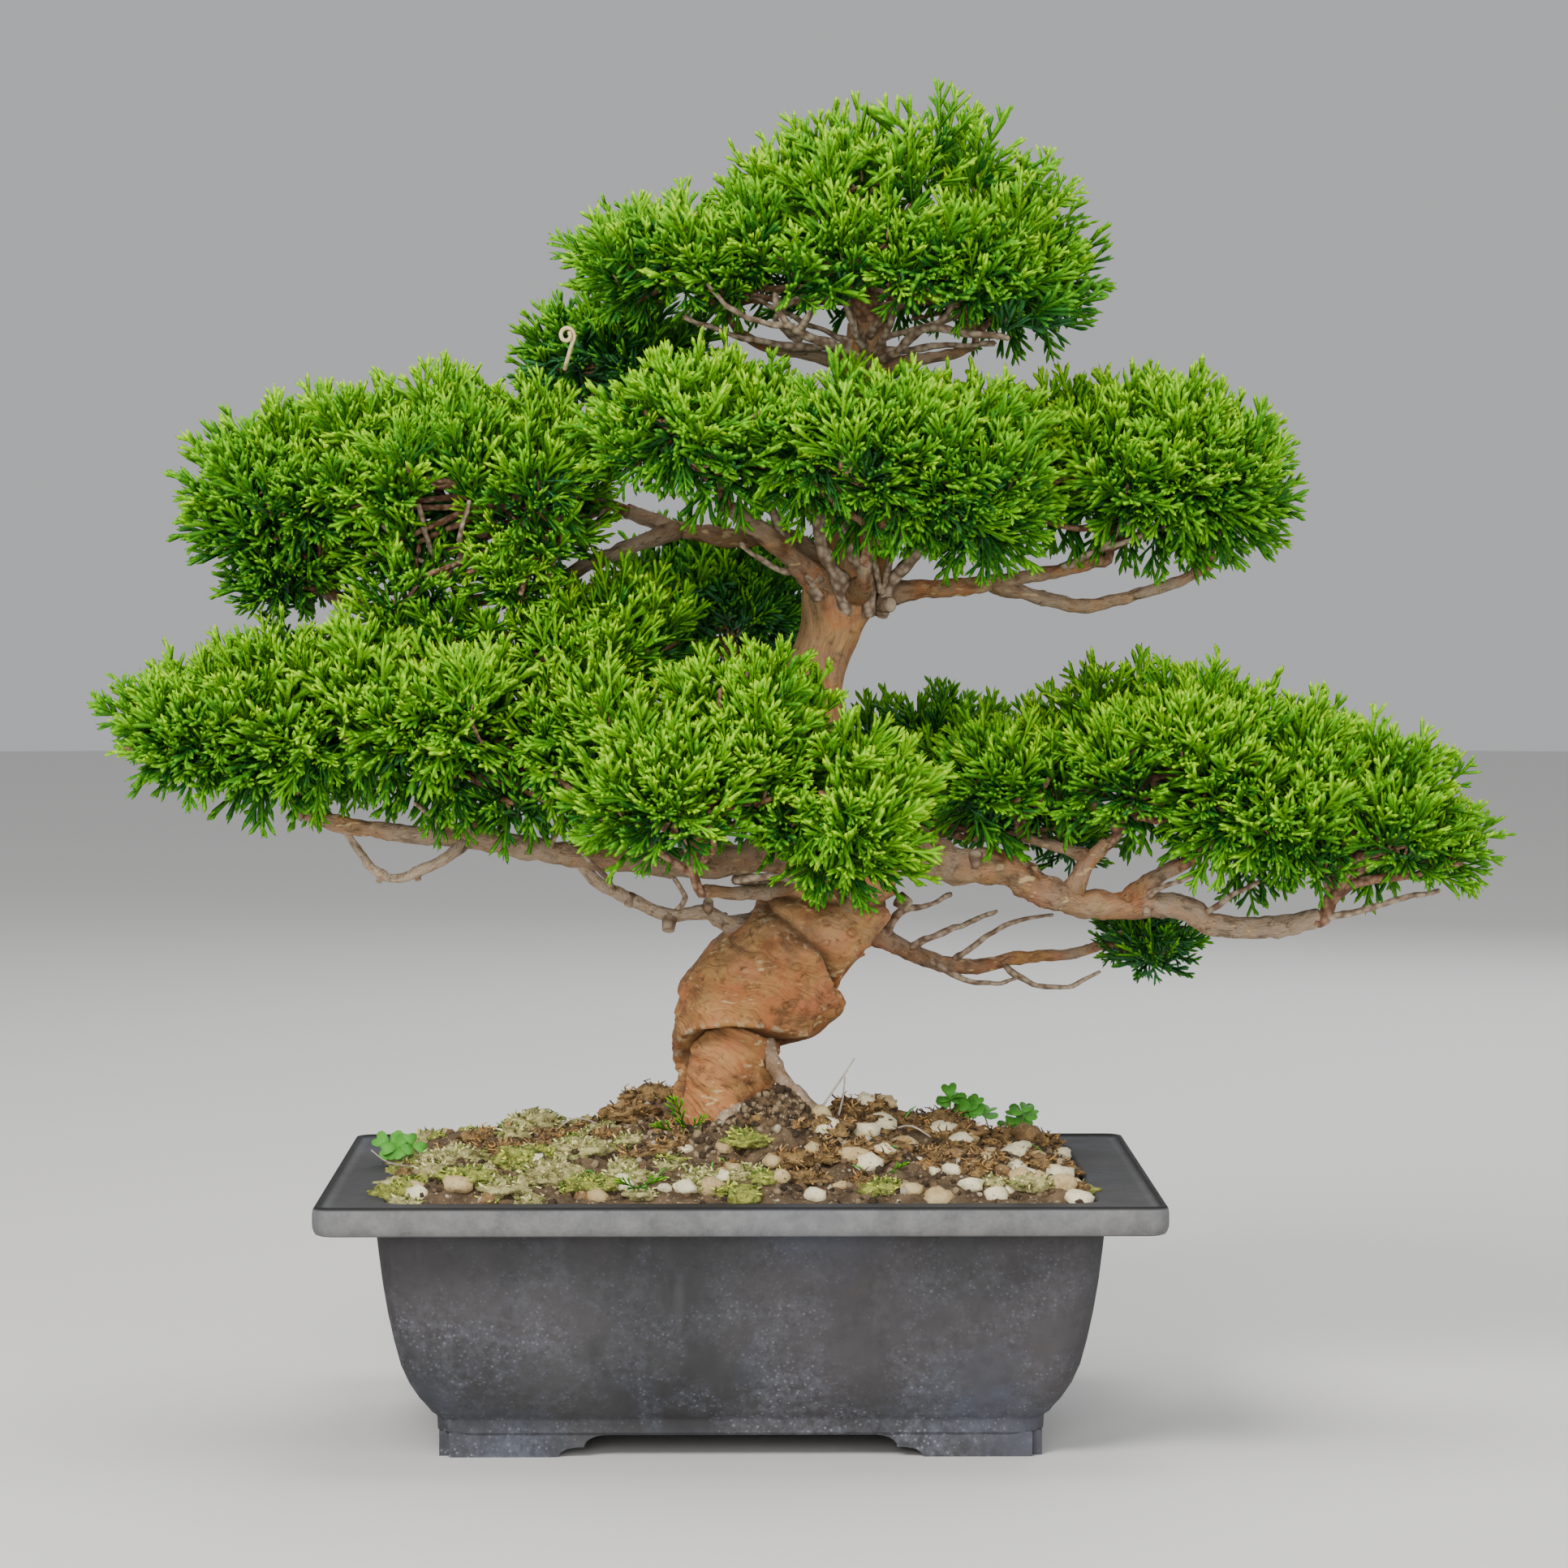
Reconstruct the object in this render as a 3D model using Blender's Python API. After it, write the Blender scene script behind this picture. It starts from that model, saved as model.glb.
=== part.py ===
"""Bonsai Chinese juniper in its rectangular pot.

A twisted, leaning trunk stands on a mound of soil in a low pot with bracket feet. Tapering boughs
leave the trunk in three tiers, and each ends at a clipped pad of foliage: a core with twigs under it
and toothed sprays of scale leaves standing out all round.

Lengths in the tables are millimetres about the middle of the pot's foot: X to the right, Y away from
the front, Z up. They become metres when a mesh is made.
"""
import math
import random

import bmesh
import bpy
from mathutils import Matrix, Vector, noise

MM = 0.001
GAP = 0.3  # left between neighbouring solids
CUT_CLEAR = 1.5 * GAP  # a cutter is this much thicker than the limb it stands for, so that facets clear it too
GOLDEN_ANGLE = math.pi * (3 - math.sqrt(5))

# The pot stands a little left of and in front of the middle of the whole, as the crown overhangs.
POT_X = -20.6
POT_Y = -8.4

# Pot
RIM_WIDTH = 300.0
RIM_DEPTH = 225.0
POT_HEIGHT = 95.0
RIM_THICK = 10.5
RIM_OVERHANG = 20.5
RIM_CORNER = 7.0
RIM_FOOT = POT_HEIGHT - RIM_THICK
# The rim's section: how far it is drawn in from the edge, how much tighter its corner is, height above its foot
RIM_SECTION = (
    (2.5, 1.5, 0.0), (0.6, 0.4, 1.5), (0.0, 0.0, 4.0), (0.5, 0.3, 9.7), (1.6, 1.0, 10.5), (3.6, 2.4, 9.3))
MOUTH_EASE = 1.0  # the inner edge of the rim is eased by this much, from this far below the lip
MOUTH_DROP = 1.5
BODY_CORNER = 12.0
WALL = 4.0
FOOT_HEIGHT = 8.0
FLOOR_TOP = 14.0
# Height of the body's outline, and how far it has drawn in from its widest there
BODY_OUTLINE = ((8.0, 21.5), (14.0, 20.5), (16.5, 18.0), (27.0, 11.0), (43.0, 6.0), (64.0, 2.3), (84.5, 0.0))
HOLLOW_HEIGHTS = (27.0, 43.0, 64.0)  # where the hollow's walls change slope above the floor
FOOT_THICK = 9.0
FOOT_REACH_X = 42.0  # full height of a foot along the pot's long side
FOOT_REACH_Y = 32.0
FOOT_STEP = 20.0  # length of the stepped bracket beyond it
FOOT_SUNK = 1.0  # how far a foot runs up into the body
FOOT_INSET = 0.05  # of its outer face from the body's
# The bracket's two rounded steps: start along it as a share of its length, height at its foot and at its top
FOOT_CURLS = ((0.0, 0.5, 3.6), (0.45, 3.6, FOOT_HEIGHT))
FOOT_CURL_LENGTH = 0.4
FOOT_CURL_START = 0.05
FOOT_CURL_STEPS = 3
DRAIN_RADIUS = 9.0
DRAIN_X = 48.0
DRAIN_SIDES = 20

# Soil
SOIL_EDGE = 92.0
SOIL_SHOULDER = 1.5  # the soil's side ends this far below its edge
SOIL_CLEAR = GAP + 0.1
SOIL_RISE = 11.0  # from the wall to the foot of the seat
SOIL_POWER = 2
SEAT_Z = 113.0  # flat ground under the trunk's cut
SEAT_X = 4.0
SEAT_REACH_X = 37.0
SEAT_REACH_Y = 27.0
SEAT_FOOT = 0.62  # share of the way in from the wall where the ground starts to climb to the seat
SOIL_LUMP = 1.6
SOIL_RINGS = 13
SOIL_SIDE_POINTS = 7
SOIL_FIRST = 0.03  # the first ring's share of the way in from the wall
# Heaps of moss, bark and grit: X, Y, reach and height
SOIL_HEAPS = (
    (-112, -26, 22, 6), (-110, 48, 22, 7), (-88, 22, 22, 6), (-78, 66, 22, 7), (-48, 62, 20, 6),
    (-36, 30, 20, 11), (-66, -44, 26, 6), (-104, -66, 18, 3), (-30, -52, 18, 3), (14, -41, 15, 11),
    (8, -74, 16, 4), (48, -46, 20, 4), (86, -48, 20, 5), (112, -66, 18, 4), (52, 24, 20, 10),
    (78, 8, 22, 7), (104, -10, 20, 4), (108, 44, 22, 6), (76, 56, 20, 6), (8, 60, 22, 7),
    (40, 70, 18, 5), (-66, -8, 20, 4), (-26, -78, 16, 3),
)
HEAP_POWER = 1.5
HEAP_FADE = 0.08  # share of the way over which heaps die out towards the wall and the seat

# Trunk: height, middle X, half width, middle Y, half depth
TRUNK = (
    (113, -5, 17, 0, 17), (125, -5, 17.5, 0, 17), (137, -4.5, 19.5, 0, 19), (155, 5.5, 30, -1, 24),
    (167, 9, 30.5, -1, 25), (179, 19, 31, 0, 24), (191, 29.5, 25.5, 1, 22), (209, 35, 22.5, 1, 20),
    (227, 32.5, 18.5, 1, 17), (251, 25, 15, 1, 14.5), (277, 27, 12, 1, 12), (295, 34, 12, 1, 12),
    (308, 38, 15, 1, 13), (319, 42, 14, 2, 12.5), (335, 44.5, 10.8, 4, 10.5), (359, 47, 10.2, 6, 9.8),
    (383, 46, 9.6, 5, 9.2), (407, 47, 7.5, 3, 7.5),
)
TRUNK_SIDES = 12
TRUNK_RINGS = 30
TRUNK_EVEN = 0.8  # of the rings' spacing; the rest widens with height
TWIST = 0.028  # turn of the trunk's two ribs, radians per millimetre of height
RIB = 0.055
# Root flare: direction in degrees, spread, and how far the root runs out past the trunk
ROOTS = ((-8, 18, 23), (115, 26, 5), (205, 26, 4), (285, 22, 5))
FLARE_HEIGHT = 8.0
TRUNK_TIP_CLEAR = 6.0  # foliage keeps clear this far above the trunk's tip

# Boughs: the limb each leaves, radius at its foot and at its tip, and its route
BOUGHS = {
    "bough_right_low": ("trunk", 8.0, 3.4, (
        (41, 0, 222), (60, -3, 215), (78, -6, 208), (96, -6, 207), (111, -4, 199), (127, 0, 193),
        (161, 0, 192), (176, 0, 185), (198, 0, 184.5), (214, 0, 188))),
    "bough_right_low_middle": ("bough_right_low", 3.8, 2.4, (
        (122, 0, 196), (128, -2, 208), (136, -4, 216))),
    "bough_right_low_inner": ("bough_right_low_middle", 2.4, 1.7, (
        (129, -2, 210), (118, 2, 214), (106, 6, 217))),
    "bough_right_low_fork": ("bough_right_low", 3.6, 2.6, (
        (142, 0, 193), (154, -2, 203), (163, -4, 208))),
    "bough_left_low": ("trunk", 7.0, 2.4, (
        (29, 0, 224), (11, -6, 213), (-12, -10, 209), (-36, -14, 210), (-61, -16, 212), (-96, -16, 218),
        (-122, -14, 220), (-146, -12, 223), (-159, -12, 227))),
    "bough_left_low_middle": ("bough_left_low", 2.8, 1.9, (
        (-93, -16, 218), (-100, -20, 226), (-103, -23, 234))),
    "bough_left_low_inner": ("bough_left_low", 3.6, 2.4, (
        (-33, -12, 209), (-36, -4, 227), (-40, -4, 243), (-43, -8, 254))),
    "bough_left_low_loop": ("bough_left_low", 2.2, 1.4, (
        (-100, -16, 218), (-108, -20, 211), (-121, -20, 205), (-131, -18, 205), (-139, -14, 213),
        (-146, -12, 223))),
    "bough_left_low_spur": ("trunk", 3.3, 1.9, (
        (14, 0, 187), (-2, -8, 186), (-13, -12, 191), (-26, -14, 190), (-40, -14, 196), (-52, -14, 202),
        (-61, -16, 212))),
    "bough_front_low": ("trunk", 3.6, 2.2, (
        (29, -4, 209), (16, -36, 202), (1, -58, 201), (-13, -70, 203))),
    "bough_front_low_right": ("trunk", 3.0, 2.0, (
        (37, -4, 204), (38, -34, 197), (40, -54, 196), (40, -66, 200))),
    "bough_back_right_low": ("trunk", 4.2, 1.8, (
        (38, 2, 188), (54, 16, 179), (70, 32, 170), (88, 44, 166), (106, 50, 169), (123, 52, 170),
        (136, 52, 173))),
    "bough_back_right_upper": ("trunk", 4.0, 2.4, (
        (38, 6, 215), (53, 38, 207), (66, 62, 205), (72, 76, 210))),
    "bough_back_left_low": ("trunk", 3.6, 2.2, (
        (28, 4, 273), (22, 30, 269), (12, 52, 269), (4, 66, 273))),
    "bough_front_left": ("trunk", 5.2, 2.6, (
        (38, 0, 307), (26, -10, 315), (12, -26, 327), (1, -38, 335), (-4, -44, 339))),
    "bough_front_middle": ("trunk", 3.8, 2.2, (
        (41, 0, 308), (44, -26, 310), (45, -42, 314), (45, -49, 320))),
    "bough_right_middle": ("trunk", 4.0, 2.2, (
        (44, 0, 306), (65, 3, 309), (84, 6, 310), (97, 8, 312), (118, 10, 316), (134, 12, 320))),
    "bough_right_middle_lower": ("bough_right_middle", 2.8, 2.0, (
        (92, 8, 312), (111, 10, 306), (128, 10, 303), (147, 12, 307), (163, 12, 312), (172, 12, 317))),
    "bough_left_middle": ("trunk", 4.4, 2.8, (
        (37, 2, 313), (16, 18, 328), (-4, 30, 328), (-25, 32, 332), (-42, 24, 338))),
    "bough_left_middle_outer": ("bough_left_middle", 3.0, 1.9, (
        (-22, 32, 332), (-40, 22, 325), (-55, 14, 319), (-69, 8, 312), (-90, 8, 306), (-120, 8, 303),
        (-135, 6, 302), (-142, 5, 304))),
    "bough_back_left_upper": ("trunk", 3.6, 2.0, (
        (47, 6, 344), (27, 34, 355), (8, 52, 368), (-6, 60, 378))),
    "bough_back_middle": ("trunk", 3.6, 2.2, (
        (46, 4, 327), (50, 34, 327), (54, 54, 330), (56, 64, 335))),
    "bough_top_left": ("trunk", 2.8, 1.7, (
        (46, 5, 391), (28, 3, 395), (10, 2, 398), (1, 3, 403))),
    "bough_top_right": ("trunk", 2.8, 1.7, (
        (46, 4, 389), (62, 0, 393), (76, -2, 395), (84, -2, 398))),
}
RUNS_INTO = {"bough_left_low_spur": "bough_left_low"}  # a bough that ends at another limb, and that limb
BOUGH_SIDES = 6
STATION = 11.0  # spacing of a bough's rings
TAPER = 0.8  # below 1, a bough narrows faster near its foot
KNOT = 0.10  # a bough's thickness varies by this share
KNOT_SIZE = 9.0

# Foliage: the limb that carries each pad, then its lobes: middle X, Y, Z, reach in X, in Y, up and down
PADS = {
    "foliage_top": ("trunk", (
        (44, 0, 427, 79, 83, 65, 26),)),
    "foliage_top_left": ("bough_top_left", (
        (-13, 5, 434, 54, 60, 29, 30),)),
    "foliage_top_right": ("bough_top_right", (
        (87, -2, 426, 50, 65, 47, 32),)),
    "foliage_front_left": ("bough_front_left", (
        (-11, -52, 366, 50, 54, 38, 30),)),
    "foliage_front_middle": ("bough_front_middle", (
        (43, -62, 362, 37, 52, 41, 37), (82, -49, 351, 37, 52, 45, 42))),
    "foliage_right_middle": ("bough_right_middle", (
        (144, 12, 356, 46, 61, 40, 38),)),
    "foliage_right_middle_outer": ("bough_right_middle_lower", (
        (177, 12, 351, 33, 55, 38, 34),)),
    "foliage_left_middle": ("bough_left_middle", (
        (-110, -7, 355, 42, 62, 41, 44), (-77, -10, 350, 34, 56, 38, 45))),
    "foliage_left_middle_outer": ("bough_left_middle_outer", (
        (-169, 5, 344, 40, 53, 40, 36), (-166, 5, 314, 28, 36, 14, 14))),
    "foliage_back_left_upper": ("bough_back_left_upper", (
        (-45, 62, 398, 42, 47, 30, 27),)),
    "foliage_back_middle": ("bough_back_middle", (
        (59, 84, 360, 45, 49, 31, 29),)),
    "foliage_back_left_low": ("bough_back_left_low", (
        (-10, 88, 307, 45, 59, 34, 34),)),
    "foliage_left_low_tip": ("bough_left_low", (
        (-207, -18, 260, 30, 40, 25, 25), (-168, -15, 264, 39, 55, 41, 41))),
    "foliage_left_low": ("bough_left_low_middle", (
        (-122, -22, 269, 41, 64, 42, 46), (-82, -28, 267, 38, 58, 42, 46))),
    "foliage_left_low_inner": ("bough_left_low_inner", (
        (-44, -8, 290, 35, 53, 34, 36),)),
    "foliage_front_low": ("bough_front_low", (
        (-25, -80, 246, 43, 53, 43, 46), (6, -74, 270, 32, 43, 25, 32))),
    "foliage_front_low_right": ("bough_front_low_right", (
        (38, -82, 231, 37, 49, 40, 36),)),
    "foliage_right_low": ("bough_right_low_middle", (
        (152, 0, 248, 46, 63, 42, 42),)),
    "foliage_right_low_outer": ("bough_right_low_fork", (
        (188, -5, 233, 45, 61, 48, 48),)),
    "foliage_right_low_tip": ("bough_right_low", (
        (229, 0, 227, 42, 49, 41, 38), (256, 0, 217, 28, 37, 24, 21))),
    "foliage_right_low_inner": ("bough_right_low_inner", (
        (98, 10, 239, 33, 48, 31, 28),)),
    "foliage_back_right_upper": ("bough_back_right_upper", (
        (75, 90, 246, 42, 58, 41, 36),)),
    "foliage_back_right_low": ("bough_back_right_low", (
        (154, 52, 177, 24, 28, 14, 15),)),
}
FIRST_SEED = 311
CELL_SHARE = 0.03  # pads keep this share of their reach to either side of a shared border
OUTSIDE = 1.1  # past this share of its reach, a pad lays no claim to a point
LIMB_CLEAR = 0.9
LIMB_LUMP = 1.06  # a limb counts as this much thicker where foliage keeps clear of it
LIMB_NEAR = 60.0  # a stretch of limb further off than this isn't looked at

# Cores
SPRAY_STAND = 10.0  # how far sprays stand out of a core
CORE_LEAST = 0.5  # a small lobe's core keeps this share of its reach
CORE_LUMP = 0.20
CORE_LUMP_COUNT = 3.7
CORE_CLEAR = LIMB_CLEAR + 1.2
CORE_DRAWN_IN = 0.04  # step by which a core is drawn in until it fits
CORE_LOWEST = 0.1

# Stems and twigs: how thick the stem is beside the tip that carries it, and along it; shares of the core's reach
STEM_SHARES = (0.92, 0.83, 0.55)
TRUNK_TIP_SHARE = 0.9
STEM_NECK = 2.5
STEM_IN = 0.75
STEM_LOWEST = 0.45
TWIGS = 3
TWIG_RADIUS = 1.3
TWIG_CLEAR = TWIG_RADIUS + 0.6
TWIG_TIP = 0.7
TWIG_SAG = 0.06
TWIG_SPREAD = 0.62
TWIG_DROP = 0.35
TWIG_SPACE = 1.25
TWIG_PROBES = (0.3, 0.45, 0.6, 0.75, 0.9, 1.0)

# Sprays
SPRAY_LENGTH = 27.0
SPRAY_VARY = 0.15
SPRAY_SHORTEST = 0.6
SPRAY_TRIM = 2.0  # step by which a spray is shortened until it fits
SPRAY_WIDTH = 0.85  # of its length
SPRAY_THICK = 1.5  # half thickness at the middle
SPRAY_MIDDLE = 0.48
SPRAY_SUNK = 8.0
SPRAY_AREA = 1400.0  # one spray for each such patch of a lobe, in square millimetres
SPRAY_LEAST_COUNT = 8
SPRAY_UNDERSIDE = -0.7  # none where a pad faces down more steeply
SPRAY_BURIED = 0.75  # none that starts this deep in another lobe of its pad
SPRAY_SPACE = 1.04
# A spray's outline: share of its length, and share of its half width to one side
SPRAY_TEETH = ((0.0, 0.0), (0.72, 1.0), (0.60, 0.30), (1.0, 0.0), (0.62, -0.32), (0.78, -0.95))
UPRIGHT = 0.55  # how far shoots turn from square to the pad towards the light
UPRIGHT_TOP = 1.1
SPRAY_SHIFT = 0.25  # the most that a spray is off its even place, way and turn
SPRAY_STRAY = 0.22
SPRAY_TILT = 0.6
SPRAY_ROLL = 0.9

# Colour, roughness and metallic value of each material
POT_LOOK = ((0.085, 0.080, 0.084), 0.55, 0.0)
SOIL_LOOK = ((0.16, 0.12, 0.07), 0.95, 0.0)
BARK_LOOK = ((0.30, 0.15, 0.075), 0.75, 0.0)
GREEN_LOOK = ((0.065, 0.24, 0.02), 0.6, 0.0)


def make_material(name, look):
    """A plain surface of one colour."""
    colour, roughness, metallic = look
    material = bpy.data.materials.new(name)
    material.use_nodes = True
    shader = material.node_tree.nodes["Principled BSDF"]
    shader.inputs["Base Color"].default_value = (*colour, 1.0)
    shader.inputs["Roughness"].default_value = roughness
    shader.inputs["Metallic"].default_value = metallic
    return material


def make_object(name, bm, look=None):
    """A mesh object, its millimetres turned into metres."""
    bmesh.ops.scale(bm, vec=(MM, MM, MM), verts=bm.verts)
    bmesh.ops.recalc_face_normals(bm, faces=bm.faces)
    mesh = bpy.data.meshes.new(name)
    bm.to_mesh(mesh)
    bm.free()
    obj = bpy.data.objects.new(name, mesh)
    bpy.context.scene.collection.objects.link(obj)
    if look is not None:
        obj.data.materials.append(make_material(f"{name}_surface", look))
    return obj


def loft(bm, rings):
    """Extrudes a face from one ring of points to the next, closed by a flat cap at each end."""
    face = bm.faces.new([bm.verts.new(point) for point in rings[0]])
    foot = face
    for ring in rings[1:]:
        made = bmesh.ops.extrude_face_region(bm, geom=[face], use_keep_orig=True)["geom"]
        if face is not foot:
            bm.faces.remove(face)
        face = next(item for item in made if isinstance(item, bmesh.types.BMFace))
        for vert, point in zip(face.verts, ring):
            vert.co = point


def combine(target, pieces, operation):
    """Applies one Boolean of a whole collection to an object, then removes the collection's objects."""
    group = bpy.data.collections.new(f"{target.name}_pieces")
    bpy.context.scene.collection.children.link(group)
    for piece in pieces:
        bpy.context.scene.collection.objects.unlink(piece)
        group.objects.link(piece)
        piece.hide_render = True
        piece.display_type = "WIRE"
    change = target.modifiers.new(operation.title(), "BOOLEAN")
    change.operation = operation
    change.operand_type = "COLLECTION"
    change.collection = group
    change.solver = "EXACT"
    graph = bpy.context.evaluated_depsgraph_get()
    mesh = bpy.data.meshes.new_from_object(target.evaluated_get(graph))
    target.modifiers.clear()
    target.data = mesh
    for piece in pieces:
        bpy.data.objects.remove(piece)
    bpy.data.collections.remove(group)
    keep_largest_shell(mesh)


def keep_largest_shell(mesh):
    """Drops loose scraps and the walls of sealed hollows, and leaves the mesh triangulated."""
    bm = bmesh.new()
    bm.from_mesh(mesh)
    bmesh.ops.dissolve_degenerate(bm, dist=1e-7, edges=bm.edges)
    shells = []
    waiting = set(bm.verts)
    while waiting:
        shell = {waiting.pop()}
        edge_of_shell = list(shell)
        while edge_of_shell:
            vert = edge_of_shell.pop()
            for edge in vert.link_edges:
                other = edge.other_vert(vert)
                if other in waiting:
                    waiting.discard(other)
                    shell.add(other)
                    edge_of_shell.append(other)
        shells.append(shell)
    shells.sort(key=spread)
    for shell in shells[:-1]:
        bmesh.ops.delete(bm, geom=list(shell), context="VERTS")
    bmesh.ops.triangulate(bm, faces=bm.faces)
    bm.to_mesh(mesh)
    bm.free()


def spread(shell):
    """The length of the diagonal of the box round some vertices."""
    low = [min(vert.co[axis] for vert in shell) for axis in range(3)]
    high = [max(vert.co[axis] for vert in shell) for axis in range(3)]
    return math.dist(low, high)


def smooth(obj, degrees=40.0):
    """Shades a round piece smooth, with sharp edges kept."""
    obj.data.shade_smooth()
    obj.data.set_sharp_from_angle(angle=math.radians(degrees))


def between(stations, t):
    """A smooth curve through equally spaced stations, t from 0 to their count less one."""
    last = len(stations) - 1
    index = min(int(t), last - 1)
    part = t - index
    before = stations[max(index - 1, 0)]
    start = stations[index]
    end = stations[index + 1]
    after = stations[min(index + 2, last)]
    values = []
    for p0, p1, p2, p3 in zip(before, start, end, after):
        slope = (p2 - p0) * part
        bend = (2 * p0 - 5 * p1 + 4 * p2 - p3) * part ** 2
        curl = (3 * p1 - p0 - 3 * p2 + p3) * part ** 3
        values.append(p1 + 0.5 * (slope + bend + curl))
    return values


def rounded_rectangle(half_x, half_y, corner, z, steps=2, side_points=0):
    """Points round a rectangle with rounded corners, in order, with more along its sides if asked."""
    points = []
    quarters = ((1, 1, 0), (-1, 1, 90), (-1, -1, 180), (1, -1, 270))
    for number, (sign_x, sign_y, start) in enumerate(quarters):
        middle = Vector((sign_x * (half_x - corner), sign_y * (half_y - corner), z))
        for step in range(steps + 1):
            angle = math.radians(start + 90 * step / steps)
            points.append(middle + Vector((corner * math.cos(angle), corner * math.sin(angle), 0)))
        next_x, next_y, next_start = quarters[(number + 1) % 4]
        ahead = Vector((next_x * (half_x - corner), next_y * (half_y - corner), z))
        ahead += corner * Vector((math.cos(math.radians(next_start)), math.sin(math.radians(next_start)), 0))
        for step in range(side_points):
            points.append(points[-1 - step].lerp(ahead, (step + 1) / (side_points + 1)))
    return points


def body_half(height):
    """Half width and half depth of the pot's body at a height."""
    inset = BODY_OUTLINE[-1][1]
    for (z0, in0), (z1, in1) in zip(BODY_OUTLINE, BODY_OUTLINE[1:]):
        if z0 <= height <= z1:
            inset = in0 + (in1 - in0) * (height - z0) / (z1 - z0)
    return RIM_WIDTH / 2 - RIM_OVERHANG - inset, RIM_DEPTH / 2 - RIM_OVERHANG - inset


def cavity_half(height):
    """Half width and half depth of the pot's hollow at a height."""
    half_x, half_y = body_half(height)
    return half_x - WALL, half_y - WALL


def foot_leg(reach, across, turn, corner_x, corner_y):
    """One leg of a bracket foot: full height, then two rounded steps up to the pot's underside."""
    top = FOOT_HEIGHT + FOOT_SUNK
    outline = [(0.0, 0.0), (reach, 0.0)]
    for start, low, high in FOOT_CURLS:
        for step in range(FOOT_CURL_STEPS + 1):
            angle = math.pi / 2 * step / FOOT_CURL_STEPS
            along = start + FOOT_CURL_START + FOOT_CURL_LENGTH * (1 - math.cos(angle))
            outline.append((reach + FOOT_STEP * along, low + (high - low) * math.sin(angle)))
    outline.append((reach + FOOT_STEP, top))
    outline.append((0.0, top))
    bm = bmesh.new()
    face = bm.faces.new([bm.verts.new((x, 0.0, z)) for x, z in outline])
    made = bmesh.ops.extrude_face_region(bm, geom=[face])["geom"]
    side = [item for item in made if isinstance(item, bmesh.types.BMVert)]
    bmesh.ops.translate(bm, vec=(0.0, across, 0.0), verts=side)
    bmesh.ops.rotate(bm, matrix=Matrix.Rotation(turn, 3, "Z"), verts=bm.verts)
    bmesh.ops.translate(bm, vec=(corner_x, corner_y, 0.0), verts=bm.verts)
    return make_object("foot_leg", bm)


def build_pot():
    """The pot: body, overhanging rim with a lip, hollow, four bracket feet and two drain holes."""
    rings = []
    for height, _ in BODY_OUTLINE:
        rings.append(rounded_rectangle(*body_half(height), BODY_CORNER, height))
    for inset, tighter, above in RIM_SECTION:
        rings.append(rounded_rectangle(
            RIM_WIDTH / 2 - inset, RIM_DEPTH / 2 - inset, RIM_CORNER - tighter, RIM_FOOT + above))
    mouth_x, mouth_y = cavity_half(RIM_FOOT)
    inner_corner = BODY_CORNER - WALL
    rings.append(rounded_rectangle(
        mouth_x + MOUTH_EASE, mouth_y + MOUTH_EASE, inner_corner + MOUTH_EASE, POT_HEIGHT - MOUTH_DROP))
    for height in (RIM_FOOT, *reversed(HOLLOW_HEIGHTS), FLOOR_TOP):
        rings.append(rounded_rectangle(*cavity_half(height), inner_corner, height))
    bm = bmesh.new()
    loft(bm, rings)
    pot = make_object("pot", bm, POT_LOOK)
    combine(pot, foot_legs(), "UNION")

    drains = []
    for side in (-1, 1):
        bm = bmesh.new()
        place = Matrix.Translation((side * DRAIN_X, 0.0, (FLOOR_TOP + FOOT_HEIGHT) / 2))
        bmesh.ops.create_cone(
            bm, cap_ends=True, segments=DRAIN_SIDES, radius1=DRAIN_RADIUS, radius2=DRAIN_RADIUS,
            depth=FLOOR_TOP, matrix=place)
        drains.append(make_object("drain", bm))
    combine(pot, drains, "DIFFERENCE")
    smooth(pot)


def foot_legs():
    """The eight legs of the four bracket feet, two at each corner of the body."""
    half_x, half_y = body_half(FOOT_HEIGHT)
    inset = BODY_CORNER * (1 - math.sqrt(0.5)) + 4 * FOOT_INSET
    legs = []
    for sign_x in (-1, 1):
        for sign_y in (-1, 1):
            along_x = 0.0 if sign_x < 0 else math.pi
            along_y = math.pi / 2 if sign_y < 0 else -math.pi / 2
            turned_in = FOOT_THICK if sign_x * sign_y > 0 else -FOOT_THICK
            long_side = (sign_x * (half_x - inset), sign_y * (half_y - FOOT_INSET))
            short_side = (sign_x * (half_x - FOOT_INSET), sign_y * (half_y - inset))
            legs.append(foot_leg(FOOT_REACH_X - inset, turned_in, along_x, *long_side))
            legs.append(foot_leg(FOOT_REACH_Y - inset, -turned_in, along_y, *short_side))
    return legs


def ground(x, y, share):
    """Height of the soil: share runs from 0 at the pot's wall to 1 at the seat under the trunk."""
    height = SOIL_EDGE + SOIL_RISE * (1.0 - (1.0 - share) ** SOIL_POWER)
    climb = max(0.0, (share - SEAT_FOOT) / (1.0 - SEAT_FOOT))
    height += (SEAT_Z - GAP - SOIL_EDGE - SOIL_RISE) * climb * climb * (3.0 - 2.0 * climb)
    heaps = SOIL_LUMP * noise.noise(Vector((x, y, 3.0)) / 14.0)
    for heap_x, heap_y, reach, top in SOIL_HEAPS:
        off = ((x - heap_x) ** 2 + (y - heap_y) ** 2) / reach ** 2
        heaps += top * max(0.0, 1.0 - off) ** HEAP_POWER
    return height + heaps * max(0.0, min(1.0, share / HEAP_FADE, (1.0 - share) / HEAP_FADE))


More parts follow.
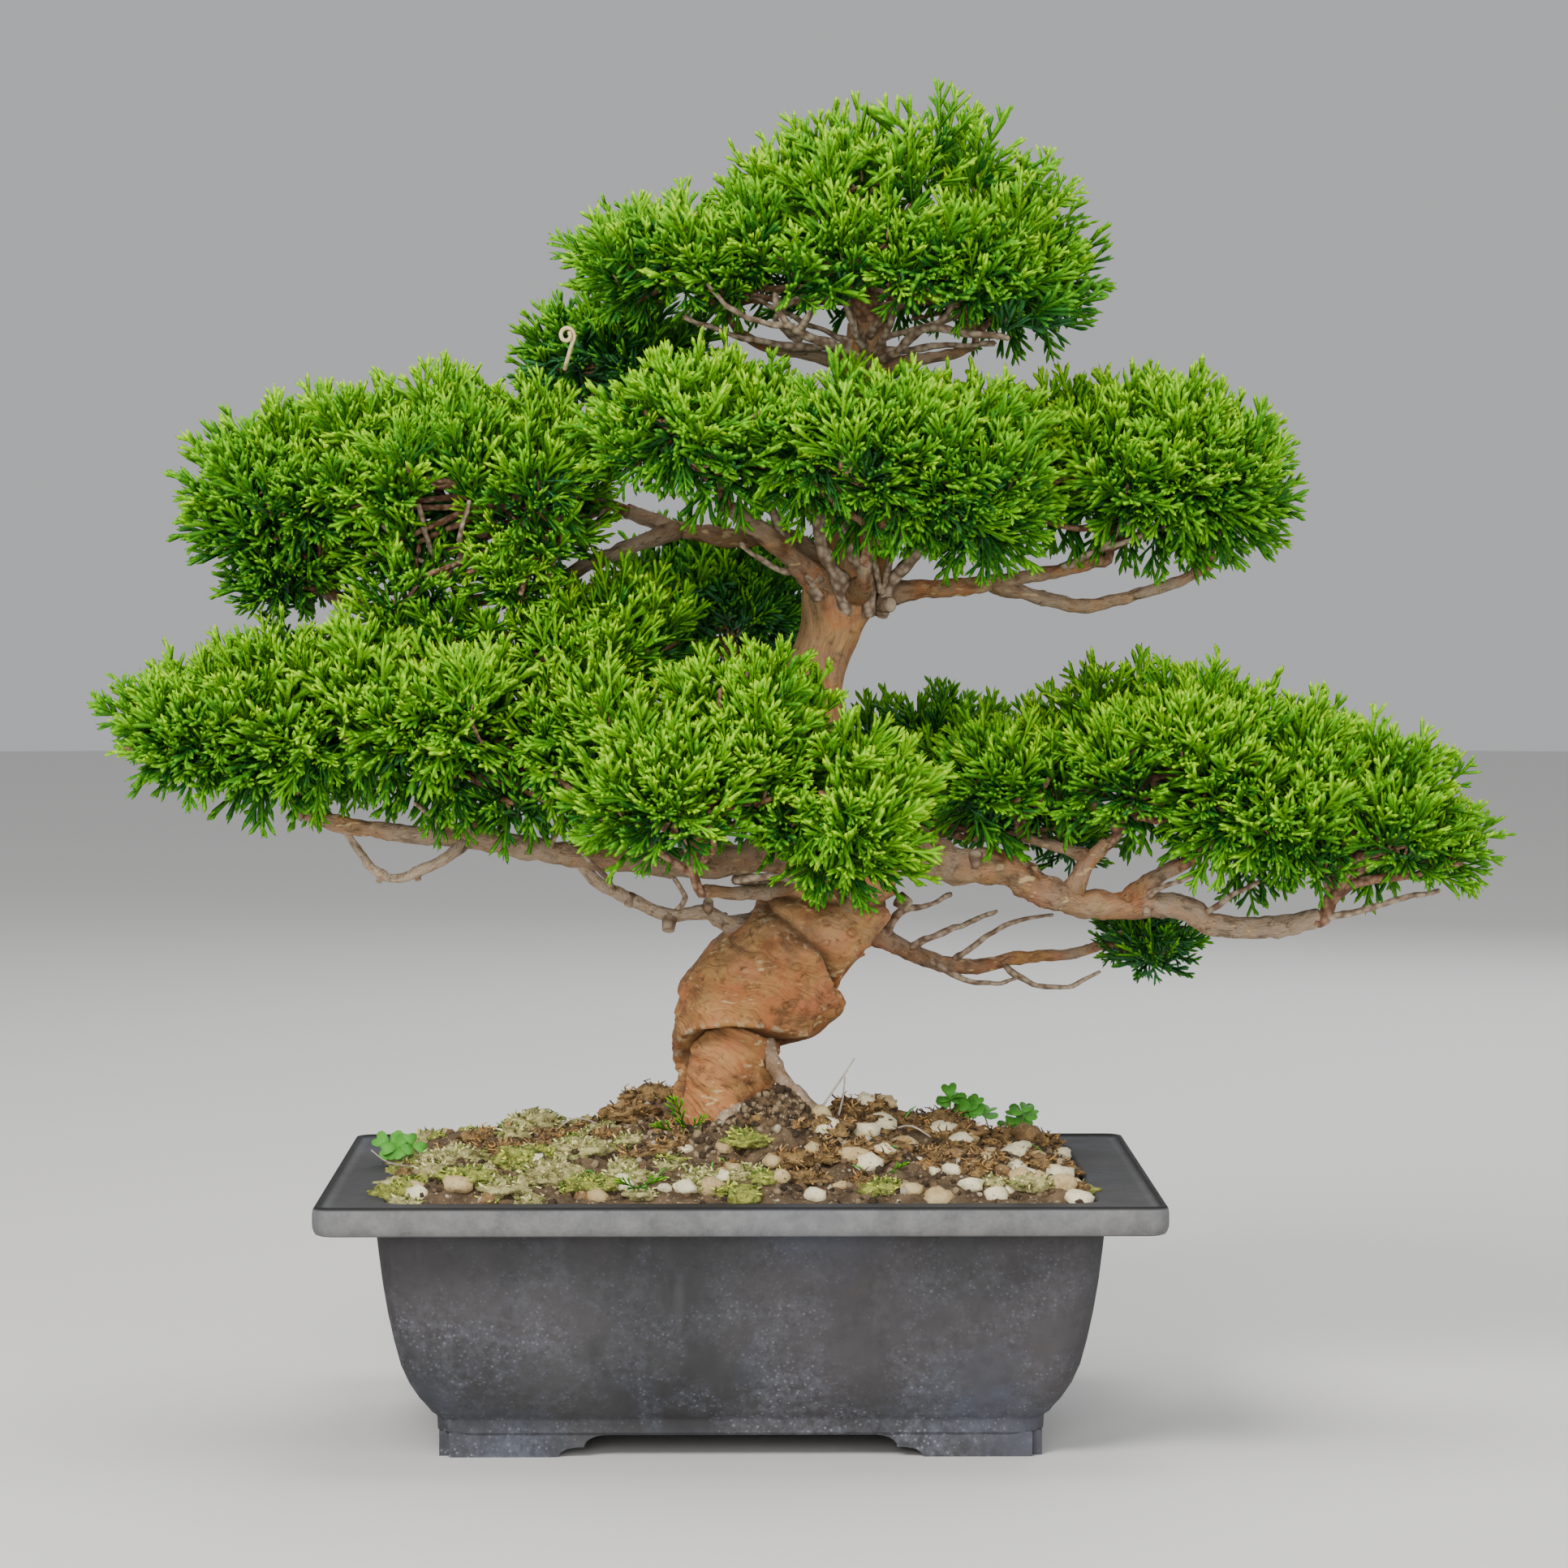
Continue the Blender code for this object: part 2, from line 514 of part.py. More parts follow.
def build_soil():
    """The filled pot's soil: clear of the walls, mounded up to a flat seat under the trunk."""
    rings = []
    for height in (FLOOR_TOP + GAP, *HOLLOW_HEIGHTS, SOIL_EDGE - SOIL_SHOULDER):
        half_x, half_y = cavity_half(min(height, RIM_FOOT))
        rings.append(rounded_rectangle(
            half_x - SOIL_CLEAR, half_y - SOIL_CLEAR, BODY_CORNER - WALL - SOIL_CLEAR, height,
            side_points=SOIL_SIDE_POINTS))
    wall_top = rings[-1]
    seat = []
    for point in wall_top:
        angle = math.atan2(point.y / RIM_DEPTH, (point.x - SEAT_X) / RIM_WIDTH)
        seat.append(Vector((SEAT_X + SEAT_REACH_X * math.cos(angle), SEAT_REACH_Y * math.sin(angle), 0.0)))
    for step in range(SOIL_RINGS + 1):
        share = step / SOIL_RINGS
        ring = []
        for outer, inner in zip(wall_top, seat):
            point = outer.lerp(inner, SOIL_FIRST + (1.0 - SOIL_FIRST) * share)
            point.z = ground(point.x, point.y, share)
            ring.append(point)
        rings.append(ring)
    bm = bmesh.new()
    loft(bm, rings)
    bmesh.ops.triangulate(bm, faces=[face for face in bm.faces if len(face.verts) == 4])
    smooth(make_object("soil", bm, SOIL_LOOK), 60.0)


def trunk_at(height):
    """Middle X, half width, middle Y and half depth of the trunk at a height."""
    for index, (low, high) in enumerate(zip(TRUNK, TRUNK[1:])):
        if low[0] <= height <= high[0]:
            part = (height - low[0]) / (high[0] - low[0])
            return between(TRUNK, index + part)[1:]
    return TRUNK[-1][1:]


def trunk_ring(height, grown=0.0):
    """A level section of the trunk, with its two turning ribs and, near the ground, its roots."""
    middle_x, half_x, middle_y, half_y = trunk_at(height)
    points = []
    for side in range(TRUNK_SIDES):
        angle = math.tau * side / TRUNK_SIDES
        shape = 1.0 + RIB * math.cos(2 * (angle - TWIST * height))
        root = 0.0
        for direction, width, reach in ROOTS:
            off = (math.degrees(angle) - direction + 180) % 360 - 180
            root += reach * math.exp(-(off / width) ** 2)
        root *= math.exp(-(height - SEAT_Z) / FLARE_HEIGHT)
        points.append(Vector((
            middle_x + (half_x * shape + root + grown) * math.cos(angle),
            middle_y + (half_y * shape + root + grown) * math.sin(angle),
            height)))
    return points


def trunk_solid(grown=0.0):
    """The trunk from its flat cut at the ground to the tip inside the crown, or a grown copy to cut with."""
    foot, top = TRUNK[0][0], TRUNK[-1][0]
    rings = []
    for number in range(TRUNK_RINGS + 1):
        share = number / TRUNK_RINGS
        height = foot + (top - foot) * (share * TRUNK_EVEN + share * share * (1.0 - TRUNK_EVEN))
        rings.append(trunk_ring(height, grown))
    bm = bmesh.new()
    loft(bm, rings)
    return bm


def limb_stations(start_radius, end_radius, route):
    """Points and radii along a limb's smooth route, near-equally spaced."""
    length = sum(math.dist(a, b) for a, b in zip(route, route[1:]))
    count = max(3, round(length / STATION))
    stations = []
    for number in range(count + 1):
        share = number / count
        point = Vector(between(route, share * (len(route) - 1)))
        knots = 1.0 + KNOT * noise.noise(point / KNOT_SIZE)
        stations.append((point, (start_radius + (end_radius - start_radius) * share ** TAPER) * knots))
    return stations


def limb_solid(stations, grown=0.0, sides=BOUGH_SIDES):
    """A tapering limb round its stations, square to its route."""
    rings = []
    side = None
    for index, (point, radius) in enumerate(stations):
        before = stations[max(index - 1, 0)][0]
        after = stations[min(index + 1, len(stations) - 1)][0]
        along = (after - before).normalized()
        if side is None:
            side = along.orthogonal().normalized()
        side = (side - along * side.dot(along)).normalized()
        other = along.cross(side)
        ring = []
        for corner in range(sides):
            angle = math.tau * corner / sides
            ring.append(point + (radius + grown) * (math.cos(angle) * side + math.sin(angle) * other))
        rings.append(ring)
    bm = bmesh.new()
    loft(bm, rings)
    return bm


def cutter_of(name):
    """A limb grown by a little more than the gap, to cut its neighbours clear of it."""
    if name == "trunk":
        return make_object("cutter", trunk_solid(CUT_CLEAR))
    return make_object("cutter", limb_solid(LIMBS[name], CUT_CLEAR))


def build_boughs():
    """Every bough, cut clear of the limb it leaves and of any that it runs into."""
    for name, (parent, _, _, _) in BOUGHS.items():
        bough = make_object(name, limb_solid(LIMBS[name]), BARK_LOOK)
        cutters = [cutter_of(parent)]
        if name in RUNS_INTO:
            cutters.append(cutter_of(RUNS_INTO[name]))
        combine(bough, cutters, "DIFFERENCE")
        smooth(bough)


def lobe_share(point, lobe):
    """How far out in a lobe a point lies: 0 at its middle, 1 at its edge."""
    x, y, z, reach_x, reach_y, up, down = lobe
    reach_z = up if point.z > z else down
    return math.hypot((point.x - x) / reach_x, (point.y - y) / reach_y, (point.z - z) / reach_z)


def pad_share(point, pad):
    """The least such share over the lobes of a pad."""
    return min(lobe_share(point, lobe) for lobe in PADS[pad][1])


def in_own_space(point, pad, reach=1.0):
    """Whether a point lies in a pad's lobes and nearer to its own middle than to any other pad's."""
    own = pad_share(point, pad)
    if own > reach:
        return False
    border = min(own + 2 * CELL_SHARE, OUTSIDE)
    return all(other == pad or pad_share(point, other) > border for other in PADS)


def clear_of_limbs(point, margin=LIMB_CLEAR):
    """Whether a point is clear of the trunk and every bough."""
    if TRUNK[0][0] < point.z < TRUNK[-1][0] + TRUNK_TIP_CLEAR:
        middle_x, half_x, middle_y, half_y = trunk_at(point.z)
        off_x = (point.x - middle_x) / (half_x * (1 + RIB) + 2 * margin)
        off_y = (point.y - middle_y) / (half_y * (1 + RIB) + 2 * margin)
        if off_x ** 2 + off_y ** 2 < 1:
            return False
    for stations in LIMBS.values():
        for (start, radius), (end, _) in zip(stations, stations[1:]):
            if abs(start.x - point.x) + abs(start.y - point.y) + abs(start.z - point.z) > LIMB_NEAR:
                continue
            run = end - start
            part = max(0.0, min(1.0, (point - start).dot(run) / run.length_squared))
            if (start + run * part - point).length < radius * LIMB_LUMP + margin:
                return False
    return True


def core_reach(lobe):
    """A lobe's core: its middle and its reach in X, Y, up and down, less the sprays' stand."""
    reaches = [max(reach - SPRAY_STAND, CORE_LEAST * reach) for reach in lobe[3:]]
    return Vector(lobe[:3]), reaches


def core_point(lobe, direction, share=1.0):
    """The point of a lobe's core in a direction from its middle."""
    middle, (reach_x, reach_y, up, down) = core_reach(lobe)
    reach_z = up if direction.z > 0 else down
    lump = 1.0 + CORE_LUMP * noise.noise(direction * CORE_LUMP_COUNT + middle / 10.0)
    offset = Vector((direction.x * reach_x, direction.y * reach_y, direction.z * reach_z))
    return middle + offset * lump * share


def core_fits(pad, point):
    """Whether a core may reach a point."""
    return in_own_space(point, pad) and clear_of_limbs(point, CORE_CLEAR)


def core_solid(pad, lobe):
    """A lobe's lumpy core, drawn in wherever it would leave its pad's space or touch a limb."""
    bm = bmesh.new()
    bmesh.ops.create_icosphere(bm, subdivisions=2, radius=1.0)
    for vert in bm.verts:
        direction = vert.co.normalized()
        share = 1.0
        while share > CORE_LOWEST and not core_fits(pad, core_point(lobe, direction, share)):
            share -= CORE_DRAWN_IN
        vert.co = core_point(lobe, direction, share)
    return make_object("core", bm)


def spray_outline(root, along, across, length):
    """The six points of a three-toothed spray, from its root to its teeth."""
    half = SPRAY_WIDTH * length / 2
    return [root + along * (length * run) + across * (half * side) for run, side in SPRAY_TEETH]


def spray_solid(outline, root, along, length, face_way):
    """A toothed blade, thickest at its middle."""
    bm = bmesh.new()
    edge = [bm.verts.new(point) for point in outline]
    middle = root + along * (SPRAY_MIDDLE * length)
    front = bm.verts.new(middle + face_way * SPRAY_THICK)
    back = bm.verts.new(middle - face_way * SPRAY_THICK)
    for start, end in zip(edge, edge[1:] + edge[:1]):
        bm.faces.new((start, end, front))
        bm.faces.new((end, start, back))
    return make_object("spray", bm)


def spray_ways(direction, reaches, chance):
    """The way out of the core, the way a spray points, and the way it spreads."""
    reach_z = reaches[2] if direction.z > 0 else reaches[3]
    outward = Vector((direction.x / reaches[0], direction.y / reaches[1], direction.z / reach_z)).normalized()
    along = outward + Vector((0, 0, UPRIGHT * (UPRIGHT_TOP + min(0.0, direction.z))))
    along += Vector([chance.uniform(-SPRAY_STRAY, SPRAY_STRAY) for _ in range(3)])
    along.normalize()
    length_vary = chance.uniform(1.0 - SPRAY_VARY, 1.0 + SPRAY_VARY)
    tilt = Vector([chance.uniform(-SPRAY_TILT, SPRAY_TILT) for _ in range(3)])
    across = along.cross(Vector((0, 0, 1)) + tilt).normalized()
    across = Matrix.Rotation(chance.uniform(-SPRAY_ROLL, SPRAY_ROLL), 3, along) @ across
    return outward, along, across, length_vary


def spray_fits(outline, pad):
    """Whether the corners of a spray and the middles of its edges keep to the pad's space, clear of limbs."""
    probes = outline + [(a + b) / 2 for a, b in zip(outline, outline[1:] + outline[:1])]
    return all(in_own_space(point, pad, SPRAY_SPACE) and clear_of_limbs(point) for point in probes)


def grow_sprays(pad, chance):
    """Sprays evenly round each lobe, left out where they would leave the space or touch a limb."""
    sprays = []
    for lobe in PADS[pad][1]:
        reaches = core_reach(lobe)[1]
        mean = (lobe[3] * lobe[4] * (lobe[5] + lobe[6]) / 2) ** (1 / 3)
        count = max(SPRAY_LEAST_COUNT, round(4 * math.pi * mean ** 2 / SPRAY_AREA))
        for number in range(count):
            height = 1 - 2 * (number + 0.5) / count
            flat = math.sqrt(1 - height * height)
            turn = GOLDEN_ANGLE * number + chance.uniform(-SPRAY_SHIFT, SPRAY_SHIFT)
            direction = Vector((flat * math.cos(turn), flat * math.sin(turn), height))
            surface = core_point(lobe, direction)
            buried = any(lobe_share(surface, other) < SPRAY_BURIED for other in PADS[pad][1] if other is not lobe)
            if direction.z < SPRAY_UNDERSIDE or buried:
                continue
            outward, along, across, length_vary = spray_ways(direction, reaches, chance)
            root = surface - outward * SPRAY_SUNK
            length = SPRAY_LENGTH * length_vary
            while length > SPRAY_SHORTEST * SPRAY_LENGTH:
                outline = spray_outline(root, along, across, length)
                if spray_fits(outline, pad):
                    sprays.append(spray_solid(outline, root, along, length, along.cross(across)))
                    break
                length -= SPRAY_TRIM
    return sprays


def pad_foot(pad):
    """Where a pad's stem starts, the radius of the tip beside it and its way, just clear of that tip."""
    carrier = PADS[pad][0]
    if carrier == "trunk":
        height, middle_x, half_x, middle_y, half_y = TRUNK[-1]
        tip = Vector((middle_x, middle_y, height))
        radius = min(half_x, half_y) * TRUNK_TIP_SHARE
        along = Vector((0, 0, 1))
    else:
        stations = LIMBS[carrier]
        tip, radius = stations[-1]
        along = (tip - stations[-2][0]).normalized()
    return tip + along * GAP, radius, along


def pad_stem(pad):
    """The stem from a pad's foot into its core, and the twigs that fan from it under the core."""
    foot, radius, along = pad_foot(pad)
    lobe = min(PADS[pad][1], key=lambda each: (Vector(each[:3]) - foot).length)
    middle, (reach_x, reach_y, _, down) = core_reach(lobe)
    neck = foot + along * STEM_NECK
    goal = neck.lerp(middle, STEM_IN)
    goal.z = max(goal.z, middle.z - STEM_LOWEST * down)
    stations = [(point, radius * share) for point, share in zip((foot, neck, goal), STEM_SHARES)]
    pieces = [make_object("stem", limb_solid(stations))]
    for number in range(TWIGS):
        angle = math.tau * (number + 0.3) / TWIGS
        fan = Vector((TWIG_SPREAD * reach_x * math.cos(angle), TWIG_SPREAD * reach_y * math.sin(angle), 0.0))
        end = middle + fan - Vector((0, 0, TWIG_DROP * down))
        run = end - neck
        probes = [neck + run * share for share in TWIG_PROBES]
        if all(clear_of_limbs(point, TWIG_CLEAR) and in_own_space(point, pad, TWIG_SPACE) for point in probes):
            sagged = neck + run * 0.5 - Vector((0, 0, TWIG_SAG * run.length))
            stations = [(neck, TWIG_RADIUS), (sagged, TWIG_RADIUS), (end, TWIG_RADIUS * TWIG_TIP)]
            pieces.append(make_object("twig", limb_solid(stations, sides=3)))
    return pieces


def build_pads():
    """Every pad of foliage, fused into one body."""
    for number, pad in enumerate(PADS):
        chance = random.Random(FIRST_SEED + number)
        pieces = [core_solid(pad, lobe) for lobe in PADS[pad][1]]
        pieces += pad_stem(pad)
        pieces += grow_sprays(pad, chance)
        body = pieces.pop(0)
        body.name = pad
        body.data.materials.append(make_material(f"{pad}_surface", GREEN_LOOK))
        combine(body, pieces, "UNION")


for old in list(bpy.data.objects):
    bpy.data.objects.remove(old)

LIMBS = {name: limb_stations(first, last, route) for name, (_, first, last, route) in BOUGHS.items()}

build_pot()
build_soil()
smooth(make_object("trunk", trunk_solid(), BARK_LOOK), 60.0)
build_boughs()
build_pads()

stand = bpy.data.objects.new("stand", None)
bpy.context.scene.collection.objects.link(stand)
for made in bpy.data.objects:
    if made is not stand:
        made.parent = stand
stand.location = (POT_X * MM, POT_Y * MM, 0.0)
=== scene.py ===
"""Bonsai Chinese juniper in its pot: the finished surfaces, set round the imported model.

The pot, the soil, the twisted trunk and every bough get a surface of their own. Each foliage mass is
replaced by twigs and sprays of scale leaves that grow on from its bough.

Lengths in the tables are millimetres about the middle of the pot's foot: X to the right, Y away from
the front, Z up. They become metres when a piece is finished.
"""
import math
import random

import bmesh
import bpy
import numpy as np
from bpy.props import FloatProperty, FloatVectorProperty, IntProperty, PointerProperty
from mathutils import Matrix, Vector, noise


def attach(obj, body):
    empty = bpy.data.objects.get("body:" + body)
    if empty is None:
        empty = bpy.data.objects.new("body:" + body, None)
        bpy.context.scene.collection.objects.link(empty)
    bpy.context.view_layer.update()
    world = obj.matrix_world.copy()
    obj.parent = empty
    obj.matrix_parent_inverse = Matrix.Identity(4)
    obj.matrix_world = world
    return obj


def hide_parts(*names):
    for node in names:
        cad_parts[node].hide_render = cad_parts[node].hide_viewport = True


bl_info = {
    "name": "Bonsai Chinese juniper",
    "version": (1, 0, 0),
    "blender": (4, 5, 0),
    "location": "3D View > Sidebar > Bonsai",
    "description": "Pot, soil, twisted trunk, boughs, twigs and sprays of scale leaves of a bonsai juniper",
    "category": "Object",
}

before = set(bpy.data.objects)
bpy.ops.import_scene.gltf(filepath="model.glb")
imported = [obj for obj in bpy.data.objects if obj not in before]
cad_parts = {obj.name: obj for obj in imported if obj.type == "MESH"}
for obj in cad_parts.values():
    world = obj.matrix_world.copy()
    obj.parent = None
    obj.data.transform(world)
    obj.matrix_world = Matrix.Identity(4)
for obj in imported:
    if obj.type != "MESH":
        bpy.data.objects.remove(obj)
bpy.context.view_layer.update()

MM = 0.001
POT_X = -20.6  # the pot stands a little left of and in front of the middle of the whole
POT_Y = -8.4
POT_PLACE = (POT_X * MM, POT_Y * MM, 0.0)
GOLDEN_ANGLE = math.pi * (3 - math.sqrt(5))

# Pot
RIM_WIDTH = 300.0
RIM_DEPTH = 225.0
RIM_OVERHANG = 20.5
RIM_CORNER = 7.0
RIM_FOOT = 84.5
# The rim's section: how far it is drawn in from the edge, how much tighter its corner is, height
RIM_SECTION = (
    (2.5, 1.5, 0.0), (1.2, 0.8, 0.5), (0.6, 0.4, 1.5), (0.1, 0.1, 3.0), (0.0, 0.0, 4.5), (0.0, 0.0, 7.5),
    (0.3, 0.2, 9.4), (0.9, 0.6, 10.3), (1.7, 1.1, 10.5), (2.6, 1.8, 10.2), (3.4, 2.3, 9.5), (5.0, 3.0, 9.2))
BODY_CORNER = 12.0
WALL = 4.0
FOOT_HEIGHT = 8.0
FLOOR_TOP = 14.0
# Height of the body's outline, and how far it has drawn in from its widest there
BODY_OUTLINE = (
    (8.0, 21.5), (9.0, 20.7), (13.4, 20.5), (14.4, 19.9), (15.4, 18.6), (17.5, 17.2), (21.0, 14.5), (27.0, 11.0),
    (34.0, 8.2), (43.0, 6.0), (53.0, 4.0), (64.0, 2.3), (75.0, 1.0), (84.5, 0.0))
# The mouth's eased edge, how much wider and at what height, and the heights of the hollow's outline
MOUTH_SECTION = ((2.2, 93.6), (1.2, 93.2), (0.4, 92.4), (0.0, 91.0))
HOLLOW_HEIGHTS = (84.5, 64.0, 43.0, 27.0, 14.0)
CORNER_STEPS = 8
POT_SHARP = 32.0
FOOT_THICK = 9.0
FOOT_REACH_X = 42.0
FOOT_REACH_Y = 32.0
FOOT_STEP = 20.0
FOOT_SINK = 0.05
FOOT_CURLS = ((0.0, 0.5, 3.6), (0.45, 3.6, FOOT_HEIGHT))
FOOT_CURL_LENGTH = 0.4
FOOT_CURL_START = 0.05
FOOT_CURL_STEPS = 6
DRAIN_RADIUS = 9.0
DRAIN_X = 48.0

# Soil
SOIL_EDGE = 92.0
SOIL_RISE = 11.0
SOIL_POWER = 2
SEAT_Z = 113.0
SEAT_X = 4.0
SEAT_REACH_X = 37.0
SEAT_REACH_Y = 27.0
SEAT_FOOT = 0.62
# Heaps of moss, bark and grit: X, Y, reach and height
SOIL_HEAPS = (
    (-112, -26, 22, 6), (-110, 48, 22, 7), (-88, 22, 22, 6), (-78, 66, 22, 7), (-48, 62, 20, 6),
    (-36, 30, 20, 11), (-66, -44, 26, 6), (-104, -66, 18, 3), (-30, -52, 18, 3), (14, -41, 15, 11),
    (8, -74, 16, 4), (48, -46, 20, 4), (86, -48, 20, 5), (112, -66, 18, 4), (52, 24, 20, 10),
    (78, 8, 22, 7), (104, -10, 20, 4), (108, 44, 22, 6), (76, 56, 20, 6), (8, 60, 22, 7),
    (40, 70, 18, 5), (-66, -8, 20, 4), (-26, -78, 16, 3),
)
HEAP_POWER = 1.5
HEAP_FADE = 0.08
# Mound against the trunk: X, Y, reach in X and in Y, height
SOIL_MOUND = (13.0, -19.0, 14.0, 9.0, 14.0)
# Clods and crumbs: layer of the noise, size and height
CLODS = ((9.0, 8.0, 1.7), (5.0, 4.2, 1.1), (1.0, 1.9, 0.9))
# Below its surface the soil steps in from the wall: height and share of the width at SOIL_LOW
SOIL_SKIRT = ((60.0, 1.0), (45.0, 0.97))
SOIL_LOW = 43.0
SOIL_GAP = 0.35
MOUTH_GAP = 0.6
MOST_TRIES = 20000
PEBBLE_RADII = (2.6, 3.2, 3.8, 4.4, 5.0, 5.6)
PEBBLE_SHAPES = 8
GRIT_SHAPES = 4
GRIT_SPOTS = 430
# Drifts of grit at the trunk's foot: how many crumbs, X and its spread, Y and its spread
GRIT_DRIFTS = ((110, 14, 13, -26, 8), (50, -20, 14, -22, 10))
GRASS_BLADES = 26
GROUND_GRID = (170, 124)
LUMP_COUNT = 185
LUMP_RADII = (4.0, 8.5)
BROWN = 2
CUSHION_HIGH = 0.62
CUSHION_SUNK = 0.16
# Moss cushions and clods: X, Y, radius, height, and 0 for living moss, 1 for grey-green, 2 for brown
CUSHIONS = (
    (-122, -62, 11, 9, 0), (-116, -46, 9, 8, 0), (-124, -30, 10, 8, 1), (-98, -66, 10, 6, 0), (-84, -70, 12, 7, 1),
    (-68, -62, 12, 8, 1), (-54, -70, 11, 6, 0), (-40, -62, 10, 6, 1), (-76, -46, 12, 8, 0), (-58, -40, 11, 7, 1),
    (-104, -18, 12, 9, 1), (-120, 4, 11, 10, 0), (-122, 34, 11, 9, 1), (-118, 62, 11, 10, 1), (-100, 70, 10, 9, 0),
    (-90, 34, 13, 8, 2), (-70, 24, 13, 8, 2), (-50, 40, 13, 9, 2), (-78, 58, 12, 9, 1), (-56, 66, 11, 8, 1),
    (-32, 52, 13, 10, 2), (-40, 18, 10, 7, 2), (-14, 62, 12, 9, 1), (-46, -10, 10, 6, 2), (-84, 4, 12, 6, 2),
    (30, 46, 12, 9, 2), (46, 10, 9, 8, 2), (62, 22, 13, 9, 2), (80, 12, 11, 7, 2), (96, 24, 10, 6, 2),
    (54, 44, 12, 8, 1), (76, 52, 11, 8, 2), (98, 60, 11, 7, 1), (112, 44, 9, 6, 2), (14, 66, 12, 8, 2),
    (36, 70, 10, 7, 1), (118, -8, 8, 5, 2), (70, -14, 9, 5, 2), (34, -44, 9, 5, 2), (88, -46, 8, 4, 2),
    (22, -62, 9, 5, 2), (-14, -60, 8, 5, 1), (-6, -74, 7, 4, 0), (50, -72, 8, 5, 0), (104, -74, 8, 5, 1),
    (122, -54, 8, 5, 0), (4, -40, 9, 5, 0), (-26, -34, 8, 5, 2),
)
# Clover: X, Y and how many
CLOVER = ((91, 58, 4), (105, 58, 4), (82, 62, 2), (-129, 30, 3), (-124, 22, 2))
LEAFLET = ((0.0, 0.0), (1.6, 1.3), (2.7, 2.9), (2.9, 4.4), (2.1, 5.5), (1.0, 5.7), (0.0, 4.9))

# Trunk: height, middle X, half width, middle Y, half depth
TRUNK = (
    (113, -5, 17, 0, 17), (125, -5, 17.5, 0, 17), (137, -4.5, 19.5, 0, 19), (155, 5.5, 30, -1, 24),
    (167, 9, 30.5, -1, 25), (179, 19, 31, 0, 24), (191, 29.5, 25.5, 1, 22), (209, 35, 22.5, 1, 20),
    (227, 32.5, 18.5, 1, 17), (251, 25, 15, 1, 14.5), (277, 27, 12, 1, 12), (295, 34, 12, 1, 12),
    (308, 38, 15, 1, 13), (319, 42, 14, 2, 12.5), (335, 44.5, 10.8, 4, 10.5), (359, 47, 10.2, 6, 9.8),
    (383, 46, 9.6, 5, 9.2), (407, 47, 7.5, 3, 7.5),
)
# The same below the fold that hangs over the trunk's lowest part
TRUNK_FOOT = (
    (106, -7, 15.5, 0, 15.5), (113, -7, 16, 0, 16), (125, -6, 16.6, 0, 16.5), (137, -4, 17.2, 0, 17),
    (147, -2, 15.6, 0, 15.5), (155, 0, 12.5, 0, 13), (165, 2, 10, 0, 10),
)
TWIST = 0.028
RIB = 0.055
ROOTS = ((-8, 18, 14), (115, 26, 5), (205, 26, 4), (285, 22, 4))
FLARE_HEIGHT = 8.0
# The share of the trunk's run at which each height is reached
TRUNK_RUN = ((0.0, 106.0), (0.64, 218.0), (1.0, 407.0))
TRUNK_AROUND = 210
TRUNK_ALONG = 300
TRUNK_TIP = (47.0, 3.0, 406.0)
TRUNK_TIP_RADIUS = 6.6
# The height above which the wood's fibres turn less
FIBRE_BEND = 200.0
FLARE_FOOT = 110.0
# Edge of the fold over the trunk's foot, and the crease that turns on above it: direction in degrees, height
FOLD = (
    (0, 145), (30, 141), (60, 136), (90, 131), (130, 128), (180, 131), (198, 138), (212, 145), (228, 149.5),
    (255, 151.5), (280, 150.5), (315, 147), (345, 145), (360, 145))
CREASE = (
    (-178, 197), (-150, 193), (-113, 188), (-84, 181.5), (-60, 175.5), (-41, 170), (-8, 163), (25, 157.5),
    (70, 150), (130, 142))
SHOULDER = ((-178, 198), (-130, 196), (-90, 194.5), (-45, 193.5), (0, 193), (30, 195))
# Healed knots on the trunk's front: X, height and size
KNOTS = (
    (20, 172, 2.6), (40, 184, 2.8), (16, 158, 2.0), (2, 166, 1.8), (31, 188, 2.2), (46, 176, 2.2), (-9, 150, 1.8),
    (24, 262, 2.4), (33, 291, 2.6), (8, 187, 1.8))

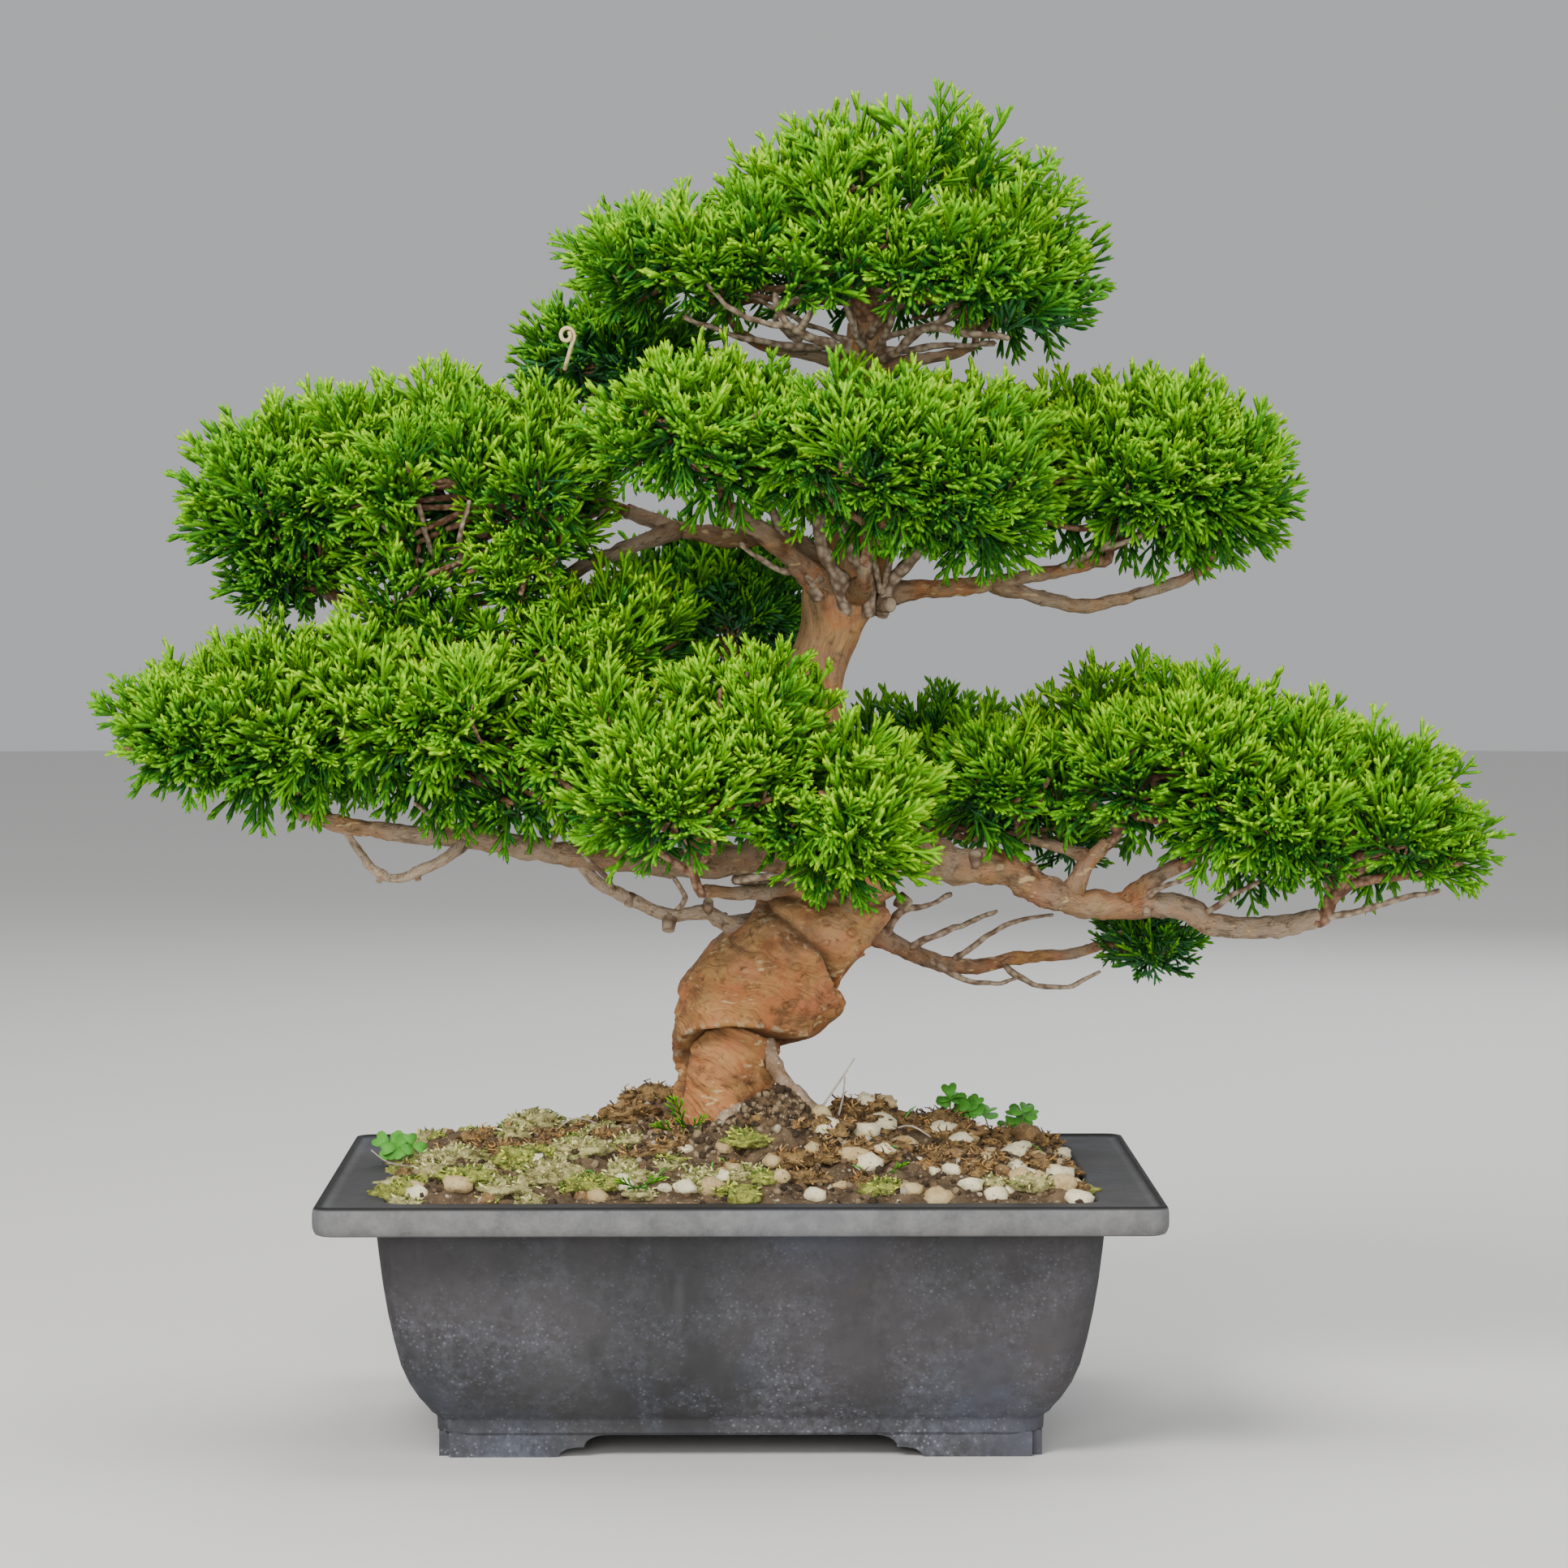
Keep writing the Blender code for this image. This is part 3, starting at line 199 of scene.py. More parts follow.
# Boughs: the limb each leaves, radius at its foot and at its tip, and its route
BOUGHS = {
    "bough_right_low": ("trunk", 8.0, 3.4, (
        (41, 0, 222), (60, -3, 215), (78, -6, 208), (96, -6, 207), (111, -4, 199), (127, 0, 193),
        (161, 0, 192), (176, 0, 185), (198, 0, 184.5), (214, 0, 188))),
    "bough_right_low_middle": ("bough_right_low", 3.8, 2.4, (
        (122, 0, 196), (128, -2, 208), (136, -4, 216))),
    "bough_right_low_inner": ("bough_right_low_middle", 2.4, 1.7, (
        (129, -2, 210), (118, 2, 214), (106, 6, 217))),
    "bough_right_low_fork": ("bough_right_low", 3.6, 2.6, (
        (142, 0, 193), (154, -2, 203), (163, -4, 208))),
    "bough_left_low": ("trunk", 7.0, 2.4, (
        (29, 0, 224), (11, -6, 213), (-12, -10, 209), (-36, -14, 210), (-61, -16, 212), (-96, -16, 218),
        (-122, -14, 220), (-146, -12, 223), (-159, -12, 227))),
    "bough_left_low_middle": ("bough_left_low", 2.8, 1.9, (
        (-93, -16, 218), (-100, -20, 226), (-103, -23, 234))),
    "bough_left_low_inner": ("bough_left_low", 3.6, 2.4, (
        (-33, -12, 209), (-36, -4, 227), (-40, -4, 243), (-43, -8, 254))),
    "bough_left_low_loop": ("bough_left_low", 2.2, 1.4, (
        (-100, -16, 218), (-108, -20, 211), (-121, -20, 205), (-131, -18, 205), (-139, -14, 213),
        (-146, -12, 223))),
    "bough_left_low_spur": ("trunk", 3.3, 1.9, (
        (14, 0, 187), (-2, -8, 186), (-13, -12, 191), (-26, -14, 190), (-40, -14, 196), (-52, -14, 202),
        (-61, -16, 212))),
    "bough_front_low": ("trunk", 3.6, 2.2, (
        (29, -4, 209), (16, -36, 202), (1, -58, 201), (-13, -70, 203))),
    "bough_front_low_right": ("trunk", 3.0, 2.0, (
        (37, -4, 204), (38, -34, 197), (40, -54, 196), (40, -66, 200))),
    "bough_back_right_low": ("trunk", 4.2, 1.8, (
        (38, 2, 188), (54, 16, 179), (70, 32, 170), (88, 44, 166), (106, 50, 169), (123, 52, 170),
        (136, 52, 173))),
    "bough_back_right_upper": ("trunk", 4.0, 2.4, (
        (38, 6, 215), (53, 38, 207), (66, 62, 205), (72, 76, 210))),
    "bough_back_left_low": ("trunk", 3.6, 2.2, (
        (28, 4, 273), (22, 30, 269), (12, 52, 269), (4, 66, 273))),
    "bough_front_left": ("trunk", 5.2, 2.6, (
        (38, 0, 307), (26, -10, 315), (12, -26, 327), (1, -38, 335), (-4, -44, 339))),
    "bough_front_middle": ("trunk", 3.8, 2.2, (
        (41, 0, 308), (44, -26, 310), (45, -42, 314), (45, -49, 320))),
    "bough_right_middle": ("trunk", 4.0, 2.2, (
        (44, 0, 306), (65, 3, 309), (84, 6, 310), (97, 8, 312), (118, 10, 316), (134, 12, 320))),
    "bough_right_middle_lower": ("bough_right_middle", 2.8, 2.0, (
        (92, 8, 312), (111, 10, 306), (128, 10, 303), (147, 12, 307), (163, 12, 312), (172, 12, 317))),
    "bough_left_middle": ("trunk", 4.4, 2.8, (
        (37, 2, 313), (16, 18, 328), (-4, 30, 328), (-25, 32, 332), (-42, 24, 338))),
    "bough_left_middle_outer": ("bough_left_middle", 3.0, 1.9, (
        (-22, 32, 332), (-40, 22, 325), (-55, 14, 319), (-69, 8, 312), (-90, 8, 306), (-120, 8, 303),
        (-135, 6, 302), (-142, 5, 304))),
    "bough_back_left_upper": ("trunk", 3.6, 2.0, (
        (47, 6, 344), (27, 34, 355), (8, 52, 368), (-6, 60, 378))),
    "bough_back_middle": ("trunk", 3.6, 2.2, (
        (46, 4, 327), (50, 34, 327), (54, 54, 330), (56, 64, 335))),
    "bough_top_left": ("trunk", 2.8, 1.7, (
        (46, 5, 391), (28, 3, 395), (10, 2, 398), (1, 3, 403))),
    "bough_top_right": ("trunk", 2.8, 1.7, (
        (46, 4, 389), (62, 0, 393), (76, -2, 395), (84, -2, 398))),
}
STATION = 2.0
TAPER = 0.8
KNOT = 0.10
KNOT_SIZE = 9.0
THICK_AROUND = 26
BOUGH_AROUND = 18
GREY_BOUGHS = ("bough_left_low_spur", "bough_left_low_loop")

# Foliage: the limb that carries each pad, then its lobes: middle X, Y, Z, reach in X, in Y, up and down
PADS = {
    "foliage_top": ("trunk", (
        (44, 0, 427, 79, 83, 65, 26),)),
    "foliage_top_left": ("bough_top_left", (
        (-13, 5, 434, 54, 60, 29, 30),)),
    "foliage_top_right": ("bough_top_right", (
        (87, -2, 426, 50, 65, 47, 32),)),
    "foliage_front_left": ("bough_front_left", (
        (-11, -52, 366, 50, 54, 38, 30), (18, -58, 364, 28, 42, 37, 33))),
    "foliage_front_middle": ("bough_front_middle", (
        (43, -62, 362, 37, 52, 41, 37), (82, -49, 351, 37, 52, 45, 42), (63, -57, 357, 26, 44, 42, 38))),
    "foliage_right_middle": ("bough_right_middle", (
        (144, 12, 356, 46, 61, 40, 38), (162, 8, 354, 28, 48, 38, 37), (112, 2, 352, 26, 44, 36, 30))),
    "foliage_right_middle_outer": ("bough_right_middle_lower", (
        (177, 12, 351, 33, 55, 38, 34),)),
    "foliage_left_middle": ("bough_left_middle", (
        (-110, -7, 355, 42, 62, 41, 44), (-77, -10, 350, 34, 56, 38, 45), (-143, -6, 351, 33, 48, 38, 34),
        (-120, -26, 318, 30, 32, 20, 16), (-86, -28, 314, 28, 30, 20, 16))),
    "foliage_left_middle_outer": ("bough_left_middle_outer", (
        (-169, 5, 344, 40, 53, 40, 36), (-166, 5, 314, 28, 36, 14, 14))),
    "foliage_back_left_upper": ("bough_back_left_upper", (
        (-45, 62, 398, 42, 47, 30, 27),)),
    "foliage_back_middle": ("bough_back_middle", (
        (59, 84, 360, 45, 49, 31, 29),)),
    "foliage_back_left_low": ("bough_back_left_low", (
        (-10, 88, 307, 45, 59, 34, 34),)),
    "foliage_left_low_tip": ("bough_left_low", (
        (-207, -18, 260, 30, 40, 25, 25), (-168, -15, 264, 39, 55, 41, 41), (-189, -18, 262, 28, 44, 34, 32))),
    "foliage_left_low": ("bough_left_low_middle", (
        (-122, -22, 269, 41, 64, 42, 46), (-82, -28, 267, 38, 58, 42, 46), (-146, -20, 266, 30, 50, 41, 40),
        (-102, -28, 269, 28, 52, 43, 42), (-69, -42, 240, 24, 28, 18, 18))),
    "foliage_left_low_inner": ("bough_left_low_inner", (
        (-44, -8, 290, 35, 53, 34, 36), (-62, -24, 280, 28, 46, 38, 38))),
    "foliage_front_low": ("bough_front_low", (
        (-25, -80, 246, 43, 53, 43, 46), (6, -74, 270, 32, 43, 25, 32), (7, -84, 246, 28, 42, 36, 34),
        (-56, -54, 262, 26, 42, 34, 34))),
    "foliage_front_low_right": ("bough_front_low_right", (
        (38, -82, 231, 37, 49, 40, 32),)),
    "foliage_right_low": ("bough_right_low_middle", (
        (152, 0, 248, 46, 63, 42, 42), (171, -2, 243, 30, 54, 44, 42))),
    "foliage_right_low_outer": ("bough_right_low_fork", (
        (188, -5, 233, 45, 61, 48, 42), (209, -2, 231, 30, 50, 44, 38))),
    "foliage_right_low_tip": ("bough_right_low", (
        (229, 0, 227, 42, 49, 41, 38), (256, 0, 217, 28, 37, 24, 21))),
    "foliage_right_low_inner": ("bough_right_low_inner", (
        (98, 10, 239, 33, 48, 31, 28), (124, 0, 243, 28, 44, 33, 27))),
    "foliage_back_right_upper": ("bough_back_right_upper", (
        (72, 90, 241, 42, 58, 34, 34), (106, 84, 236, 30, 44, 31, 30), (122, 62, 218, 26, 30, 22, 20))),
    "foliage_back_right_low": ("bough_back_right_low", (
        (154, 52, 177, 24, 28, 14, 15),)),
}
# Pads at the back of the crown, whose shoots step to deeper shades as painted shade
BACK_PADS = ("foliage_back_left_upper", "foliage_back_middle", "foliage_back_left_low",
             "foliage_back_right_upper", "foliage_back_right_low")
FIRST_SEED = 311
OUTSIDE = 1.1
STEM_NECK = 2.5
STEM_IN = 0.75
STEM_LOWEST = 0.45
TUFT_DEPTH = 29.0
SPRAY_NOMINAL = 28.0
SPRAY_KINDS = 14
KNEE = 11.0
# How far sprays hang below a pad, and the share of tufts left out right under it
HANG = 4.0
OPEN_BELOW = 0.72
# Share of a lobe within which another pad's tufts are hidden, and are left out
HIDDEN = 0.76
# Openings in the front of the crown, through which twigs show: middle and reach in X and Z, and how far back
OPENINGS = ((32, 406, 38, 11, 0), (80, 401, 18, 7, -10), (-112, 330, 17, 12, 10))
# How sharply the nearest lobe decides which way the crown faces
FACING = 7.0
# Side shoots of a spray: how far along it they leave, their length and their shade, deeper near the spray's foot,
# partly as older growth and partly as painted shade
SIDE_SHOOTS = (
    (4.5, 11.5, 1), (8.0, 12.5, 2), (11.5, 12.0, 2), (14.5, 10.5, 2), (17.5, 8.8, 3), (20.5, 6.8, 3), (23.4, 4.8, 3))
UPRIGHT = 0.95

# Tiers of pads, from the top, and the height above which each begins
TIERS = (("top", 390), ("middle", 300), ("low", 0))
# The first side shoots are the ones that fork
FORKED = 4
# The share of a shoot's length that its rod takes up, before the tip
SHOOT_STRAIGHT = 0.76
SPRAY_LENGTHS = (18.0, 34.0)
FEWEST_TUFTS = 14
TWIG_POINTS = 9
LIMB_GAP = 0.5
# Points handled at once when they are held against every limb
CHUNK = 4000
# Fallen sprigs: foot, way, size and roll
SPRIGS = (
    ((-20, -24, 112), (-0.3, -0.5, 0.9), 0.62, 0.2), ((-22, -25, 111), (-0.8, -0.5, 0.4), 0.5, 0.8),
    ((-19, -25, 112), (0.5, -0.6, 0.5), 0.42, 1.5), ((-21, -26, 113), (-0.1, -0.8, 0.3), 0.45, 2.2),
    ((-38, -84, 98), (0.8, -0.3, 0.4), 0.5, 0.4), ((-36, -84, 98), (-0.7, -0.4, 0.4), 0.4, 1.0),
    ((52, -66, 101), (0.7, -0.3, 0.5), 0.36, 0.4))
# Bare twigs that show between the pads: radius at the foot and at the tip, and the route
BARE_TWIGS = (
    (1.9, 0.9, ((194, 0, 185), (203, 0, 186), (226, -2, 190), (244, -2, 195), (258, -2, 198))),
    (2.0, 1.0, ((12, -40, 203), (-2, -62, 206), (14, -70, 208), (24, -74, 206), (31, -78, 211))),
    (1.6, 0.8, ((-141, 5, 304), (-151, 4, 306), (-160, 2, 316), (-168, 0, 323))),
    (1.4, 0.8, ((-123, 8, 304), (-127, 4, 320), (-132, 2, 326), (-136, 0, 331))),
    (1.4, 0.7, ((-92, 8, 305), (-90, 6, 309), (-89, 2, 318), (-89, -4, 334))),
    (1.4, 0.7, ((-96, 8, 305), (-84, 0, 308), (-74, -3, 311), (-66, -6, 314))),
    (2.0, 0.9, ((44, 2, 398), (25, -8, 398), (1, -14, 401), (-20, -16, 408))),
    (2.2, 1.3, ((46, 0, 392), (44, -14, 393), (31, -26, 399), (18, -34, 404), (12, -40, 416))),
    (1.5, 1.0, ((21, -32, 403), (27, -38, 411), (31, -42, 420), (31, -44, 431))),
    (1.4, 0.9, ((19, -33, 404), (7, -38, 406), (-4, -40, 411), (-15, -42, 423))),
    (2.0, 1.2, ((47, 0, 393), (56, -14, 395), (67, -26, 404), (81, -32, 402), (97, -36, 400))),
    (1.6, 1.0, ((46, -10, 394), (42, -26, 402), (38, -34, 413), (36, -40, 424))),
    (1.5, 1.0, ((49, -12, 395), (54, -26, 405), (57, -34, 416), (61, -40, 428))),
    (1.5, 0.9, ((70, -27, 404), (78, -32, 413), (86, -38, 422))),
    (1.5, 1.0, ((-104, 4, 307), (-107, -14, 315), (-113, -26, 326), (-116, -34, 340))),
    (1.4, 0.9, ((-107, -14, 315), (-121, -26, 323), (-129, -34, 333))),
    (1.4, 0.9, ((-100, 2, 308), (-101, -20, 317), (-101, -34, 329), (-97, -42, 341))),
    (1.5, 0.8, ((22, -8, 400), (13, -16, 408), (22, -22, 416), (28, -28, 421), (30, -34, 428))),
    (2.0, 0.9, ((47, 2, 397), (59, -4, 397), (72, -8, 398), (93, -12, 399))),
    (1.8, 0.8, ((46, 0, 400), (52, -14, 408), (62, -24, 414), (70, -34, 420))),
    (1.8, 0.8, ((119, 10, 317), (131, 4, 323), (146, 0, 328), (164, -4, 335))),
    (1.5, 0.7, ((132, 6, 323), (140, -6, 332), (150, -12, 338))),
    (1.6, 0.8, ((-60, 16, 316), (-56, 12, 327), (-50, 4, 338))),
    (1.6, 0.8, ((62, 24, 174), (72, 16, 180), (84, 22, 184), (96, 30, 188))),
    (1.5, 0.7, ((80, 40, 168), (92, 32, 178), (104, 36, 184), (118, 40, 186))),
    (1.4, 0.7, ((98, 48, 168), (110, 42, 160), (124, 40, 159), (136, 44, 164))),
    (1.4, 0.7, ((70, 32, 171), (82, 24, 164), (94, 26, 161), (104, 32, 163))),
    (1.8, 0.9, ((54, 12, 181), (60, 4, 190), (70, 0, 193), (78, 6, 196))),
    (1.5, 0.8, ((-24, -12, 190), (-20, -20, 197), (-24, -28, 204))),
    (1.4, 0.8, ((-46, -14, 198), (-50, -22, 206), (-58, -30, 214))),
    (1.5, 0.8, ((-108, -16, 218), (-112, -24, 226), (-118, -34, 232))),
    (1.4, 0.8, ((-70, -16, 213), (-66, -26, 222), (-60, -34, 230))),
    (1.4, 0.8, ((146, 0, 193), (156, -10, 200), (170, -18, 206))),
    (1.4, 0.8, ((170, 0, 188), (180, -8, 196), (190, -16, 202))),
    (2.8, 1.6, ((29, -8, 306), (24, -14, 316), (17, -20, 326), (13, -24, 335), (8, -26, 346))),
    (3.4, 2.1, ((39, -8, 300), (37, -15, 312), (30, -21, 324), (28, -24, 336), (22, -26, 346))),
    (3.0, 1.7, ((47, -8, 300), (46.5, -14, 312), (40, -20, 324), (37, -24, 334), (40, -28, 344))),
    (3.0, 1.7, ((52, -4, 300), (55, -12, 312), (63, -18, 320), (68, -22, 328), (70, -26, 338))),
    (1.3, 0.8, ((51, -13, 309), (49, -20, 320), (46, -26, 328), (44, -32, 336))),
    (1.3, 0.8, ((52, -12, 308), (54, -20, 319), (55, -26, 328), (57, -32, 338))),
    (1.6, 0.9, ((24, -10, 318), (16, -16, 316), (8, -24, 320), (0, -30, 326))),
    (1.6, 0.9, ((48, 2, 396), (44, -10, 402), (40, -22, 410), (38, -34, 418))),
    (1.5, 0.8, ((47, 2, 398), (30, -4, 404), (16, -10, 410), (4, -14, 416))),
    (1.5, 0.8, ((48, 2, 400), (66, -6, 405), (82, -12, 410), (94, -16, 416))),
)
# Cut stubs: foot, way, length and radius
STUBS = (
    ((-26, -15, 188), (-0.1, -0.5, -1.0), 4.0, 2.3), ((-12, -13, 192), (0.1, -0.7, 0.8), 4.5, 1.9),
    ((-40, -15, 196), (-0.4, -0.5, -0.8), 3.0, 1.5), ((-6, -10, 188), (0.3, -0.6, -0.9), 3.0, 1.6),
    ((-118, -20, 206), (0.2, -0.5, -1.0), 3.0, 1.2), ((-131, -18, 205), (-0.4, -0.4, -0.8), 3.0, 1.1),
    ((9, 24, 328), (0.1, -0.9, -0.3), 4.0, 2.4), ((29, -12, 313), (-0.5, -0.9, 0.2), 3.0, 2.0),
    ((53, -8, 304), (0.6, -0.8, -0.1), 3.6, 3.0), ((86, -10, 209), (0.1, -0.6, 0.9), 4.0, 2.4),
    ((104, -6, 205), (0.1, -0.4, 1.0), 5.0, 1.9), ((150, -3, 192), (0.0, -0.5, -1.0), 3.0, 1.7),
    ((70, -6, 212), (-0.1, -0.9, 0.4), 2.6, 2.2), ((112, 10, 306), (0.1, -0.6, -0.9), 3.0, 1.7),
    ((-52, 14, 320), (0.1, -0.7, -0.8), 3.2, 1.9), ((-16, -12, 209), (0.0, -0.7, -0.8), 3.6, 2.2),
    ((-78, -18, 215), (0.2, -0.5, -0.9), 3.0, 1.6), ((60, -1, 194), (0.8, -0.4, -0.5), 3.0, 2.6),
    ((27, 14, 262), (-0.6, 0.6, 0.1), 3.5, 2.4), ((34, 14, 236), (0.4, 0.9, 0.1), 3.5, 2.6),
)
PALE_ROOTS = (
    (2.9, 3.7, (
        (10, -6, 143), (12, -9, 136), (15, -12, 130), (20, -14, 124), (25, -16, 118), (30, -18, 112), (34, -19, 107))),
    (2.8, 2.0, ((1, -14, 119), (-5, -18, 116), (-10, -21, 112), (-16, -24, 106))),
    (2.4, 1.6, ((20, -9, 125), (27, -7, 119), (34, -8, 113), (38, -9, 107))),
)
DEAD_TWIGS = (
    (0.6, 0.3, ((28, -14, 116), (33, -16, 124), (38, -14, 131), (42, -12, 137))),
    (0.5, 0.3, ((36, 6, 112), (38, 6, 120), (39, 8, 128))),
    (0.9, 0.5, ((-24, -30, 110), (-22, -36, 103), (-18, -44, 99), (-16, -50, 97))),
    (0.5, 0.3, ((52, -4, 108), (62, -10, 112), (70, -12, 108))),
    (0.4, 0.2, ((-118, -20, 98), (-128, -30, 101), (-134, -34, 106))),
    (0.5, 0.3, ((-70, 40, 104), (-62, 34, 110), (-52, 36, 107))),
)


# Stage, in metres. Lights: name, place, size, power and colour
LIGHTS = (
    ("key", (-0.9, -1.6, 1.65), 1.0, 52.0, (1.0, 0.985, 0.96)),
    ("fill", (1.6, -1.5, 0.8), 1.6, 16.0, (0.97, 0.98, 1.0)),
    ("front", (-0.25, -2.1, 0.55), 0.7, 19.0, (1.0, 0.99, 0.97)),
    ("top", (0.1, 0.1, 1.9), 1.0, 14.0, (1.0, 0.99, 0.97)),
    ("back", (0.6, 1.8, 1.2), 1.4, 14.0, (0.97, 0.98, 1.0)))
LIGHTS_AIM = (0, 0, 0.24)
FLOOR_RADIUS = 6.0
# The photograph's camera: focal length and width in its pixels, place, and degrees it looks down and right
PHOTO_FOCAL = 6396.0
PHOTO_WIDTH = 1932.0
SENSOR = 36.0
CAMERA_PLACE = (-0.0256, -1.92045, 0.3304)
CAMERA_DOWN = 2.784
CAMERA_RIGHT = 0.636


def colour_setting(name, description, value):
    """A colour of a look."""
    return FloatVectorProperty(
        name=name, description=description, subtype="COLOR", min=0, max=1, default=value)


def size_setting(name, description, value, least, most):
    """A length of a look, in millimetres."""
    return FloatProperty(
        name=name, description=f"{description}, in millimetres", default=value, min=least, max=most)


class BonsaiPotLook(bpy.types.PropertyGroup):
    glaze: colour_setting("Ware", "Main colour of the pot", (0.047, 0.0465, 0.049))
    bloom: colour_setting("Lime bloom", "Colour of the specks that hard water leaves", (0.27, 0.29, 0.35))
    worn: colour_setting("Worn edge", "Colour of the rubbed rim", (0.205, 0.205, 0.204))
    corner: size_setting("Rim corner", "Radius of the rim's upright corners", RIM_CORNER, 4.0, 12.0)


class BonsaiBarkLook(bpy.types.PropertyGroup):
    red: colour_setting("Red bark", "Smooth bark of the lower trunk", (0.45, 0.165, 0.058))
    tan: colour_setting("Tan bark", "Patches between the red", (0.50, 0.275, 0.098))
    pink: colour_setting("Pink bark", "Freshest bark, where a flake has fallen", (0.53, 0.185, 0.09))
    stain: colour_setting("Stained bark", "Dark stains and wrinkles", (0.15, 0.072, 0.034))
    pale: colour_setting("Pale bark", "Dry edges of the flakes", (0.56, 0.35, 0.145))
    grey: colour_setting("Grey bark", "Old flaking bark on the boughs", (0.30, 0.215, 0.135))
    crevice: colour_setting("Crevice", "Colour deep in the creases", (0.045, 0.024, 0.012))
    relief: size_setting("Relief", "Height of the bark's ridges", 0.9, 0.0, 2.0)


class BonsaiLeafLook(bpy.types.PropertyGroup):
    # Shades of the shoots, deepest to newest: partly their own colour, the new growth lighter, and partly painted
    # light and shade; deep and blue stand for shoots in shade
    tip: colour_setting("Tips", "Newest growth at the ends of the shoots", (0.34, 0.62, 0.004))
    light: colour_setting("Light", "Young shoots", (0.180, 0.46, 0.004))
    fresh: colour_setting("Fresh", "Shoots of this year", (0.104, 0.34, 0.005))
    middle: colour_setting("Middle", "Older shoots", (0.056, 0.235, 0.009))
    deep: colour_setting("Deep", "Shoots in the shade", (0.022, 0.135, 0.013))
    blue: colour_setting("Blue", "Bluish shoots on the undersides", (0.038, 0.165, 0.050))
    tuft_space: size_setting("Tuft spacing", "Distance between tufts of sprays", 23.0, 10.0, 30.0)
    sprays: IntProperty(name="Sprays", description="Sprays in each tuft", default=8, min=3, max=9)
    shoot: size_setting("Shoot", "Thickness of one leafy shoot", 1.55, 1.0, 3.0)


class BonsaiGroundLook(bpy.types.PropertyGroup):
    earth: colour_setting("Earth", "Damp grit", (0.075, 0.048, 0.028))
    moss: colour_setting("Moss", "Living moss", (0.50, 0.52, 0.10))
    straw: colour_setting("Dry moss", "Old brown moss", (0.46, 0.285, 0.11))
    pebble: colour_setting("Pebbles", "Pale gravel", (0.92, 0.83, 0.54))
    pebbles: IntProperty(name="Pebble count", description="Pebbles on the soil", default=105, min=0, max=300)


# Helpers
def drawn(chance, *ranges):
    """A vector whose parts are drawn between two values, or as far either way as a single one says."""
    return Vector([chance.uniform(*(each if isinstance(each, tuple) else (-each, each))) for each in ranges])


def strayed(chance, *spreads):
    """A vector whose parts stray from zero by about so much."""
    return Vector([chance.gauss(0, spread) for spread in spreads])


def ease(low, high, value):
    """A soft step from 0 at low to 1 at high."""
    part = max(0.0, min(1.0, (value - low) / (high - low)))
    return part * part * (3.0 - 2.0 * part)


def bell(value, middle, width):
    """1 at the middle, fading softly to 0 on both sides."""
    return math.exp(-((value - middle) / width) ** 2)


def between(stations, t):
    """A smooth curve through equally spaced stations, t from 0 to their count less one."""
    last = len(stations) - 1
    index = min(int(t), last - 1)
    part = t - index
    values = []
    for p0, p1, p2, p3 in zip(*(stations[min(max(index + step, 0), last)] for step in (-1, 0, 1, 2))):
        bend = (2 * p0 - 5 * p1 + 4 * p2 - p3) * part ** 2
        curl = (3 * p1 - p0 - 3 * p2 + p3) * part ** 3
        values.append(p1 + 0.5 * ((p2 - p0) * part + bend + curl))
    return values


def read_table(table, place):
    """A straight-line reading of a table of (place, value) rows."""
    for (start, first), (end, last) in zip(table, table[1:]):
        if start <= place <= end:
            return first + (last - first) * (place - start) / (end - start)
    return table[0][1] if place < table[0][0] else table[-1][1]


def trunk_section(table, height):
    """Middle X, half width, middle Y and half depth at a height."""
    for index, (low, high) in enumerate(zip(table, table[1:])):
        if low[0] <= height <= high[0]:
            return between(table, index + (height - low[0]) / (high[0] - low[0]))[1:]
    return table[0][1:] if height < table[0][0] else table[-1][1:]


def limb_stations(start_radius, end_radius, route, spacing, knots=KNOT):
    """Points and radii along a limb's smooth route, near-equally spaced."""
    count = max(3, round(sum(math.dist(a, b) for a, b in zip(route, route[1:])) / spacing))
    stations = []
    for number in range(count + 1):
        share = number / count
        point = Vector(between(route, share * (len(route) - 1)))
        lump = 1.0 + knots * noise.noise(point / KNOT_SIZE)
        stations.append((point, (start_radius + (end_radius - start_radius) * share ** TAPER) * lump))
    return stations


LIMBS = {name: limb_stations(first, last, route, 11.0) for name, (_, first, last, route) in BOUGHS.items()}


# Pieces
def finish_mesh(name, mesh, materials, nodes):
    """An object at the origin that rides on the plant, takes a slot's finish and stands for its nodes."""
    for material in materials:
        mesh.materials.append(material)
    piece = bpy.data.objects.new(name, mesh)
    bpy.context.scene.collection.objects.link(piece)
    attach(piece, "root")
    if nodes:
        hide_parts(*nodes)


def finish_bmesh(name, bm, materials, nodes, sharp=None):
    """Puts a shape in millimetres into its place in metres, and makes it a piece."""
    bmesh.ops.scale(bm, vec=(MM, MM, MM), verts=bm.verts)
    bmesh.ops.translate(bm, vec=POT_PLACE, verts=bm.verts)
    mesh = bpy.data.meshes.new(name)
    bm.to_mesh(mesh)
    bm.free()
    mesh.shade_smooth()
    if sharp:
        mesh.set_sharp_from_angle(angle=math.radians(sharp))
    finish_mesh(name, mesh, materials, nodes)


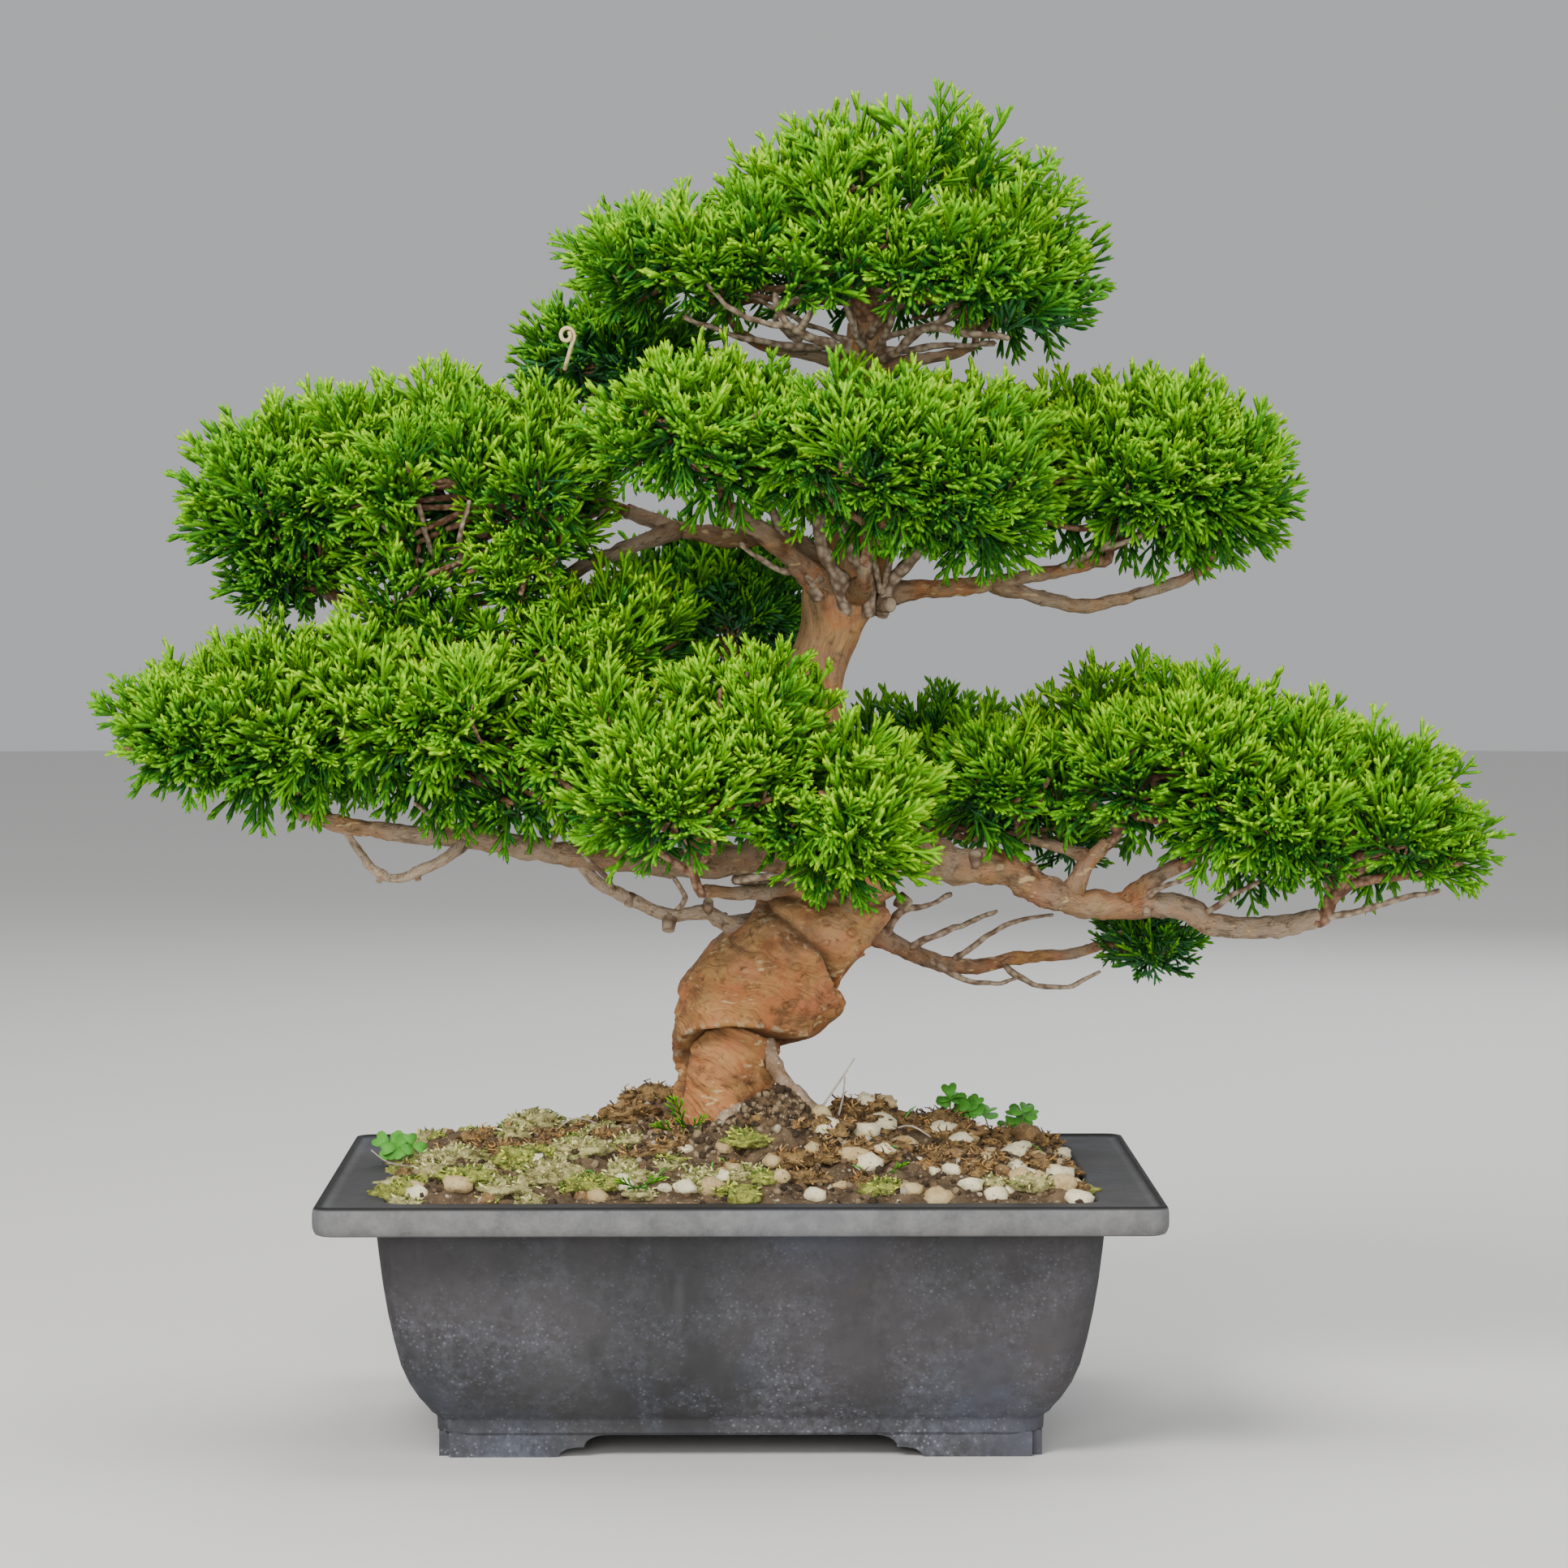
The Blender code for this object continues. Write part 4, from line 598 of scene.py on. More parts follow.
def finish_arrays(name, parts, materials, nodes=()):
    """Joins many small shapes, each an array of points, triangles and material numbers, into one piece."""
    starts = np.cumsum([0] + [len(points) for points, _, _ in parts])
    points = np.concatenate([each for each, _, _ in parts]) * MM + np.array(POT_PLACE)
    corners = np.concatenate([each + start for (_, each, _), start in zip(parts, starts)]).astype(np.int32)
    shades = np.concatenate([each for _, _, each in parts]).astype(np.int32)
    mesh = bpy.data.meshes.new(name)
    mesh.vertices.add(len(points))
    mesh.vertices.foreach_set("co", points.astype(np.float32).ravel())
    mesh.loops.add(3 * len(corners))
    mesh.polygons.add(len(corners))
    mesh.loops.foreach_set("vertex_index", corners.ravel())
    mesh.polygons.foreach_set("loop_start", np.arange(0, 3 * len(corners), 3, dtype=np.int32))
    mesh.polygons.foreach_set("material_index", shades)
    mesh.update(calc_edges=True)
    mesh.shade_smooth()
    finish_mesh(name, mesh, materials, nodes)


def arrays_of(bm):
    """A small shape as arrays: points, triangles and material numbers."""
    bmesh.ops.triangulate(bm, faces=bm.faces)
    bm.verts.index_update()
    points = np.array([vert.co[:] for vert in bm.verts])
    corners = np.array([[vert.index for vert in face.verts] for face in bm.faces])
    shades = np.array([face.material_index for face in bm.faces])
    bm.free()
    return points, corners, shades


def strew(shape, turns, places, shade_steps=None, most=5):
    """Copies of one small shape: a turn-and-size matrix and a place for each, and a step in its shades."""
    points, corners, shades = shape
    copies = np.einsum("kij,nj->kni", turns, points) + places[:, None, :]
    count = len(places)
    indices = corners[None, :, :] + (np.arange(count) * len(points))[:, None, None]
    dealt = np.repeat(shades[None, :], count, axis=0)
    if shade_steps is not None:
        dealt = np.clip(dealt + shade_steps[:, None], 0, most)
    return copies.reshape(-1, 3), indices.reshape(-1, 3), dealt.ravel()


def rods(routes, radii, sides, shade=0):
    """Thin closed rods: an array of routes with equally many points, and the radius at each point."""
    count, length, _ = routes.shape
    along = np.gradient(routes, axis=1)
    along /= np.linalg.norm(along, axis=2, keepdims=True) + 1e-9
    helper = np.where(np.abs(along[:, :1, 2:3]) > 0.8, np.array((1.0, 0.0, 0.0)), np.array((0.0, 0.0, 1.0)))
    side = np.cross(along, np.broadcast_to(helper, along.shape))
    side /= np.linalg.norm(side, axis=2, keepdims=True) + 1e-9
    angles = (np.arange(sides) * math.tau / sides)[None, None, :, None]
    ring = np.cos(angles) * side[:, :, None, :] + np.sin(angles) * np.cross(along, side)[:, :, None, :]
    rings = routes[:, :, None, :] + ring * radii[:, :, None, None]
    tips = np.stack((routes[:, 0] - along[:, 0] * radii[:, :1] * 0.5,
                     routes[:, -1] + along[:, -1] * radii[:, -1:] * 0.9), axis=1)
    points = np.concatenate((rings.reshape(count, -1, 3), tips), axis=1)
    corners = []
    top, foot = (length - 1) * sides, length * sides
    for number in range(sides):
        after = (number + 1) % sides
        for low in range(0, top, sides):
            high = low + sides
            corners += ((low + number, high + number, high + after),
                        (low + number, high + after, low + after))
        corners += ((number, after, foot), (top + after, top + number, foot + 1))
    indices = np.array(corners)[None, :, ::-1] + (np.arange(count) * points.shape[1])[:, None, None]
    indices = indices.reshape(-1, 3)
    return points.reshape(-1, 3), indices, np.full(len(indices), shade)


def limb_rod(stations, sides, sway=0.0, rough=0.0, grain=1.0):
    """One limb as a rod through its stations, swayed and roughened a little."""
    points = [point + noise.noise_vector(point / 6.0) * sway for point, _ in stations]
    radii = [radius * (1.0 + rough * noise.noise(point / grain)) for point, radius in stations]
    return rods(np.array([points]), np.array([radii]), sides)


def sleeve(around, along, place):
    """A closed tube: a grid wrapped round, its seam merged and its ends filled; place gives each point."""
    bm = bmesh.new()
    hollow = bm.verts.layers.float.new("hollow")
    lip = bm.verts.layers.float.new("lip")
    grain = bm.verts.layers.float_vector.new("grain")
    bmesh.ops.create_grid(bm, x_segments=around, y_segments=along, size=0.5)
    for vert in bm.verts:
        turn = (vert.co.x + 0.5) % 1.0
        if turn > 1.0 - 0.25 / around or turn < 0.25 / around:
            turn = 0.0
        vert.co, vert[hollow], vert[grain], vert[lip] = place(turn, vert.co.y + 0.5)
    bmesh.ops.remove_doubles(bm, verts=bm.verts, dist=1e-4)
    made = bmesh.ops.holes_fill(bm, edges=[edge for edge in bm.edges if edge.is_boundary])
    bmesh.ops.poke(bm, faces=made["faces"])
    bmesh.ops.recalc_face_normals(bm, faces=bm.faces)
    return bm


def stretched(bm, edges):
    """Extrudes an open rim of edges, and gives the new rim and its points."""
    made = bmesh.ops.extrude_edge_only(bm, edges=edges)["geom"]
    rim = [each for each in made if isinstance(each, bmesh.types.BMEdge) and each.is_boundary]
    return rim, [each for each in made if isinstance(each, bmesh.types.BMVert)]


def thickened(bm, faces, move):
    """Extrudes faces that way."""
    made = bmesh.ops.extrude_face_region(bm, geom=faces)["geom"]
    bmesh.ops.translate(bm, vec=move, verts=[each for each in made if isinstance(each, bmesh.types.BMVert)])


# Materials
class Shading:
    """Nodes of a material or a group. A value may be a plain one or the socket that feeds it."""

    def __init__(self, tree):
        self.tree = tree

    def feed(self, socket, value):
        if isinstance(value, bpy.types.NodeSocket):
            self.tree.links.new(value, socket)
        else:
            socket.default_value = (*value, 1.0) if socket.type == "RGBA" else value

    def add(self, kind, inputs, out=0, **settings):
        """A node with its settings and inputs: one of its outputs."""
        node = self.tree.nodes.new(f"ShaderNode{kind}")
        for name, value in settings.items():
            setattr(node, name, value)
        for name, value in inputs.items():
            self.feed(node.inputs[name], value)
        return node.outputs[out]

    def math(self, operation, *values, **settings):
        return self.add("Math", dict(enumerate(values)), operation=operation, **settings)

    def times(self, first, *others):
        for other in others:
            first = self.math("MULTIPLY", first, other)
        return first

    def noise(self, place, scale, detail, roughness, distortion=0.0):
        return self.add("TexNoise", {
            "Vector": place, "Scale": scale, "Detail": detail, "Roughness": roughness,
            "Distortion": distortion})

    def cells(self, place, scale):
        """Distance from the middle of the nearest cell."""
        return self.add("TexVoronoi", {"Vector": place, "Scale": scale})

    def ramp(self, value, low=0.0, high=1.0, first=0.0, last=1.0):
        """Goes from first to last where the value passes from low to high."""
        return self.add("MapRange", {
            "Value": value, "From Min": low, "From Max": high, "To Min": first, "To Max": last})

    def mask(self, place, scale, low, high, detail=3.0, roughness=0.55):
        """From 0 to 1 where a noise passes from low to high."""
        return self.ramp(self.noise(place, scale, detail, roughness), low, high)

    def moved(self, place, **changes):
        """The place moved by Location and stretched by Scale."""
        return self.add("Mapping", {"Vector": place, **changes})

    def mix(self, mask, first, second):
        """Two colours mixed by a mask."""
        return self.add("Mix", {0: mask, 6: first, 7: second}, 2, data_type="RGBA")

    def bump(self, strength, distance, height, invert=False):
        return self.add("Bump", {"Strength": strength, "Distance": distance, "Height": height}, invert=invert)


class Finish(Shading):
    """A material: its nodes, the place on the object, and the main shader."""

    def __init__(self, name, specular):
        self.material = bpy.data.materials.new(name)
        self.material.use_nodes = True
        super().__init__(self.material.node_tree)
        self.shader = self.tree.nodes["Principled BSDF"].inputs
        self.shader["Specular IOR Level"].default_value = specular
        self.place = self.add("TexCoord", {}, "Object")

    def made(self, colour, roughness, normal=None):
        self.feed(self.shader["Base Color"], colour)
        self.feed(self.shader["Roughness"], roughness)
        if normal:
            self.feed(self.shader["Normal"], normal)
        return self.material


def shaded(colour, share):
    """A colour made darker or lighter."""
    return tuple(share * value for value in colour)


def shared_effect(name, inputs, fill):
    """A node group, made once: inputs are name, kind and default; fill gives its outputs from its nodes."""
    if name in bpy.data.node_groups:
        return bpy.data.node_groups[name]
    group = bpy.data.node_groups.new(name, "ShaderNodeTree")
    for label, kind, value in inputs:
        socket = group.interface.new_socket(label, in_out="INPUT", socket_type=f"NodeSocket{kind}")
        if value is not None:
            socket.default_value = value
    nodes = Shading(group)
    outputs = fill(nodes, group.nodes.new("NodeGroupInput").outputs)
    for label in outputs:
        kind = "Vector" if label == "Normal" else "Float"
        group.interface.new_socket(label, in_out="OUTPUT", socket_type=f"NodeSocket{kind}")
    end = group.nodes.new("NodeGroupOutput").inputs
    for label, value in outputs.items():
        nodes.feed(end[label], value)
    return group


def bark_effect(nodes, given):
    """Shared by every bark: fibres and thin cracks along the grain, flakes, and the relief they make."""
    place = given["Place"]
    fibres = nodes.noise(given["Grain"], 3.6, 6.0, 0.66, 0.5)
    lines = nodes.noise(given["Grain"], given["Crack scale"], 2.0, 0.5, 0.8)
    crack = nodes.ramp(nodes.math("ABSOLUTE", nodes.math("SUBTRACT", lines, 0.5)), 0.0, 0.013, 1.0, 0.0)
    cracks = nodes.times(crack, nodes.mask(place, 130.0, 0.52, 0.60))
    flakes = nodes.mask(place, given["Flake scale"], 0.56, 0.62, 3.0, 0.6)
    height = nodes.times(nodes.noise(place, 700.0, 3.0, 0.6), 0.30)
    for part, share in ((flakes, 0.30), (fibres, 1.1), (cracks, -0.7)):
        height = nodes.math("MULTIPLY_ADD", part, share, height)
    return {"Fibres": fibres, "Cracks": cracks, "Flakes": flakes,
            "Normal": nodes.bump(given["Relief"], 0.0012, height)}


def bark_material(name, look, grey, relief, crack_scale, flake_scale):
    """Bark from the red and tan of the smooth trunk (grey 0) to old grey flaking bark (grey 1)."""
    nodes = Finish(name, 0.22)
    place = nodes.place
    grain, hollow, lip = (
        nodes.add("Attribute", {}, kind, attribute_name=each)
        for each, kind in (("grain", "Vector"), ("hollow", "Fac"), ("lip", "Fac")))
    group = shared_effect("Bark fibres", (
        ("Grain", "Vector", None), ("Place", "Vector", None), ("Crack scale", "Float", 1.0),
        ("Flake scale", "Float", 180.0), ("Relief", "Float", 0.5)), bark_effect)
    fibres, cracks, flakes, normal = nodes.add("Group", {
        "Grain": grain, "Place": place, "Crack scale": crack_scale, "Flake scale": flake_scale,
        "Relief": relief}, node_tree=group).node.outputs
    high = nodes.ramp(nodes.add("SeparateXYZ", {"Vector": place}, "Z"), 0.165, 0.20)
    stain = nodes.moved(place, Location=(0.4, 0.2, 0.1), Scale=(1.0, 1.0, 1.6))
    chip = nodes.mask(nodes.moved(place, Scale=(0.7, 0.7, 1.8)), 250.0, 0.63, 0.68, 1.0)
    colour = look.red
    for mask, over in (
            (nodes.mask(place, 52.0, 0.42, 0.60, 5.0, 0.62), look.tan),
            (nodes.times(nodes.mask(place, 62.0, 0.50, 0.62, 5.0, 0.65), 0.6 - 0.3 * grey), look.pink),
            (nodes.times(nodes.mask(stain, 46.0, 0.50, 0.62, 6.0, 0.72), 0.74), look.stain),
            (nodes.times(nodes.mask(place, 85.0, 0.40, 0.56, 6.0, 0.7), high, 0.6), look.grey),
            (nodes.mask(place, 30.0, 0.70 - 0.40 * grey, 0.90 - 0.40 * grey, 4.0, 0.6),
             tuple((1.0 + 0.35 * grey) * value + 0.08 * grey for value in look.grey)),
            (nodes.ramp(fibres, 0.33, 0.48, 0.60, 0.0), look.stain),
            (nodes.ramp(fibres, 0.56, 0.70, 0.0, 0.30), look.pale),
            (nodes.times(cracks, 0.75), (0.085, 0.040, 0.020)),
            (nodes.times(flakes, 0.12 + 0.22 * grey), look.pale),
            (nodes.times(nodes.mask(place, 200.0, 0.57, 0.66, 5.0, 0.7), 0.55), look.crevice),
            (nodes.times(chip, nodes.mask(place, 34.0, 0.50, 0.60, 2.0), 0.8), (0.72, 0.55, 0.28)),
            (nodes.math("MULTIPLY", hollow, 0.92, use_clamp=True), look.crevice),
            (nodes.times(nodes.mask(place, 300.0, 0.50, 0.58, 3.0, 0.6), lip, 0.65), (0.62, 0.54, 0.36))):
        colour = nodes.mix(mask, colour, over)
    return nodes.made(colour, nodes.ramp(fibres, 0.3, 0.7, 0.80, 0.60), normal)


def twig_material(name, colour, dark, scale=420.0):
    """Scaly young bark: beads of old leaf scales along the twig."""
    nodes = Finish(name, 0.3)
    beads = nodes.cells(nodes.place, scale)
    patch = nodes.mask(nodes.place, 70.0, 0.36, 0.68)
    dusty = tuple(0.55 * a + 0.45 * b for a, b in zip(colour, (0.45, 0.36, 0.27)))
    base = nodes.mix(nodes.ramp(beads, 0.25, 0.75), nodes.mix(patch, colour, dusty), dark)
    return nodes.made(base, nodes.ramp(patch, first=0.62, last=0.82), nodes.bump(0.8, 0.0008, beads, True))


def leaf_effect(nodes, given):
    """Shared by the leaf materials: overlapping scales about a millimetre long, and their shine."""
    cells = nodes.cells(given["Place"], given["Scale"])
    return {"Roughness": nodes.ramp(cells, 0.1, 0.7, 0.42, 0.66),
            "Normal": nodes.bump(0.55, 0.0005, cells, True)}


def leaf_materials(look):
    """The shades of the shoots, from the deepest to the newest tips; each shade is one plain colour. They are partly
    the shoots' own colour and partly painted light and shade.
    """
    group = shared_effect("Scale leaves", (("Place", "Vector", None), ("Scale", "Float", 780.0)), leaf_effect)
    made = []
    for shade in ("blue", "deep", "middle", "fresh", "light", "tip"):
        material = bpy.data.materials.get(f"leaf_{shade}")
        if not material:
            nodes = Finish(f"leaf_{shade}", 0.14)
            scales = nodes.add("Group", {}, node_tree=group).node
            nodes.feed(scales.inputs["Place"], nodes.place)
            material = nodes.made(getattr(look, shade), *scales.outputs)
        made.append(material)
    return made


def pot_material(look):
    """Dark unglazed ware with cloudy patches, lime bloom near the foot and a rubbed rim. The rim's top face is
    darkened as painted shade, as if it reflected a dark room.
    """
    nodes = Finish("pot_ware", 0.15)
    place = nodes.moved(nodes.place, Location=(-POT_X * MM, -POT_Y * MM, 0.0))
    x, y, height = nodes.add("SeparateXYZ", {"Vector": place}).node.outputs
    cloud = nodes.mask(place, 22.0, 0.34, 0.68, 4.0, 0.6)
    cool = nodes.moved(place, Location=(0.3, 0.1, 0.2))
    streak = nodes.moved(place, Scale=(1.0, 1.0, 0.18))
    low = nodes.ramp(height, 0.085, 0.020, 0.15, 0.75)
    drift = nodes.mask(place, 34.0, 0.42, 0.62, 4.0, 0.65)
    bloom = nodes.times(nodes.ramp(nodes.cells(place, 480.0), 0.30, 0.10, 0.0, 0.7), drift, low)
    haze = nodes.times(nodes.mask(place, 330.0, 0.42, 0.70, 6.0, 0.75), drift)
    off_x, off_y = (nodes.math("DIVIDE", nodes.math("ABSOLUTE", each), side / 2 * MM)
                    for each, side in ((x, RIM_WIDTH), (y, RIM_DEPTH)))
    edge = nodes.ramp(nodes.math("MAXIMUM", off_x, off_y), 0.955, 1.0)
    rubbed = nodes.math("MULTIPLY_ADD", nodes.mask(place, 90.0, 0.30, 0.62, 6.0, 0.8), 0.6, 0.36)
    colour = shaded(look.glaze, 0.80)
    for mask, over in (
            (cloud, shaded(look.glaze, 1.30)),
            (nodes.times(nodes.mask(place, 13.0, 0.48, 0.68), 0.40), (0.088, 0.077, 0.078)),
            (nodes.times(nodes.mask(cool, 17.0, 0.52, 0.70), 0.5), (0.085, 0.098, 0.132)),
            (nodes.times(nodes.mask(streak, 120.0, 0.60, 0.78, 2.0), 0.12), (0.16, 0.16, 0.175)),
            (bloom, look.bloom),
            (nodes.times(haze, nodes.times(low, 0.42)), look.bloom),
            (nodes.times(nodes.mask(place, 150.0, 0.50, 0.70, 6.0, 0.8), 0.4), shaded(look.glaze, 0.62)),
            (nodes.times(edge, nodes.ramp(height, 0.0944, 0.0936, 0.0, 0.85), rubbed), look.worn),
            # Painted shade: the rim's top face is darkened, as if it reflected a dark room
            (nodes.ramp(height, 0.0938, 0.0946, 0.0, 0.9), shaded(look.glaze, 0.22))):
        colour = nodes.mix(mask, colour, over)
    relief = nodes.math("MULTIPLY_ADD", cloud, 0.5, nodes.noise(place, 420.0, 4.0, 0.6))
    relief = nodes.math("MULTIPLY_ADD", bloom, 0.35, relief)
    return nodes.made(colour, nodes.ramp(cloud, first=0.68, last=0.82), nodes.bump(0.35, 0.0006, relief))


def grain_material(name, first, second, scale, rough=0.9, depth=0.0012, speck=None):
    """A rough natural surface of two colours, with optional specks of a third."""
    nodes = Finish(name, 0.25)
    colour = nodes.mix(nodes.mask(nodes.place, scale, 0.36, 0.64, 4.0, 0.65), first, second)
    if speck:
        colour = nodes.mix(nodes.mask(nodes.place, scale * 5.0, 0.62, 0.70, 2.0), colour, speck)
    grit = nodes.noise(nodes.place, scale * 4.0, 5.0, 0.65)
    return nodes.made(colour, nodes.ramp(grit, first=rough - 0.12, last=rough), nodes.bump(0.8, depth, grit))


# Pot
def rounded_rectangle(half_x, half_y, corner, z):
    """Points round a rectangle with rounded corners, in order."""
    points = []
    for sign_x, sign_y, start in ((1, 1, 0), (-1, 1, 90), (-1, -1, 180), (1, -1, 270)):
        middle = Vector((sign_x * (half_x - corner), sign_y * (half_y - corner), z))
        for step in range(CORNER_STEPS + 1):
            angle = math.radians(start + 90 * step / CORNER_STEPS)
            points.append(middle + Vector((corner * math.cos(angle), corner * math.sin(angle), 0)))
    return points


def loft(bm, rings):
    """Extrudes a closed ring of edges from one outline to the next, and closes both ends."""
    first = [bm.verts.new(point) for point in rings[0]]
    foot = edges = [bm.edges.new((a, b)) for a, b in zip(first, first[1:] + first[:1])]
    for ring in rings[1:]:
        edges, verts = stretched(bm, edges)
        for vert, point in zip(verts, ring):
            vert.co = point
    bmesh.ops.holes_fill(bm, edges=foot)
    bmesh.ops.holes_fill(bm, edges=edges)
    bmesh.ops.recalc_face_normals(bm, faces=bm.faces)


def body_half(height, within=0.0):
    """Half width and half depth of the pot's body at a height, or of what lies that far within it."""
    inset = RIM_OVERHANG + read_table(BODY_OUTLINE, height) + within
    return RIM_WIDTH / 2 - inset, RIM_DEPTH / 2 - inset


def foot_leg(reach, across, turn, corner_x, corner_y):
    """One leg of a bracket foot: full height, then two rounded steps up to the pot's underside."""
    top = FOOT_HEIGHT + 1.0
    outline = [(0.0, 0.0), (reach, 0.0)]
    for start, low, high in FOOT_CURLS:
        for step in range(FOOT_CURL_STEPS + 1):
            angle = math.pi / 2 * step / FOOT_CURL_STEPS
            along = start + FOOT_CURL_START + FOOT_CURL_LENGTH * (1 - math.cos(angle))
            outline.append((reach + FOOT_STEP * along, low + (high - low) * math.sin(angle)))
    outline += ((reach + FOOT_STEP, top), (0.0, top))
    bm = bmesh.new()
    thickened(bm, [bm.faces.new([bm.verts.new((x, 0.0, z)) for x, z in outline])], (0.0, across, 0.0))
    bmesh.ops.rotate(bm, matrix=Matrix.Rotation(turn, 3, "Z"), verts=bm.verts)
    bmesh.ops.translate(bm, vec=(corner_x, corner_y, 0.0), verts=bm.verts)
    bmesh.ops.recalc_face_normals(bm, faces=bm.faces)
    return bm


def scrap_object(name, bm):
    """A helper object for a Boolean, removed once that is applied."""
    mesh = bpy.data.meshes.new(name)
    bm.to_mesh(mesh)
    bm.free()
    helper = bpy.data.objects.new(name, mesh)
    bpy.context.scene.collection.objects.link(helper)
    return helper


def combine(target, pieces, operation):
    """Applies one Boolean of several helpers to a helper, and removes them."""
    group = bpy.data.collections.new(f"{target.name}_pieces")
    bpy.context.scene.collection.children.link(group)
    for piece in pieces:
        bpy.context.scene.collection.objects.unlink(piece)
        group.objects.link(piece)
    change = target.modifiers.new(operation.title(), "BOOLEAN")
    change.operation = operation
    change.operand_type = "COLLECTION"
    change.collection = group
    change.solver = "EXACT"
    graph = bpy.context.evaluated_depsgraph_get()
    mesh = bpy.data.meshes.new_from_object(target.evaluated_get(graph))
    target.modifiers.clear()
    target.data = mesh
    for piece in pieces:
        bpy.data.objects.remove(piece)
    bpy.data.collections.remove(group)


def make_pot(look):
    """The pot: curved body, overhanging rim with a raised lip, hollow, bracket feet and drain holes."""
    inner = BODY_CORNER - WALL
    rings = [rounded_rectangle(*body_half(height), BODY_CORNER, height) for height, _ in BODY_OUTLINE]
    rings += [rounded_rectangle(
        RIM_WIDTH / 2 - inset, RIM_DEPTH / 2 - inset, look.corner - tighter, RIM_FOOT + above)
        for inset, tighter, above in RIM_SECTION]
    rings += [rounded_rectangle(*body_half(RIM_FOOT, WALL - eased), inner + eased, height)
              for eased, height in MOUTH_SECTION]
    rings += [rounded_rectangle(*body_half(height, WALL), inner, height) for height in HOLLOW_HEIGHTS]
    bm = bmesh.new()
    loft(bm, rings)
    body = scrap_object("pot_helper", bm)
    half_x, half_y = body_half(FOOT_HEIGHT)
    inset = BODY_CORNER * (1 - math.sqrt(0.5)) + 0.2
    legs = []
    for sign_x, sign_y in ((-1, -1), (-1, 1), (1, -1), (1, 1)):
        across = FOOT_THICK * sign_x * sign_y
        for reach, thick, turn, x, y in (
                (FOOT_REACH_X, across, 0.0 if sign_x < 0 else math.pi, half_x - inset, half_y - FOOT_SINK),
                (FOOT_REACH_Y, -across, -sign_y * math.pi / 2, half_x - FOOT_SINK, half_y - inset)):
            legs.append(scrap_object("leg", foot_leg(reach - inset, thick, turn, sign_x * x, sign_y * y)))
    combine(body, legs, "UNION")
    drains = []
    for side in (-1, 1):
        bm = bmesh.new()
        bmesh.ops.create_cone(
            bm, cap_ends=True, segments=40, radius1=DRAIN_RADIUS, radius2=DRAIN_RADIUS, depth=FLOOR_TOP,
            matrix=Matrix.Translation((side * DRAIN_X, 0.0, (FLOOR_TOP + FOOT_HEIGHT) / 2)))
        drains.append(scrap_object("drain", bm))
    combine(body, drains, "DIFFERENCE")
    bm = bmesh.new()
    bm.from_mesh(body.data)
    bpy.data.objects.remove(body)
    bmesh.ops.dissolve_degenerate(bm, dist=1e-4, edges=bm.edges)
    bmesh.ops.triangulate(bm, faces=[face for face in bm.faces if len(face.verts) > 4])
    finish_bmesh("pot_ware", bm, [pot_material(look)], ["pot"], sharp=POT_SHARP)


# Soil
def soil_share(x, y):
    """How far in from the pot's wall a place lies: 0 at the wall, 1 at the flat seat under the trunk."""
    half_x, half_y = body_half(RIM_FOOT, WALL)
    off_x = x - SEAT_X
    angle = math.atan2(y / RIM_DEPTH, off_x / RIM_WIDTH)
    seat = math.hypot(SEAT_REACH_X * math.cos(angle), SEAT_REACH_Y * math.sin(angle))
    here = math.hypot(off_x, y)
    if here <= seat:
        return 1.0
    to_side = (half_x - math.copysign(SEAT_X, off_x)) / max(1e-6, abs(off_x))
    wall = here * min(to_side, half_y / max(1e-6, abs(y)))
    return max(0.0, min(1.0, (wall - here) / (wall - seat)))


def ground(x, y):
    """Height of the soil's surface, with its heaps, its clods and the small mound against the trunk."""
    share = soil_share(x, y)
    height = SOIL_EDGE + SOIL_RISE * (1.0 - (1.0 - share) ** SOIL_POWER)
    height += (SEAT_Z - 1.0 - SOIL_EDGE - SOIL_RISE) * ease(SEAT_FOOT, 1.0, share)
    heaps = 0.0
    for heap_x, heap_y, reach, top in SOIL_HEAPS:
        off = ((x - heap_x) ** 2 + (y - heap_y) ** 2) / reach ** 2
        if off < 1.0:
            heaps += top * (1.0 - off) ** HEAP_POWER
    coarse, middle, fine = (high * noise.noise(Vector((x, y, layer)) / size) for layer, size, high in CLODS)
    mound_x, mound_y, reach_x, reach_y, mound = SOIL_MOUND
    clods = (coarse + middle) * min(1.0, 0.3 + share * 6.0) + fine
    return (height + heaps * min(1.0, share / HEAP_FADE) + clods
            + mound * bell(x, mound_x, reach_x) * bell(y, mound_y, reach_y))


